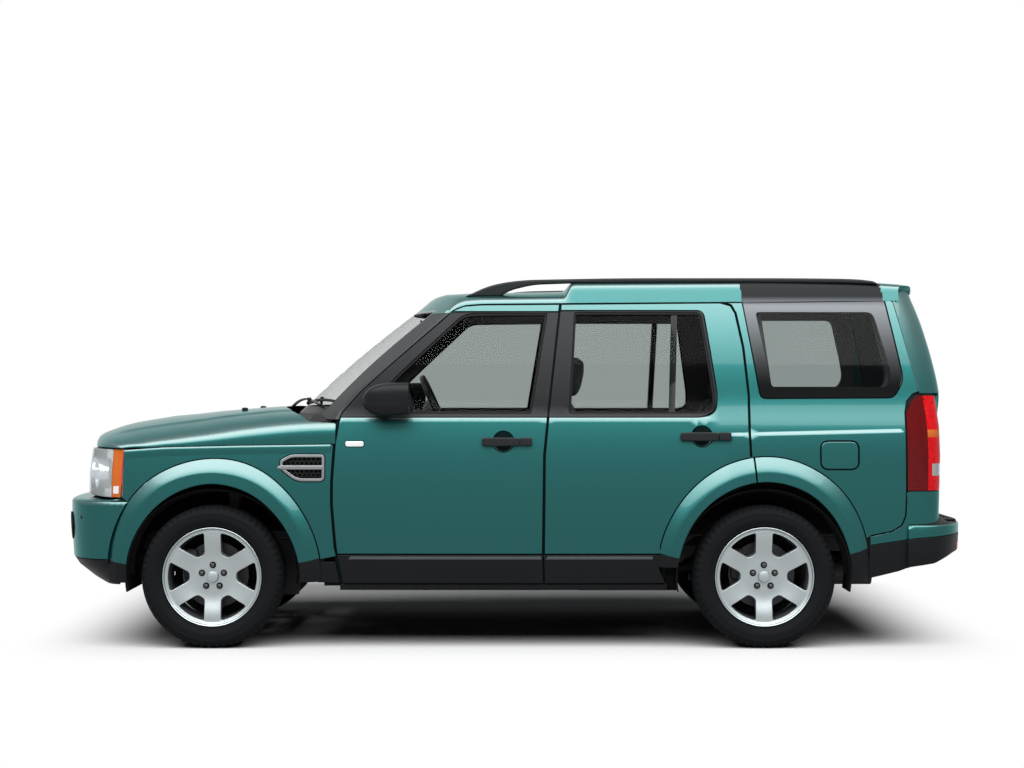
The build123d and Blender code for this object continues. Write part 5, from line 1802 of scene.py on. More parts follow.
@dataclass
class Bonnet:
    """Clamshell bonnet: a superellipse across, a rolled nose in front and flanks that meet the doors."""

    nose_x: float = -2.05
    reach: float = 0.268
    half: float = 0.905
    crown: tuple[tuple[float, float], ...] = (
        (0.0, 1.049), (0.004, 1.075), (0.014, 1.097), (0.035, 1.112), (0.07, 1.127), (0.137, 1.150),
        (0.205, 1.1675), (0.27, 1.179), (0.34, 1.190), (0.41, 1.2013), (0.55, 1.2145), (0.68, 1.2295),
        (0.82, 1.2407), (0.96, 1.2515), (1.06, 1.2560), (1.30, 1.262), (1.5, 1.264))
    raised: float = 0.007

    def front(self, y: Array) -> Array:
        """x of the front edge at a distance from the middle."""
        t = np.clip(np.abs(y) / self.half, 0, 1)
        return self.nose_x - self.reach * np.sqrt(np.clip(1 - t**1.86, 0, 1))

    def rear(self, y: Array) -> Array:
        """x of the rear edge: an arc before the windscreen, then back to the doors on the flanks.

        Args:
            y: Distances from the middle plane.

        Returns:
            The x of the edge.
        """
        y = np.abs(y)
        centre = -1.262 + 0.182 * (y / 0.873) ** 2
        return centre + (-0.936 - centre) * smooth((y - 0.862) / 0.03)

    def surface(self) -> Array:
        """Grid of points: rows run back from the nose and columns across, from flank to flank.

        Height rises from the shut line by the sine and the width falls by the cosine of the column's
        angle, both to the power 2/n; n grows towards the doors, so that the flanks stand up there.

        Returns:
            Points, (rows, columns, 3).
        """
        t = np.pi * (1 - np.cos(np.linspace(0, np.pi, 97))) / 2
        t = np.sort(np.r_[t, np.pi * np.array([0.28, 0.3, 0.32, 0.68, 0.7, 0.72])])
        s = np.r_[0, 0.003, 0.008, 0.016, 0.027, 0.04, 0.06, np.linspace(0.09, 1, 44)][:, None]
        across = np.sign(np.cos(t)) * np.abs(np.cos(t)) ** (2 / 2.6)
        start, stop = self.front(across * self.half), self.rear(across * 0.925)
        x = start + s * (stop - start)
        n = 2.5 + 1.7 * smooth((x + 1.9) / 0.9)
        line = SideSkin.wing_line(x) + 0.002
        skin = SideSkin(Side.RIGHT)
        width = skin.at(np.stack([x, line], -1))[..., 1]
        tuck = 1 - 0.012 * smooth((-2.0 - x) / 0.25)
        c = np.sign(np.cos(t)) * np.abs(np.cos(t)) ** (2 / n)
        height = np.interp(x - start, *np.array(self.crown).T) - line
        z = line + height * np.sin(t) ** (2 / n)
        y = c * width * tuck
        z = z + self.raised * smooth((0.655 - np.abs(y)) / 0.03) * smooth((x - start - 0.05) / 0.12)
        z = z - self.raised * smooth((x - start - 0.05) / 0.12)
        return np.stack([x, y, z], -1)

    def build(self) -> None:
        """Make the bonnet's skin, its turned edges in painted shade, its lining and a dark strip of painted
        shade behind each shut line.
        """
        piece = Piece("bonnet_shell")
        skin = self.surface()
        piece.grid(skin, Look.PAINT, facing=(0, 0, 1))
        edge = np.concatenate([skin[:, 0], skin[-1, 1:], skin[-2::-1, -1], skin[0, -2:0:-1]])
        centre = np.array([-1.5, 0, 1.15])
        inward = unit((centre - edge) * (0.3, 1, 0))
        rounded = [edge, edge + inward * 0.0015 - (0, 0, 0.003), edge + inward * 0.004 - (0, 0, 0.005),
                   edge + inward * 0.02 - (0, 0, 0.006)]
        piece.grid(np.array(rounded), Look.SEAM, wrap=True, facing=(0, 0, -0.2))
        low = skin[2:-1, 3:-3] - (0, 0, 0.03)
        low[..., 1] *= 0.97
        piece.grid(low, Look.PAINT_EDGE, facing=(0, 0, -1))
        # Painted shade: a dark strip behind each shut line between bonnet and wing, so that the gap reads
        # dark.
        x = np.linspace(-2.04, -0.95, 40)
        for side in Side:
            skin = SideSkin(side)
            gap = [skin.at(np.stack([x, skin.wing_line(x) + dz], 1)) - (0, side.value * 0.009, 0)
                   for dz in (-0.02, 0.016)]
            piece.grid(np.array(gap), Look.LINER, facing=(0, side.value, 0))
        for y in (-0.42, 0.42):
            piece.pillow((-1.47, y, 1.2425), (0.035, 0.022, 0.02), Look.BLACK, 0.7)
        piece.build("bonnet", nodes=("bonnet",))


@dataclass
class Cowl:
    """Black panel under the windscreen with two wipers."""

    arm_lift: float = 0.022

    def build(self) -> None:
        """Make the panel and the wipers."""
        piece, screen = Piece("cowl"), ScreenForm()
        y = np.linspace(-0.86, 0.86, 61)
        rear = -1.262 + 0.182 * (y / 0.873) ** 2 + 0.006
        a = np.stack([rear, y, 1.205 - 0.030 * (np.abs(y) / 0.86) ** 3], 1)
        b = np.stack([screen.x(y * 0.84, 1.236 + 0 * y) + 0.004, y * 0.86,
                      1.236 - 0.012 * (np.abs(y) / 0.86) ** 3], 1)
        t = np.linspace(0, 1, 8)[:, None, None]
        rows = a + (b - a) * t - np.array([0, 0, 0.012]) * np.sin(np.pi * t)
        drop = a - (0, 0, 0.05)
        piece.grid(np.concatenate([drop[None], rows]), Look.BLACK, facing=(-0.3, 0, 1))
        for s in (-1, 1):
            foot = np.array([(-1.085, 0.855, 1.178), (-0.93, 0.880, 1.188), (-0.93, 0.80, 1.20),
                             (-1.06, 0.75, 1.22)])
            foot[:, 1] *= s
            piece.add(foot, np.array([[0, 1, 2, 3]]), Look.BLACK)
        for start, stop in ((-0.62, 0.02), (0.02, 0.64)):
            self.wiper(piece, screen, start, stop)
        piece.build(nodes=("cowl_panel",))

    def wiper(self, piece: Piece, screen: ScreenForm, start: float, stop: float) -> None:
        """Add a wiper: a blade along the glass, and an arm from its pivot to the blade's middle.

        Args:
            piece: Piece that takes the faces.
            screen: Surface of the windscreen.
            start: Y of the blade's tip.
            stop: Y of its other end, beside the pivot.
        """
        y = np.linspace(start, stop, 24)
        z = 1.262 + 0.02 * np.sin(np.linspace(0, np.pi, 24))
        uv = np.stack([y, z], 1)
        normal = screen.normal(uv)
        path = screen.at(uv) + normal * 0.012
        blade = np.array([(-0.004, -0.010), (0.004, -0.010), (0.007, 0.0), (0.004, 0.006), (-0.004, 0.006),
                          (-0.007, 0)])
        piece.sweep(path, blade, Look.SATIN_BLACK, up=(-0.6, 0, 0.8))
        middle = path[12] + normal[12] * 0.012
        root = np.array([screen.x(np.array(stop - 0.03), np.array(1.20)) - 0.045, stop - 0.03, 1.222])
        arm = root + (middle - root) * np.linspace(0, 1, 12)[:, None]
        arm[:, 2] += self.arm_lift * np.sin(np.linspace(0, np.pi, 12))
        piece.sweep(arm, np.array([(-0.007, -0.004), (0.007, -0.004), (0.006, 0.005), (-0.006, 0.005)]) * 1.1,
                    Look.SATIN_BLACK)
        piece.pillow(tuple(root), (0.04, 0.05, 0.028), Look.SATIN_BLACK, 0.6)
        piece.pillow(tuple(middle - (0, 0, 0.002)), (0.022, 0.05, 0.02), Look.SATIN_BLACK, 0.5)


@dataclass
class Windscreen:
    """Windscreen with its dark printed edge and the inner mirror."""

    top: float = 1.778
    low: float = 1.222
    border: float = 0.012

    def build(self) -> None:
        """Make the glass."""
        piece, screen = Piece("windscreen_pane"), ScreenForm()
        foot, head = screen.half(self.low), screen.half(self.top)
        ring = resample(np.array([(-foot, self.low), (foot, self.low), (head, self.top), (-head, self.top)]),
                        0.05)
        foot, head = screen.half(1.27) - self.border, head - self.border
        clear = resample(np.array([(-foot, 1.262), (foot, 1.262), (head, self.top - self.border),
                                   (-head, self.top - self.border)]), 0.05)
        piece.shell(screen, ring, Look.SHADE, holes=(clear,), depth=0.001, thickness=0.006, edge=0.002,
                    cell=0.08)
        piece.sheet(screen, clear, Look.SCREEN, 0.002)
        piece.pillow((-0.50, 0, 1.665), (0.03, 0.24, 0.07), Look.BLACK, 0.4)
        piece.bar((-0.505, 0, 1.69), (-0.53, 0, 1.74), 0.006, Look.CABIN)
        piece.build(nodes=("windscreen",))


@dataclass
class Roof:
    """Roof skin with its header and step, the dark band over the rear side glass, headlining and rails."""

    crown: tuple[tuple[float, float], ...] = (
        (-0.60, 1.844), (-0.48, 1.860), (-0.38, 1.872), (-0.20, 1.880), (0.20, 1.885), (0.262, 1.888),
        (0.275, 1.895), (0.298, 1.920), (0.32, 1.926), (1.30, 1.934), (1.80, 1.931), (1.95, 1.925),
        (2.05, 1.918),
        (2.105, 1.910), (2.138, 1.899))
    edge: tuple[tuple[float, float], ...] = (
        (-0.60, 1.757), (-0.345, 1.757), (-0.319, 1.777), (-0.267, 1.798), (-0.174, 1.806), (2.2, 1.825))

    def base(self, x: Array) -> Array:
        """Height of the roof's lower edge, over the doors."""
        return np.interp(x, *np.array(self.edge).T)

    def surface(self) -> Array:
        """Grid of points: rows run back from the header and columns across, from left to right.

        Height over the lower edge is the sine and half width the cosine of the column's angle, both to
        the power 2/n. In front, the height is the smooth lesser of that and the windscreen's plane.

        Returns:
            Points, (rows, columns, 3).
        """
        screen, skin = ScreenForm(), SideSkin(Side.RIGHT)
        v = np.linspace(-1, 1, 81)
        t = np.pi / 2 + np.sign(v) * np.pi / 2 * (1 - (1 - np.abs(v)) ** 1.35)
        plan = -np.sign(np.cos(t)) * np.abs(np.cos(t)) ** (2 / 3.2)
        front = screen.x(plan * 0.757, 1.778 - 0.022 * plan**2)
        head_x, tail_x = -0.5505, 2.138
        stop = tail_x - 0.095 * plan**4
        s = np.r_[0, 0.004, 0.009, 0.015, 0.022, 0.03, 0.04, 0.055, 0.075, 0.1, 0.14,
                  np.linspace(0.18, 0.29, 6),
                  np.linspace(0.295, 0.335, 16), np.linspace(0.36, 0.97, 22), np.linspace(0.640, 0.655, 7),
                  np.linspace(0.925, 0.982, 15), 0.99, 1.0]
        s = np.unique(s)[:, None]
        x = head_x + s * (tail_x - head_x)
        x = x + (front - head_x) * (1 - smooth(s / 0.22)) + (stop - tail_x) * smooth((s - 0.8) / 0.2)
        raised = smooth((x - 0.262) / 0.05)
        power = 3.2 + 8.0 * raised
        c = -np.sign(np.cos(t)) * np.abs(np.cos(t)) ** (2 / power)
        base = self.base(x)
        width = skin.at(np.stack([x, base], -1))[..., 1]
        rise = np.interp(x, *np.array(self.crown).T) - base
        z = base + rise * np.abs(np.sin(t)) ** (2 / power)
        y = c * (width - (0.34 - 0.10 * raised) * (z - base) * np.abs(c))
        plane = screen.height(x, y)
        k = 0.022
        mixed = np.clip(0.5 + 0.5 * (plane - z) / k, 0, 1)
        z = plane + (z - plane) * mixed - k * mixed * (1 - mixed)
        return np.stack([x, y, z], -1)

    def build(self) -> None:
        """Make the skin, the headlining and the rails."""
        piece, points = Piece("roof_shell"), self.surface()
        lean = 1.207 - 0.14 * (points[..., 2] - 1.818)
        dark = (np.abs(points[..., 1]) > 0.655) & (points[..., 0] > lean) & (points[..., 0] < lean + 0.755)
        faces = quads(points.shape[0], points.shape[1])
        flags = dark.reshape(-1)[faces].mean(1) > 0.6
        flat = points.reshape(-1, 3)
        faces = turned(flat, faces, (0, 0, 1))
        piece.add(flat, faces[~flags], Look.PAINT)
        piece.add(flat, faces[flags], Look.SHADE)
        header = points[0]
        piece.grid(np.array([header, header + (0.004, 0, -0.006), header + (0.03, 0, -0.012)]),
                   Look.PAINT_EDGE, facing=(-1, 0, -1))
        tail = points[-1]
        outer = smooth((np.abs(tail[:, 1:2]) - 0.57) / 0.04)
        under = (tail + outer * (-0.08, 0, -0.057) + (1 - outer) * (-0.06, 0,
                                                                    -0.053)) * (1 - outer * (0, 0.015, 0))
        lip = [tail + (1 - 0.7 * outer) * move for move in
               ((0, 0, 0), (0.002, 0, -0.014), (-0.001, 0, -0.034), (-0.010, 0, -0.049))]
        piece.grid(np.array([*lip, under]), Look.PAINT, facing=(1, 0, 0))
        lining = points[10:-2, 6:-6] - (0, 0, 0.045)
        lining[..., 1] *= 0.965
        piece.grid(lining, Look.CABIN_LIGHT, facing=(0, 0, -1))
        piece.build(nodes=("roof_panel",))
        self.rails()

    def rails(self) -> None:
        """Make the two roof rails: a side outline with rounded edges."""
        piece = Piece("roof_rail_bars")
        ring = loop((-0.262, 1.846), (-0.13, 1.908, 0.12), (0.03, 1.9345, 0.1), (0.56, 1.9445, 0.2),
                    (1.50, 1.9445, 0.2), (1.82, 1.940, 0.1), (1.915, 1.928, 0.02), (1.935, 1.912),
                    (1.70, 1.918),
                    (1.20, 1.9205), (0.36, 1.916), (0.285, 1.9155, 0.01), (0.10, 1.909, 0.05),
                    (-0.02, 1.880, 0.04), (-0.075, 1.848), step=0.03)
        for s in (-1, 1):
            for y, flip, thickness, edge in ((0.7015, s > 0, 0.024, 0.010), (0.6685, s < 0, 0.012, 0.008)):
                piece.shell(Plane((0, s * y, 0), flip=flip), ring, Look.RAIL, thickness=thickness, edge=edge,
                            cell=0.05)
        piece.build(nodes=("roof_rails",))


@dataclass
class Tailgate:
    """Split tailgate: a glazed upper part and a drop-down lower part."""

    upper_low: float = 1.165
    top: float = 1.838
    lower_top: float = 1.157

    def half(self, z: Array) -> Array:
        """Half width of the upper part."""
        return np.interp(z, [1.165, 1.325, 1.692, 1.88], [0.702, 0.674, 0.600, 0.545])

    def build(self) -> None:
        """Make both parts."""
        form = RearForm()
        upper, lower = Piece("tailgate_upper_shell"), Piece("tailgate_lower_shell")
        z = np.linspace(self.upper_low, self.top, 14)
        ring = resample(np.concatenate([np.stack([self.half(z), z], 1),
                                        np.stack([-self.half(z), z], 1)[::-1]]), 0.05)
        glass = loop((0.628, 1.235, 0.05), (0.555, 1.775, 0.06), (-0.555, 1.775, 0.06), (-0.628, 1.235, 0.05))
        upper.shell(form, ring, Look.PAINT, holes=(glass,), thickness=0.03, edge=0.005, back=Look.CABIN)
        pane = grown(glass, -0.003)
        clear = grown(glass, -0.045)
        upper.shell(form, pane, Look.SHADE, holes=(clear,), depth=0.001, thickness=0.008, edge=0.002,
                    back=Look.CABIN)
        upper.sheet(form, clear, Look.DARK_GLASS, 0.003)
        upper.pillow((2.290, 0, 1.195), (0.03, 0.34, 0.035), Look.BLACK, 0.4, 32)
        upper.pillow((2.150, 0, 1.806), (0.02, 0.24, 0.016), Look.RED_DARK, 0.4)
        self.wiper(upper, form)
        upper.build("tailgate_upper", nodes=("tailgate_upper", "tailgate_glass"))
        panel = loop((0.733, 0.705, 0.02), (0.733, self.lower_top), (-0.733, self.lower_top),
                     (-0.733, 0.705, 0.02), step=0.05)
        plate = loop((0.27, 0.83, 0.01), (0.27, 0.965, 0.01), (-0.27, 0.965, 0.01), (-0.27, 0.83, 0.01),
                     step=0.05)
        lower.shell(form, panel, Look.PAINT, holes=(grown(plate, 0.012),), thickness=0.05, edge=0.005,
                    back=Look.CABIN)
        lower.shell(form, grown(plate, 0.016), Look.PAINT_EDGE, depth=0.012, thickness=0.01)
        lower.shell(form, plate, Look.PLATE, depth=0.004, thickness=0.008, edge=0.002)
        lower.pillow((2.300, 0, 1.02), (0.03, 0.62, 0.04), Look.BLACK, 0.35, 32)
        lower.build("tailgate_lower", nodes=("tailgate_lower",))

    def wiper(self, piece: Piece, form: RearForm) -> None:
        """Add the rear wiper.

        Args:
            piece: Piece that takes the faces.
            form: Surface of the rear face.
        """
        t = np.linspace(0, 1, 20)
        uv = np.stack([0.02 - 0.44 * t, 1.262 + 0.02 * t], 1)
        path = form.at(uv) + form.normal(uv) * 0.012
        piece.sweep(path, circle(8) * (0.006, 0.008), Look.SATIN_BLACK, up=(1, 0, 0.2))
        pivot = form.at(np.array([[0.0, 1.222]]))[0] + (0.008, 0, 0)
        piece.pillow(tuple(pivot), (0.028, 0.045, 0.045), Look.SATIN_BLACK, 0.7)
        piece.bar(tuple(pivot + (0.006, 0, 0)), tuple(path[9] + (0.008, 0, 0)), 0.006, Look.SATIN_BLACK)


@dataclass
class TailLamps:
    """Rear lamp clusters wrapped round the corners."""

    front: float = 2.057
    low: float = 0.823
    high: float = 1.319
    inner_y: float = 0.738
    power: float = 2.7

    def wrap(self, side: Side, z: Array, t: Array, inset: float) -> Array:
        """Points of the lamp's outer surface: the corner of a superellipse in plan.

        Args:
            side: Side of the vehicle.
            z: Heights.
            t: Turns round the corner, from 0 at the side to 1 at the rear.
            inset: Depth under the lamp's surface.

        Returns:
            Points, (..., 3).
        """
        skin = SideSkin(side)
        start = skin.at(np.stack([self.front + 0 * z, z], -1))[..., 1]
        side_y = np.abs(start) - inset
        rear_x = RearForm.line(z) - 0.057 - inset
        angle = t * np.pi / 2
        x = self.front + (rear_x - self.front) * np.sin(angle) ** (2 / self.power)
        y = self.inner_y + (side_y - self.inner_y) * np.cos(angle) ** (2 / self.power)
        return np.stack([x, side.value * y, z + 0 * x], -1)

    def band(self, piece: Piece, side: Side, z: tuple[float, float], t: tuple[float, float], look: Look,
             inset: float = 0.0, rows: int = 6, columns: int = 14) -> None:
        """Add a rectangle of the lamp's surface.

        Args:
            piece: Piece that takes the faces.
            side: Side of the vehicle.
            z: Lowest and highest height.
            t: First and last turn.
            look: Finish.
            inset: Depth under the lamp's surface.
            rows: Number of rows.
            columns: Number of columns.
        """
        zz = np.linspace(*z, rows)[:, None] + np.zeros((1, columns))
        tt = np.linspace(*t, columns)[None] + np.zeros((rows, 1))
        piece.grid(self.wrap(side, zz, tt, inset), look, facing=(1, side.value, 0))

    def build(self) -> None:
        """Make both clusters."""
        piece = Piece("tail_lamp_units")
        for side in Side:
            rows = 40
            z = np.linspace(self.low, self.high, rows)
            cut = np.interp(z, [1.235, 1.29, 1.319], [0.0, 0.06, 0.16])
            t = cut[:, None] + (1 - cut[:, None]) * np.linspace(0, 1, 30)[None]
            zz = z[:, None] + np.zeros((1, 30))
            outer = self.wrap(side, zz, t, 0.0)
            faces = quads(rows, 30)
            flat, tm, zm = outer.reshape(-1, 3), t.reshape(-1)[faces].mean(1), zz.reshape(-1)[faces].mean(1)
            faces = turned(flat, faces, (0, side.value, 0))
            deep = tm < 0.30
            amber = ~deep & (zm > 1.098) & (zm < 1.136)
            white = (tm > 0.40) & (zm > 0.905) & (zm < 0.968)
            for mask, look in ((deep, Look.RED_DEEP), (amber, Look.AMBER_LENS), (white, Look.CLEAR_LENS),
                               (~deep & ~amber & ~white, Look.RED_LENS)):
                piece.add(flat, faces[mask], look)
            self.band(piece, side, (1.270, 1.343), (0.0, 1.0), Look.RUBBER, inset=0.012, rows=4, columns=24)
            back = self.wrap(side, zz, t, 0.03)
            piece.grid(back, Look.LAMP_BACK, facing=(1, side.value, 0))
            for height in (1.235, 1.03, 0.86):
                centre = self.wrap(side, np.array(height), np.array(0.62), 0.028)
                piece.lathe([(0.012, 0.048), (0.006, 0.044), (0.0, 0.03), (-0.004, 0.001)], tuple(centre),
                            Look.LAMP_BOWL, axis=(0.75, side.value * 0.6, 0), count=32)
            ring = np.concatenate([outer[:, 0], outer[-1, 1:], outer[-2::-1, -1], outer[0, -2:0:-1]])
            inward = np.concatenate([back[:, 0], back[-1, 1:], back[-2::-1, -1], back[0, -2:0:-1]])
            piece.grid(np.array([ring, ring + (inward - ring) * 0.4, inward]), Look.RUBBER, wrap=True)
        piece.build(nodes=("tail_lamps",))


def superellipse(x0: float, reach: float, half: float, power: float) -> tuple[Point, ...]:
    """Plan curve from the middle out to the side: (x - x0)/reach and y/half to the power sum to one.

    Args:
        x0: Middle along X.
        reach: Half length along X, with its sign.
        half: Half width.
        power: Exponent: 2 gives an ellipse, and more a squarer curve.

    Returns:
        Points (x, y).
    """
    a = np.linspace(0, np.pi / 2, 160)
    x = x0 + reach * np.cos(a) ** (2 / power)
    y = half * np.sin(a) ** (2 / power)
    return tuple(zip(x, y))


@dataclass(frozen=True)
class PlanForm(Form):
    """Surface with a curved plan view over u = signed length along the plan from its middle and v = z."""

    plan: tuple[tuple[float, float], ...]
    profile: tuple[tuple[float, float], ...]
    flip: bool = False

    @property
    def table(self) -> tuple[Array, Array]:
        """Lengths along the plan and its points."""
        return plan_table(self.plan)

    def u(self, value: float, axis: int) -> float:
        """Length along the plan at an x (axis 0) or a y (axis 1).

        Args:
            value: The x or y to find.
            axis: 0 for an x and 1 for a y.

        Returns:
            Length from the middle.
        """
        length, points = self.table
        column = points[:, axis] if points[-1, axis] > points[0, axis] else -points[:, axis]
        return float(np.interp(value if points[-1, axis] > points[0, axis] else -value, column, length))

    def at(self, uv: Array) -> Array:
        """Plan point moved in by the profile's inset at that height.

        Args:
            uv: Surface coordinates, (..., 2).

        Returns:
            Points, (..., 3).
        """
        length, points = self.table
        u, z = uv[..., 0], uv[..., 1]
        ahead = np.gradient(points, length, axis=0)
        inward = unit(np.stack([ahead[:, 1], -ahead[:, 0]], 1))
        inward = inward * np.sign(-points[0, 0] * inward[0, 0])
        inset = np.interp(z, *np.array(self.profile).T)
        x, y, nx, ny = (np.interp(np.abs(u), length, c) for c in (*points.T, *inward.T))
        return np.stack([x + nx * inset, np.where(u < 0, -1, 1) * (y + ny * inset), z], -1)

    def lattice(self, low: Array, high: Array, cell: float) -> Array:
        """Even grid with a row on each knee of the profile.

        Args:
            low: Lowest corner.
            high: Highest corner.
            cell: Spacing of the points.

        Returns:
            Points, (n, 2).
        """
        u = np.linspace(low[0], high[0], max(2, int((high[0] - low[0]) / cell)))
        knees = np.array(self.profile)[:, 0]
        rows = np.unique(np.r_[np.arange(low[1], high[1], cell), knees[(knees > low[1]) & (knees < high[1])]])
        return np.stack(np.meshgrid(u, rows), -1).reshape(-1, 2)


@lru_cache(maxsize=None)
def plan_table(plan: tuple[tuple[float, float], ...]) -> tuple[Array, Array]:
    """Lengths and points of a plan, after three rounds of corner cutting and an even resampling.

    Args:
        plan: Points from the middle out.

    Returns:
        Lengths and points, evenly spaced.
    """
    points = np.array(plan, float)
    for _ in range(3):
        a, b = points[:-1], points[1:]
        points = np.vstack([points[:1],
                            np.stack([0.75 * a + 0.25 * b, 0.25 * a + 0.75 * b], 1).reshape(-1, 2),
                            points[-1:]])
    length = np.r_[0, np.cumsum(np.linalg.norm(np.diff(points, axis=0), axis=1))]
    even = np.linspace(0, length[-1], 600)
    return even, np.stack([np.interp(even, length, points[:, k]) for k in (0, 1)], 1)


@dataclass
class Nose:
    """Headlamps, grille, front bumper and valance."""

    lamp_z: tuple[float, float] = (0.786, 1.038)
    split_z: float = 0.463
    bumper: PlanForm = PlanForm(
        superellipse(-2.0, -0.4155, 0.905, 3.1),
        ((0.30, 0.205), (0.31, 0.19), (0.355, 0.12), (0.42, 0.04), (0.465, 0.010), (0.56, 0.004), (0.64, 0.0),
         (0.755, 0.0), (0.766, 0.006), (0.772, 0.02)), flip=True)
    face: PlanForm = PlanForm(
        ((-2.306, 0.0), (-2.306, 0.30), (-2.300, 0.46), (-2.288, 0.58), (-2.258, 0.70), (-2.20, 0.80),
         (-2.13, 0.862), (-2.02, 0.908)),
        ((0.70, 0.0), (0.79, 0.0), (0.90, 0.002), (1.045, 0.020)), flip=True)

    def end(self, z: Array) -> Array:
        """x where the bumper meets the wheel arch lip."""
        arch = FRONT_ARCH.curve("outer", 100, 186, 0.004)
        return np.interp(z, arch[::-1, 1], arch[::-1, 0])

    def skirt(self, low: float, high: float, look: Look, piece: Piece, holes: tuple[Array, ...] = ()) -> None:
        """Add a band of the bumper between two heights, from arch to arch.

        Args:
            low: Lower height.
            high: Upper height.
            look: Finish.
            piece: Piece that takes the faces.
            holes: Openings, as outlines.
        """
        z = np.linspace(low, high, 12)
        u = np.array([self.bumper.u(float(x), 0) for x in self.end(z)])
        ring = resample(np.concatenate([np.stack([u, z], 1), np.stack([-u, z], 1)[::-1]]), 0.03)
        piece.shell(self.bumper, ring, look, holes=holes, thickness=0.03, edge=0.003, cell=0.035)

    def build(self) -> None:
        """Make every piece of the nose."""
        paint, black = Piece("front_bumper_paint"), Piece("front_valance")
        intake = loop((0.40, 0.503, 0.03), (0.40, 0.585, 0.03), (-0.40, 0.585, 0.03), (-0.40, 0.503, 0.03),
                      step=0.04)
        pods = []
        for s in (-1, 1):
            u = s * self.bumper.u(0.62, 1)
            pods.append(resample(np.array(arc(u, 0.626, 0.072, 0, 352, 40)), 0.1))
            self.fog(black, u, s)
        self.skirt(self.split_z, 0.765, Look.PAINT, paint, holes=(intake, *pods))
        self.skirt(0.315, self.split_z - 0.003, Look.BLACK, black)
        u = np.linspace(-1, 1, 121) * self.bumper.u(-2.03, 0)
        rows = [self.bumper.at(np.stack([u, 0 * u + z], 1)) for z in (0.765, 0.7695, 0.772)]
        inner = self.face.at(np.stack([u * 0.93, 0 * u + 0.774], 1))
        inner[:, 0] += 0.02
        paint.grid(np.array([*rows, (rows[-1] + inner) / 2 + (0, 0, 0.003), inner]), Look.PAINT,
                   facing=(0, 0, 1))
        black.pillow((-1.985, 0, 0.395), (0.11, 1.10, 0.17), Look.LINER, 0.15, 32)
        black.shell(self.bumper, grown(intake, 0.01), Look.BLACK, depth=0.045, thickness=0.01, cell=0.05)
        for z in (0.525, 0.545, 0.565):
            bar = box(-0.40, z - 0.004, 0.40, z + 0.004)
            black.shell(self.bumper, bar, Look.SATIN_BLACK, depth=0.012, thickness=0.02, edge=0.002)
        plate = box(-0.26, 0.635, 0.26, 0.745, 0.006)
        black.shell(self.bumper, grown(plate, 0.012), Look.BLACK, depth=-0.001, thickness=0.012, edge=0.003)
        black.shell(self.bumper, plate, Look.PLATE, depth=-0.002, thickness=0.006, edge=0.002)
        for s in (-1, 1):
            for u in (s * self.bumper.u(0.35, 1), s * self.bumper.u(0.80, 1)):
                point = self.bumper.at(np.array([[u, 0.68]]))[0]
                black.lathe([(0.004, 0.011), (0.0, 0.011), (-0.0025, 0.009), (-0.003, 0.001)], tuple(point),
                            Look.SATIN_BLACK, axis=(1, -0.3 * s, 0), count=24)
        paint.build(nodes=("front_bumper",))
        black.build(nodes=("lower_valances",))
        self.lamps()
        self.grille()

    def fog(self, piece: Piece, u: float, s: int) -> None:
        """Add a round fog lamp in its well.

        Args:
            piece: Piece that takes the faces.
            u: Length along the plan.
            s: Side, as a sign.
        """
        centre = self.bumper.at(np.array([[u, 0.626]]))[0]
        ahead = unit(-self.bumper.normal(np.array([[u, 0.626]]))[0])
        for profile, look in (
                ([(0.05, 0.001), (0.05, 0.06), (0.004, 0.071), (-0.004, 0.0735), (-0.004, 0.068),
                  (0.012, 0.064), (0.012, 0.058)], Look.BLACK),
                ([(0.012, 0.001), (0.013, 0.03), (0.018, 0.052)], Look.SCREEN),
                ([(0.045, 0.001), (0.042, 0.02), (0.030, 0.044), (0.018, 0.052), (0.017, 0.060)],
                 Look.WHITE_LAMP)):
            piece.lathe(profile, tuple(centre), look, axis=tuple(ahead), count=48, facing=tuple(-ahead))

    def lamps(self) -> None:
        """Make the headlamps: clear cover, amber end, housing and bowls."""
        piece, form = Piece("headlamp_units"), self.face
        low, high = self.lamp_z
        start, turn, stop = form.u(0.472, 1), form.u(-2.113, 0), form.u(-2.048, 0)
        for s in (-1, 1):
            clear = loop((s * start, low + 0.02, 0.02), (s * (turn - 0.002), low, 0.002),
                         (s * (turn - 0.002), high, 0.002), (s * start, high, 0.01), step=0.03)
            amber = loop((s * turn, low, 0.002), (s * stop, low, 0.02), (s * stop, high, 0.006),
                         (s * turn, high, 0.002), step=0.03)
            piece.shell(form, clear, Look.CLEAR_LENS, thickness=0.012, edge=0.004, cell=0.03)
            piece.shell(form, amber, Look.AMBER_LENS, thickness=0.012, edge=0.004, cell=0.03)
            cell = box(s * (turn + 0.012), low + 0.02, s * (turn + 0.046), low + 0.06, 0.006, step=0.02)
            piece.shell(form, cell, Look.WHITE_LAMP, depth=-0.0015, thickness=0.004, edge=0.001)
            edge = box(s * (stop - 0.010), low + 0.01, s * (stop - 0.001), high - 0.006, step=0.03)
            piece.shell(form, edge, Look.RED_DARK, depth=-0.0012, thickness=0.004, edge=0.001)
            whole = loop((s * (start - 0.004), low + 0.016, 0.02), (s * (stop + 0.002), low - 0.003, 0.01),
                         (s * (stop + 0.002), high + 0.003, 0.004), (s * (start - 0.004), high + 0.003, 0.01),
                         step=0.03)
            piece.shell(form, whole, Look.LAMP_BOWL, depth=0.075, thickness=0.01, edge=0.004, cell=0.04)
            piece.shell(form, whole, Look.GLOSS_BLACK, holes=(grown(whole, -0.005),), depth=0.004,
                        thickness=0.075, edge=0.001, cell=1.0)
            inner = box(s * (turn + 0.006), low + 0.01, s * (stop - 0.006), high - 0.01, step=0.03)
            piece.shell(form, inner, Look.AMBER_DARK, depth=0.03, thickness=0.01, edge=0.002)
            for y, radius in ((0.565, 0.075), (0.715, 0.07)):
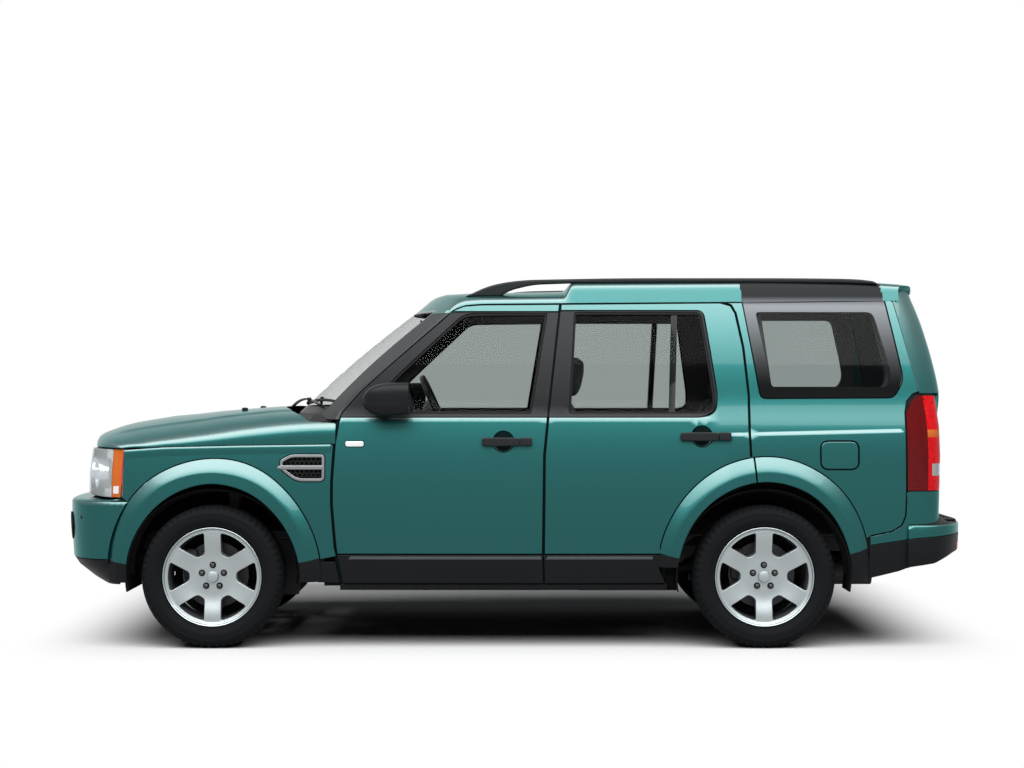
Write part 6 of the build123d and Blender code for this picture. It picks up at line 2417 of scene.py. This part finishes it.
                spot = form.at(np.array([[s * form.u(y, 1), 0.905]]))[0]
                ahead = unit(np.array([1.0, -0.35 * s * (y > 0.6), 0]))
                piece.lathe([(0.07, 0.001), (0.068, 0.03), (0.05, 0.055), (0.02, radius),
                             (0.016, radius + 0.004),
                             (0.02, radius + 0.009), (0.07, radius + 0.012)], tuple(spot + ahead * 0.008),
                            Look.WHITE_LAMP, axis=tuple(ahead), count=40, facing=tuple(-ahead))
                piece.lathe([(0.03, 0.001), (0.032, 0.02), (0.045, 0.034), (0.066, 0.034)], tuple(spot),
                            Look.CHROME, axis=tuple(ahead), count=32, facing=tuple(-ahead))
        piece.build(nodes=("headlamps",))

    def grille(self) -> None:
        """Make the grille: a frame, three bars and a dark mesh behind them."""
        piece, form = Piece("grille_bars"), self.face
        a = form.u(0.462, 1)
        frame = loop((a, 0.80, 0.015), (a, 1.036, 0.02), (-a, 1.036, 0.02), (-a, 0.80, 0.015), step=0.04)
        inner = grown(frame, -0.016)
        piece.shell(form, frame, Look.SATIN_BLACK, holes=(inner,), depth=-0.003, thickness=0.05, edge=0.005,
                    cell=0.04)
        piece.shell(form, grown(inner, 0.002), Look.BLACK, depth=0.045, thickness=0.004, cell=0.06)
        for z in (0.858, 0.918, 0.978):
            bar = loop((a - 0.013, z - 0.017), (a - 0.013, z + 0.017), (-a + 0.013, z + 0.017),
                       (-a + 0.013, z - 0.017), step=0.04)
            piece.shell(form, bar, Look.GREY_STRIP, depth=0.001, thickness=0.03, edge=0.008, cell=0.03)
        for u in np.arange(-a + 0.04, a - 0.02, 0.04):
            slat = box(u - 0.002, 0.812, u + 0.002, 1.024, step=0.1)
            piece.shell(form, slat, Look.BLACK, depth=0.028, thickness=0.014, edge=0.001, cell=1.0)
        piece.build(nodes=("grille",))


@dataclass
class RearBumper:
    """Rear bumper with its painted corners, tread and black lower part."""

    form: PlanForm = PlanForm(
        superellipse(2.03, 0.3865, 0.905, 3.3),
        ((0.33, 0.07), (0.38, 0.045), (0.44, 0.016), (0.50, 0.004), (0.59, 0.0), (0.632, 0.0), (0.640, 0.003),
         (0.6445, 0.010)))

    top: float = 0.6445

    def split(self, x: Array) -> Array:
        """Height of the line between paint and black."""
        return np.interp(x, [1.75, 1.86, 2.10, 2.35], [0.521, 0.539, 0.575, 0.592])

    def floor(self, x: Array) -> Array:
        """Height of the lower edge."""
        return np.interp(x, [1.80, 1.89, 2.02, 2.07, 2.21, 2.32, 2.37],
                         [0.352, 0.368, 0.40, 0.42, 0.44, 0.49, 0.50])

    def band(self, piece: Piece, low: Array, high: Array, u: Array, look: Look) -> None:
        """Add the band between two lines over the plan lengths u, mirrored to both sides.

        Args:
            piece: Piece that takes the faces.
            low: Heights of the lower line.
            high: Heights of the upper line.
            u: Lengths along the plan.
            look: Finish.
        """
        ring = np.concatenate([np.stack([u, low], 1), np.stack([-u[::-1], low[::-1]], 1)])
        top = np.concatenate([np.stack([-u, high], 1), np.stack([u[::-1], high[::-1]], 1)])
        piece.shell(self.form, resample(np.concatenate([ring, top]), 0.03), look, thickness=0.025, edge=0.003,
                    cell=0.035)

    def build(self) -> None:
        """Make the bumper."""
        paint, black, form = Piece("rear_bumper_paint"), Piece("rear_bumper_lower"), self.form
        length, points = form.table
        stop = form.u(2.058, 0)
        u = np.linspace(stop, 0.02, 60)
        x = np.interp(u, length, points[:, 0])
        self.band(paint, self.split(x), 0 * u + self.top, u, Look.PAINT)
        self.band(black, self.floor(x), self.split(x) - 0.003, u, Look.BLACK)
        for side in Side:
            skin = SideSkin(side)
            ring = np.array([
                (1.862, self.split(1.862)), (2.0635, self.split(2.0635)), (2.0635, 0.6425), (2.059, 0.66),
                (2.0575, 0.81), (2.0545, 0.81), (2.0495, 0.69), (2.030, 0.637), (1.975, 0.605),
                (1.862, 0.582)])
            paint.shell(skin, resample(ring, 0.03), Look.PAINT, depth=-0.0006, edge=0.001, cell=0.04)
            x = np.linspace(2.0635, 1.858, 10)
            ring = np.concatenate([np.stack([x, self.split(x) - 0.003], 1),
                                   np.stack([x[::-1], self.floor(x[::-1])], 1)])
            black.shell(skin, resample(ring, 0.03), Look.BLACK, depth=-0.0006, edge=0.001, cell=0.04)
            TailLamps().band(paint, side, (0.646, 0.818), (0.0, 1.0), Look.PAINT, rows=6, columns=20)
            lid = TailLamps().wrap(side, 0.818 + np.zeros(20), np.linspace(0, 1, 20), 0.0)
            paint.grid(np.array([lid, lid * (1, 0.90, 1)]), Look.PAINT_EDGE, facing=(0, 0, 1))
            middle = side.value * form.u(0.62, 1)
            mark = box(middle - 0.09, 0.50, middle + 0.09, 0.54, 0.01, step=0.02)
            black.shell(form, mark, Look.RED_DARK, depth=-0.003, thickness=0.01, edge=0.003, cell=0.02)
        u = np.linspace(-1, 1, 121) * stop
        edge = form.at(np.stack([u, 0 * u + self.top], 1))
        inward = -form.normal(np.stack([u, 0 * u + 0.61], 1)) * (1, 1, 0)
        rise = np.outer(smooth((np.abs(edge[:, 1]) - 0.755) / 0.03), (0, 0, 1))
        pad = [edge, edge + inward * 0.008 + rise * 0.004, edge + inward * 0.085 + rise * 0.046,
               edge + inward * 0.17 + rise * 0.048]
        black.grid(np.array(pad), Look.BLACK, facing=(0, 0, 1))
        black.pillow((2.325, 0, 0.651), (0.10, 1.20, 0.012), Look.BLACK, 0.12, 48)
        for x in np.arange(2.29, 2.366, 0.018):
            black.pillow((x, 0, 0.6575), (0.007, 1.14, 0.005), Look.BLACK, 0.2, 16)
        paint.build(nodes=("rear_bumper",))
        black.build()


# ---------------------------------------------------------------- wheels


@dataclass(frozen=True)
class WheelForm(Form):
    """Face of a wheel over u = x and v = z from its axle: it dishes inwards towards the hub."""

    centre: Point
    side: int
    offset: float = 0.070
    dish: float = 0.024

    @property
    def flip(self) -> bool:
        """Normals turn over on the right."""
        return self.side > 0

    def at(self, uv: Array) -> Array:
        """Face point: its offset grows with the radius by a soft step.

        Args:
            uv: Surface coordinates, (..., 2).

        Returns:
            Points, (..., 3).
        """
        radius = np.linalg.norm(uv, axis=-1)
        y = self.offset + self.dish * smooth((radius - 0.09) / 0.13)
        return np.array(self.centre) + np.stack([uv[..., 0], self.side * y, uv[..., 1]], -1)

    def lattice(self, low: Array, high: Array, cell: float) -> Array:
        """Rings of points.

        Args:
            low: Lowest corner; not used.
            high: Highest corner; not used.
            cell: Spacing of the points; not used.

        Returns:
            Points, (n, 2).
        """
        a = np.linspace(0, 2 * np.pi, 73)[:-1]
        r = np.arange(0.04, 0.236, 0.012)
        r, a = np.meshgrid(r, a)
        return np.stack([r * np.cos(a), r * np.sin(a)], -1).reshape(-1, 2)


@dataclass
class RoadWheel:
    """Six-spoke alloy wheel with its disc brake, and the tyre."""

    name: str
    centre: Point
    side: int
    spokes: int = 6
    stud_radius: float = 0.060
    brake: str = "body"

    def window(self, angle: float) -> Array:
        """Outline of one opening: a trapezoid with rounded corners and an outer arc.

        Args:
            angle: Turn round the axle, in radians.

        Returns:
            Outline.
        """
        lean, near, outer = math.radians(30), 0.122, 0.2325

        def half(d: float, spoke: float) -> float:
            """Half width of the opening at a distance from the axle."""
            return (d * math.sin(lean) - spoke) / math.cos(lean)

        inner = half(near, 0.0425)
        turn = math.radians(19.2)
        curve = [(outer * math.cos(a), outer * math.sin(a)) for a in np.linspace(-turn, turn, 9)]
        corners = [(near, -inner, 0.016), (*curve[0], 0.018), *curve[1:-1], (*curve[-1], 0.018),
                   (near, inner, 0.016)]
        ring = loop(*corners, step=0.02)
        c, s = math.cos(angle), math.sin(angle)
        return ring @ np.array([[c, s], [-s, c]])

    def build(self) -> None:
        """Make rim, tyre and brake."""
        piece, form = Piece(f"{self.name}_rim"), WheelForm(self.centre, self.side)
        axis = (0, self.side, 0)
        turn = math.tau / self.spokes
        holes = tuple(self.window(k * turn) for k in range(self.spokes))
        disc = resample(np.array(arc(0, 0, 0.2385, 0, 358, 120)), 1.0)
        piece.shell(form, disc, Look.ALLOY, holes=holes, thickness=0.034, edge=0.003, back=Look.DARK_ALLOY,
                    cell=0.02)
        piece.lathe([(0.104, 0.2595), (0.1095, 0.2585), (0.1105, 0.2565), (0.1095, 0.2540), (0.1055, 0.2515),
                     (0.0995, 0.2495), (0.0965, 0.2470), (0.0955, 0.2440), (0.0950, 0.2400),
                     (0.0935, 0.2370)], self.centre, Look.ALLOY, axis=axis, facing=axis)
        barrel = [(0.088, 0.235), (0.04, 0.226), (-0.06, 0.224), (-0.10, 0.234), (-0.112, 0.2575)]
        piece.lathe(barrel, self.centre, Look.DARK_ALLOY, axis=axis)
        points, faces, look, _ = piece.patches.pop()
        centre = np.array(self.centre)
        piece.add(points, turned(points, faces, (centre - points[faces].mean(1)) * (1, 0, 1)), look)
        piece.lathe([(0.092, 0.001), (0.091, 0.018), (0.088, 0.0275), (0.082, 0.030), (0.066, 0.032)],
                    self.centre, Look.ALLOY, axis=axis, count=48, facing=axis)
        for k in range(5):
            a = math.radians(90 + 72 * k)
            nut = (self.centre[0] + self.stud_radius * math.cos(a), self.centre[1],
                   self.centre[2] + self.stud_radius * math.sin(a))
            piece.lathe([(0.066, 0.0175), (0.0715, 0.0175), (0.0715, 0.001)], nut, Look.BLACK, axis=axis,
                        count=24, facing=axis)
            piece.lathe([(0.066, 0.0110), (0.0865, 0.0105), (0.0885, 0.007), (0.089, 0.001)], nut, Look.DISC,
                        axis=axis, count=6, facing=axis)
        piece.lathe([(-0.062, 0.001), (-0.062, 0.174), (-0.060, 0.175), (-0.038, 0.175), (-0.036, 0.174),
                     (-0.036, 0.095), (0.010, 0.090), (0.012, 0.085), (0.012, 0.001)], self.centre, Look.DISC,
                    axis=axis, count=72)
        piece.build(self.name, nodes=(self.name,))
        tyre = self.name.replace("wheel", "tyre")
        rubber = Piece(f"{tyre}_rubber")
        rubber.grid(self.tyre(), Look.TYRE, wrap=True)
        points, faces, look, _ = rubber.patches.pop()
        away = points - centre
        away = away - unit(away * (1, 0, 1)) * 0.305
        rubber.add(points, turned(points, faces, away[faces].mean(1)), look)
        rubber.build(self.name, nodes=(tyre,))
        caliper = Piece(self.name.replace("wheel", "caliper"))
        caliper.lathe([(-0.070, 0.06), (-0.072, 0.214), (-0.066, 0.220), (-0.069, 0.212), (-0.067, 0.06)],
                      self.centre, Look.LINER, axis=axis, count=60, facing=axis)
        x, y, z = self.centre
        caliper.pillow((x - 0.128, y - self.side * 0.047, z + 0.055), (0.075, 0.085, 0.165), Look.CAST, 0.35,
                       28)
        caliper.build(self.brake)

    def tyre(self) -> Array:
        """Grid of the tyre: grooves run round the tread and notches cut the shoulders.

        Returns:
            Points, (rows, columns, 3).
        """
        outer = [(0.075, 0.236), (0.080, 0.249), (0.092, 0.2590), (0.106, 0.2625), (0.1145, 0.2665),
                 (0.1155, 0.272),
                 (0.121, 0.283), (0.1262, 0.295), (0.1275, 0.305), (0.1272, 0.318), (0.1258, 0.328),
                 (0.1266, 0.331), (0.1258, 0.334), (0.1225, 0.342), (0.118, 0.351), (0.1125, 0.3585),
                 (0.105, 0.3635), (0.098, 0.3668), (0.090, 0.3692), (0.080, 0.3708), (0.0795, 0.3632),
                 (0.0705, 0.3632),
                 (0.070, 0.3716), (0.0345, 0.3725), (0.034, 0.3645), (0.0255, 0.3645), (0.025, 0.3728),
                 (0.0, 0.3729)]
        half = np.array(outer)
        profile = np.vstack([half * (-1, 1), half[-2::-1]])
        count = 240
        a = np.linspace(0, 2 * np.pi, count, endpoint=False)
        turn = (np.arange(count) % 4)[None]
        radius = np.repeat(profile[:, 1:], count, 1)
        shoulder = (radius > 0.350) & (np.abs(profile[:, :1]) > 0.086)
        radius = radius - 0.007 * (shoulder & (turn < 2))
        tread = (radius > 0.3640) & (np.abs(profile[:, :1]) < 0.086)
        radius = radius - 0.003 * (tread & (turn == 2))
        y = self.side * np.repeat(profile[:, :1], count, 1)
        return np.array(self.centre) + np.stack([radius * np.cos(a), y, radius * np.sin(a)], -1)


# ---------------------------------------------------------------- cabin


@dataclass(frozen=True)
class Cushion:
    """One padded seat part: a rounded block swelled by a cloth simulation."""

    name: str
    centre: Point
    size: Point
    tilt: float = 0.0  # degrees about Y, back leaning rearwards
    power: float = 0.32
    fill: float = 0.6
    count: int = 72  # points round the block
    frames: int = 20  # length of the simulation
    reach: float = 0.018  # how far the cloth may move

    def build(self, node: str, seams: tuple[float, ...] = ()) -> bpy.types.Object:
        """Make the part; seams are lines along its width, as shares of the half width.

        Args:
            node: CAD node that the part stands for.
            seams: Lines along the width, as shares of the half width.

        Returns:
            The padded object.
        """
        piece = Piece(self.name)
        piece.pillow((0, 0, 0), self.size, Look.CLOTH, self.power, self.count)
        points, faces, look, _ = piece.patches.pop()
        half = np.array(self.size) / 2
        flat = np.argmin(self.size)
        across = points[:, 1] / half[1]
        dent = sum(np.exp(-(((across - s) / 0.035) ** 2)) for s in seams) if seams else 0 * across
        points[:, flat] -= np.sign(points[:, flat]) * 0.008 * dent
        a = math.radians(self.tilt)
        x, z = points[:, 0].copy(), points[:, 2].copy()
        points[:, 0], points[:, 2] = x * math.cos(a) + z * math.sin(a), z * math.cos(a) - x * math.sin(a)
        piece.add(points + np.array(self.centre), faces, look)
        obj = piece.build(nodes=(node,))
        self.swell(obj)
        return obj

    def swell(self, obj: bpy.types.Object) -> None:
        """Swell the shell by pressure, keep the last frame and hold it inside its own box.

        Args:
            obj: Mesh object.
        """
        before = coordinates(obj)
        remesh = obj.modifiers.new("remesh", "REMESH")
        remesh.mode = "VOXEL"
        remesh.voxel_size = max(0.008, max(self.size) / 48)
        apply(obj, "remesh")
        start = coordinates(obj)
        cloth = obj.modifiers.new("cloth", "CLOTH")
        settings = cloth.settings
        settings.quality = 5
        settings.mass = 0.4
        settings.use_pressure = True
        settings.uniform_pressure_force = 4.0
        settings.effector_weights.gravity = 0.0
        settings.tension_stiffness = settings.compression_stiffness = 30.0
        settings.shear_stiffness = 10.0
        settings.bending_stiffness = 2.0
        cloth.point_cache.frame_start, cloth.point_cache.frame_end = 1, self.frames
        scene = bpy.context.scene
        for step in range(1, self.frames + 1):
            scene.frame_set(step)
        apply(obj, "cloth")
        scene.frame_set(1)
        moved = coordinates(obj)
        shift = moved - start
        reach = np.linalg.norm(shift, axis=1, keepdims=True)
        moved = start + shift * np.minimum(1.0, self.reach / np.maximum(reach, 1e-9))
        moved = np.clip(moved, before.min(0), before.max(0))
        obj.data.vertices.foreach_set("co", moved.astype(np.float32).ravel())
        rounded = obj.modifiers.new("rounded", "SUBSURF")
        rounded.levels = rounded.render_levels = 1
        apply(obj, "rounded")
        obj.data.polygons.foreach_set("use_smooth", np.ones(len(obj.data.polygons), bool))
        obj.data.update()


def coordinates(obj: bpy.types.Object) -> Array:
    """Vertex places of a mesh object.

    Args:
        obj: Mesh object.

    Returns:
        Points, (n, 3).
    """
    values = np.empty(len(obj.data.vertices) * 3, np.float32)
    obj.data.vertices.foreach_get("co", values)
    return values.reshape(-1, 3).astype(float)


def apply(obj: bpy.types.Object, name: str) -> None:
    """Apply one modifier by keeping the evaluated mesh.

    Args:
        obj: Mesh object.
        name: Name of the modifier.
    """
    graph = bpy.context.evaluated_depsgraph_get()
    mesh = bpy.data.meshes.new_from_object(obj.evaluated_get(graph), depsgraph=graph)
    obj.modifiers.remove(obj.modifiers[name])
    old, obj.data = obj.data, mesh
    if not mesh.materials:
        mesh.materials.append(old.materials[0])
    bpy.data.meshes.remove(old)


@dataclass
class Cabin:
    """Dashboard, steering wheel, seats and trims."""

    wheel_centre: Point = (-0.43, -0.37, 1.25)
    wheel_tilt: float = 66.0

    def build(self) -> None:
        """Make every part of the cabin."""
        self.dashboard()
        self.steering_wheel()
        self.seats()

    def dashboard(self) -> None:
        """Make the dashboard, its hood, the console and the levers."""
        piece = Piece("dashboard_trim")
        y = np.linspace(-0.70, 0.70, 57)
        hood = 0.075 * np.exp(-(((y + 0.37) / 0.19) ** 4))
        side = np.array([(-0.985, 1.155), (-0.93, 1.190), (-0.80, 1.212), (-0.68, 1.210), (-0.605, 1.190),
                         (-0.572, 1.140), (-0.575, 1.04), (-0.60, 0.95), (-0.64, 0.86), (-0.70, 0.78),
                         (-0.90, 0.77)])
        lift = np.interp(np.arange(len(side)), [0, 2, 3, 4, 5, 6], [0, 0.3, 1.0, 1.0, 0.3, 0])
        rows = np.stack([side[:, :1] + 0 * y, 0 * side[:, :1] + y, side[:, 1:] + lift[:, None] * hood], -1)
        piece.grid(rows, Look.CABIN, facing=(1, 0, 1))
        for s in (0, -1):
            piece.grid(np.array([rows[:, s], rows[:, s] * (0, 1, 0) + rows[:, s].mean(0) * (1, 0, 1)]),
                       Look.CABIN, facing=(0, 1 if s else -1, 0))
        piece.pillow((-0.61, -0.37, 1.215), (0.05, 0.28, 0.085), Look.GLOSS_BLACK, 0.35, 32)
        piece.pillow((-0.588, 0.0, 1.04), (0.04, 0.20, 0.20), Look.SATIN_BLACK, 0.25, 28)
        piece.pillow((-0.568, 0.0, 1.085), (0.012, 0.165, 0.085), Look.GLOSS_BLACK, 0.2, 24)
        for y in (-0.635, -0.165, 0.165, 0.635):
            piece.pillow((-0.578, y, 1.095), (0.03, 0.085, 0.06), Look.SATIN_BLACK, 0.4, 20)
            for z in (1.08, 1.095, 1.11):
                piece.pillow((-0.562, y, z), (0.008, 0.07, 0.004), Look.BRIGHT, 0.3, 12)
        for y in (-0.055, 0.0, 0.055):
            piece.lathe([(0.0, 0.017), (0.018, 0.015), (0.019, 0.001)], (-0.566, y, 0.985), Look.BRIGHT,
                        axis=(1, 0, 0), count=24)
        piece.pillow((-0.22, 0, 0.665), (0.86, 0.19, 0.17), Look.CABIN, 0.22, 40)
        piece.pillow((0.03, 0, 0.765), (0.30, 0.18, 0.07), Look.CLOTH_TRIM, 0.3, 28)
        piece.bar((-0.36, 0, 0.74), (-0.34, 0, 0.84), 0.009, Look.BRIGHT)
        piece.pillow((-0.338, 0, 0.865), (0.05, 0.045, 0.065), Look.SATIN_BLACK, 0.6)
        piece.bar((-0.64, -0.37, 1.156), (-0.515, -0.37, 1.212), 0.034, Look.SATIN_BLACK)
        for y in (-0.47, -0.27):
            piece.bar((-0.53, -0.37, 1.205), (-0.50, y, 1.235), 0.006, Look.SATIN_BLACK)
        for y, z in ((-0.44, 0.50), (-0.36, 0.50), (-0.28, 0.47)):
            piece.pillow((-0.80, y, z), (0.025, 0.06, 0.075), Look.BLACK, 0.4, 20)
        piece.build(nodes=("dashboard",))

    def steering_wheel(self) -> None:
        """Make the wheel: a rim of round section, three spokes and the boss."""
        piece = Piece("steering_wheel_rim")
        a, b = np.linspace(0, 2 * np.pi, 72, endpoint=False), np.linspace(0, 2 * np.pi, 20, endpoint=False)
        lean = math.radians(self.wheel_tilt)
        axis = np.array([math.sin(lean), 0, math.cos(lean)])
        across, up = np.array([0.0, 1.0, 0.0]), np.array([-math.cos(lean), 0, math.sin(lean)])
        centre = np.array(self.wheel_centre)
        a3, b3 = a[:, None, None], b[None, :, None]
        radius = 0.180 + 0.0145 * np.cos(b3)
        rim = centre + radius * (np.cos(a3) * across + np.sin(a3) * up) + 0.0165 * np.sin(b3) * axis
        rim = np.concatenate([rim, rim[:1]])
        faces = quads(len(rim), 20, True)
        flat = rim.reshape(-1, 3)
        ring = centre + 0.180 * (np.cos(a3) * across + np.sin(a3) * up) + 0 * b3
        ring = np.concatenate([ring, ring[:1]]).reshape(-1, 3)
        piece.add(flat, turned(flat, faces, (flat - ring)[faces].mean(1)), Look.SATIN_BLACK)
        for angle in (5, 175, 270):
            t = math.radians(angle)
            way = math.cos(t) * across + math.sin(t) * up
            path = centre + np.linspace(0.03, 0.175,
                                        8)[:, None] * way - axis * 0.018 * np.linspace(1, 0, 8)[:, None]
            piece.sweep(path, circle(12) * (0.019, 0.008), Look.BRIGHT if angle == 270 else Look.SATIN_BLACK,
                        up=tuple(axis))
        piece.lathe([(-0.05, 0.03), (-0.02, 0.052), (0.006, 0.066), (0.016, 0.062), (0.020, 0.045),
                     (0.021, 0.001)],
                    tuple(centre - axis * 0.018), Look.CABIN, axis=tuple(axis), count=40, facing=tuple(axis))
        piece.build("steering_wheel", nodes=("steering_wheel",))

    def seats(self) -> None:
        """Make the padded seats and the frames under them."""
        frames = Piece("seat_frames")
        for s in (-1, 1):
            side = "left" if s < 0 else "right"
            y = 0.37 * s
            Cushion(f"seat_base_{side}", (-0.115, y, 0.675), (0.56, 0.50, 0.15), tilt=-3).build(
                "front_seats", (-0.55, 0.55))
            Cushion(f"seat_back_{side}", (0.185, y, 1.010), (0.15, 0.49, 0.62), tilt=16).build(
                "front_seats", (-0.55, 0.55))
            Cushion(f"seat_headrest_{side}", (0.312, y, 1.420), (0.110, 0.27, 0.205), tilt=12,
                    power=0.42).build(
                "front_seats")
            for k in (-0.05, 0.05):
                frames.bar((0.262, y + k, 1.27), (0.295, y + k, 1.37), 0.006, Look.CHROME)
            frames.pillow((-0.10, y, 0.56), (0.46, 0.42, 0.10), Look.BLACK, 0.25, 28)
            for k in (-0.2, 0.2):
                frames.pillow((-0.10, y + k, 0.485), (0.56, 0.035, 0.045), Look.STEEL, 0.3, 16)
        width = 0.40 - 0.004
        for y in (-0.40, 0.0, 0.40):
            number = int(round(y / 0.4)) + 2
            Cushion(f"rear_base_{number}", (0.84, y, 0.655), (0.54, width, 0.14), tilt=-4).build(
                "rear_seats", (-0.45, 0.45))
            Cushion(f"rear_back_{number}", (1.115, y, 1.01), (0.14, width, 0.60), tilt=14).build(
                "rear_seats", (-0.45, 0.45))
            Cushion(f"rear_headrest_{number}", (1.196, y, 1.372), (0.09, 0.25, 0.17), tilt=10,
                    power=0.42).build(
                "rear_seats")
            for k in (-0.04, 0.04):
                frames.bar((1.175, y + k, 1.27), (1.192, y + k, 1.33), 0.006, Look.CHROME)
        frames.pillow((0.86, 0, 0.55), (0.48, 1.10, 0.09), Look.BLACK, 0.2, 28)
        frames.build()


@dataclass
class Underbody:
    """Finishes of the CAD nodes that show as they are."""

    finishes: tuple[tuple[str, Look], ...] = (
        ("chassis_frame", Look.UNDERSEAL), ("floor_pan", Look.CARPET), ("wheel_arch_liners", Look.LINER),
        ("engine_block", Look.CAST), ("driveline", Look.CAST), ("exhaust_system", Look.CAST),
        ("fuel_tank", Look.BLACK), ("spare_wheel", Look.TYRE), ("suspension_arms", Look.CAST),
        ("knuckle_left", Look.CAST), ("knuckle_right", Look.CAST), ("rear_hub_carriers", Look.CAST))

    def build(self) -> None:
        """Give each node its finish."""
        for name, look in self.finishes:
            mesh = frame["nodes"][name].data
            mesh.materials.clear()
            mesh.materials.append(look.material())
            log.info("%s: %s", name, look.value.name)


# ---------------------------------------------------------------- studio


def light_path(tree: bpy.types.NodeTree) -> Wire:
    """One for camera, glossy and transmission rays, and zero for the rest.

    Args:
        tree: Node tree.

    Returns:
        The value.
    """
    path = tree.nodes.new("ShaderNodeLightPath")
    seen = Wire(tree, path.outputs["Is Camera Ray"])
    for name in ("Is Glossy Ray", "Is Transmission Ray"):
        seen = seen.math("MAXIMUM", seen, Wire(tree, path.outputs[name]))
    return seen


@dataclass
class Studio:
    """Pale floor, an overhead soft lamp, white surroundings and the camera."""

    camera_place: Point = (-0.0132, -11.75, 1.3807)
    lens: float = 73.0
    ambient: float = 0.045
    floor_albedo: float = 0.46
    footprint: tuple[float, float] = (1.9, 1.65)
    footprint_y: float = 0.8
    fade: float = 0.8

    def build(self) -> None:
        """Make everything round the vehicle."""
        self.floor()
        self.surroundings()
        self.lamp("overhead lamp", (0, -6.9, 6.5), (0, -6.9, 0), (16, 11.0), 5.6)
        camera = bpy.data.cameras.new("camera")
        camera.lens, camera.sensor_width = self.lens, 36.0
        camera.clip_end = 400.0
        obj = bpy.data.objects.new("camera", camera)
        obj.location = self.camera_place
        obj.rotation_euler = (math.pi / 2, 0, 0)
        bpy.context.scene.collection.objects.link(obj)
        bpy.context.scene.camera = obj
        bpy.context.scene.view_settings.view_transform = "Standard"

    def floor(self) -> None:
        """Lay the floor: it takes the shadow near the vehicle and turns plain white further out."""
        mesh = bpy.data.meshes.new("floor")
        mesh.from_pydata([(-150, -150, 0), (150, -150, 0), (150, 150, 0), (-150, 150, 0)], [], [(0, 1, 2, 3)])
        obj = bpy.data.objects.new("floor", mesh)
        bpy.context.scene.collection.objects.link(obj)
        shader = Shader("studio floor")
        place = shader.node("SeparateXYZ", Vector=shader.coords())
        # Distance from the vehicle's footprint, as a share of the fade's width.
        shifts = (0.0, self.footprint_y)
        over = [shader.out(place, k).math("ABSOLUTE", shader.out(place, k) - shifts[k]) - half
                for k, half in enumerate(self.footprint)]
        over = [o.math("MAXIMUM", o, 0.0) for o in over]
        away = ((over[0] * over[0] + over[1] * over[1]) ** 0.5 / self.fade).clamp()
        seen = light_path(shader.tree)
        pale = shader.out(shader.node("BsdfDiffuse", Color=(*(self.floor_albedo,) * 3, 1)))
        white = shader.out(shader.node("Emission", Color=(1, 1, 1, 1), Strength=1.0))
        mesh.materials.append(shader.finish(shader.blend(away * away * (3 - 2 * away) * seen, pale, white)))

    def surroundings(self) -> None:
        """White for the camera and for mirror and glass rays, and a dimmer sky for the rest."""
        world = bpy.data.worlds.new("surroundings")
        world.use_nodes = True
        tree = world.node_tree
        tree.nodes.clear()
        seen = light_path(tree)
        strength = seen * (1 - self.ambient) + self.ambient
        background = tree.nodes.new("ShaderNodeBackground")
        background.inputs["Color"].default_value = (1, 1, 1, 1)
        tree.links.new(strength.socket, background.inputs["Strength"])
        tree.links.new(background.outputs[0], tree.nodes.new("ShaderNodeOutputWorld").inputs["Surface"])
        bpy.context.scene.world = world

    def lamp(self, name: str, place: Point, aim: Point, size: tuple[float, float], radiance: float) -> None:
        """Hang one soft lamp that faces a point.

        Args:
            name: Name of the lamp.
            place: Where it hangs.
            aim: Point that it faces.
            size: Length and width.
            radiance: Brightness of its face.
        """
        light = bpy.data.lights.new(name, "AREA")
        light.shape, light.size, light.size_y = "RECTANGLE", *size
        light.energy = radiance * math.pi * size[0] * size[1]
        obj = bpy.data.objects.new(name, light)
        obj.location = place
        obj.rotation_euler = (Vector(aim) - Vector(place)).to_track_quat("-Z", "Y").to_euler()
        bpy.context.scene.collection.objects.link(obj)


def main() -> None:
    """Build the vehicle and the studio in order."""
    logging.basicConfig(level=logging.INFO, format="%(message)s")
    builders = [FrontWings(), Quarters(), DoorSet(), BodyFrame(), Bonnet(), Cowl(), Windscreen(), Roof(),
                Tailgate(), TailLamps(), Nose(), RearBumper(), Cabin(), Underbody(), Studio()]
    for axle, x in AXLES.items():
        for side in Side:
            name = side.name.lower()
            builders.append(RoadWheel(f"wheel_{axle}_{name}", (x, side.value * HALF_TRACK, HUB_Z), side.value,
                                      brake=f"knuckle_{name}" if axle == "front" else "body"))
    for builder in builders:
        log.info("building %s", type(builder).__name__)
        builder.build()


if __name__ == "__main__":
    main()
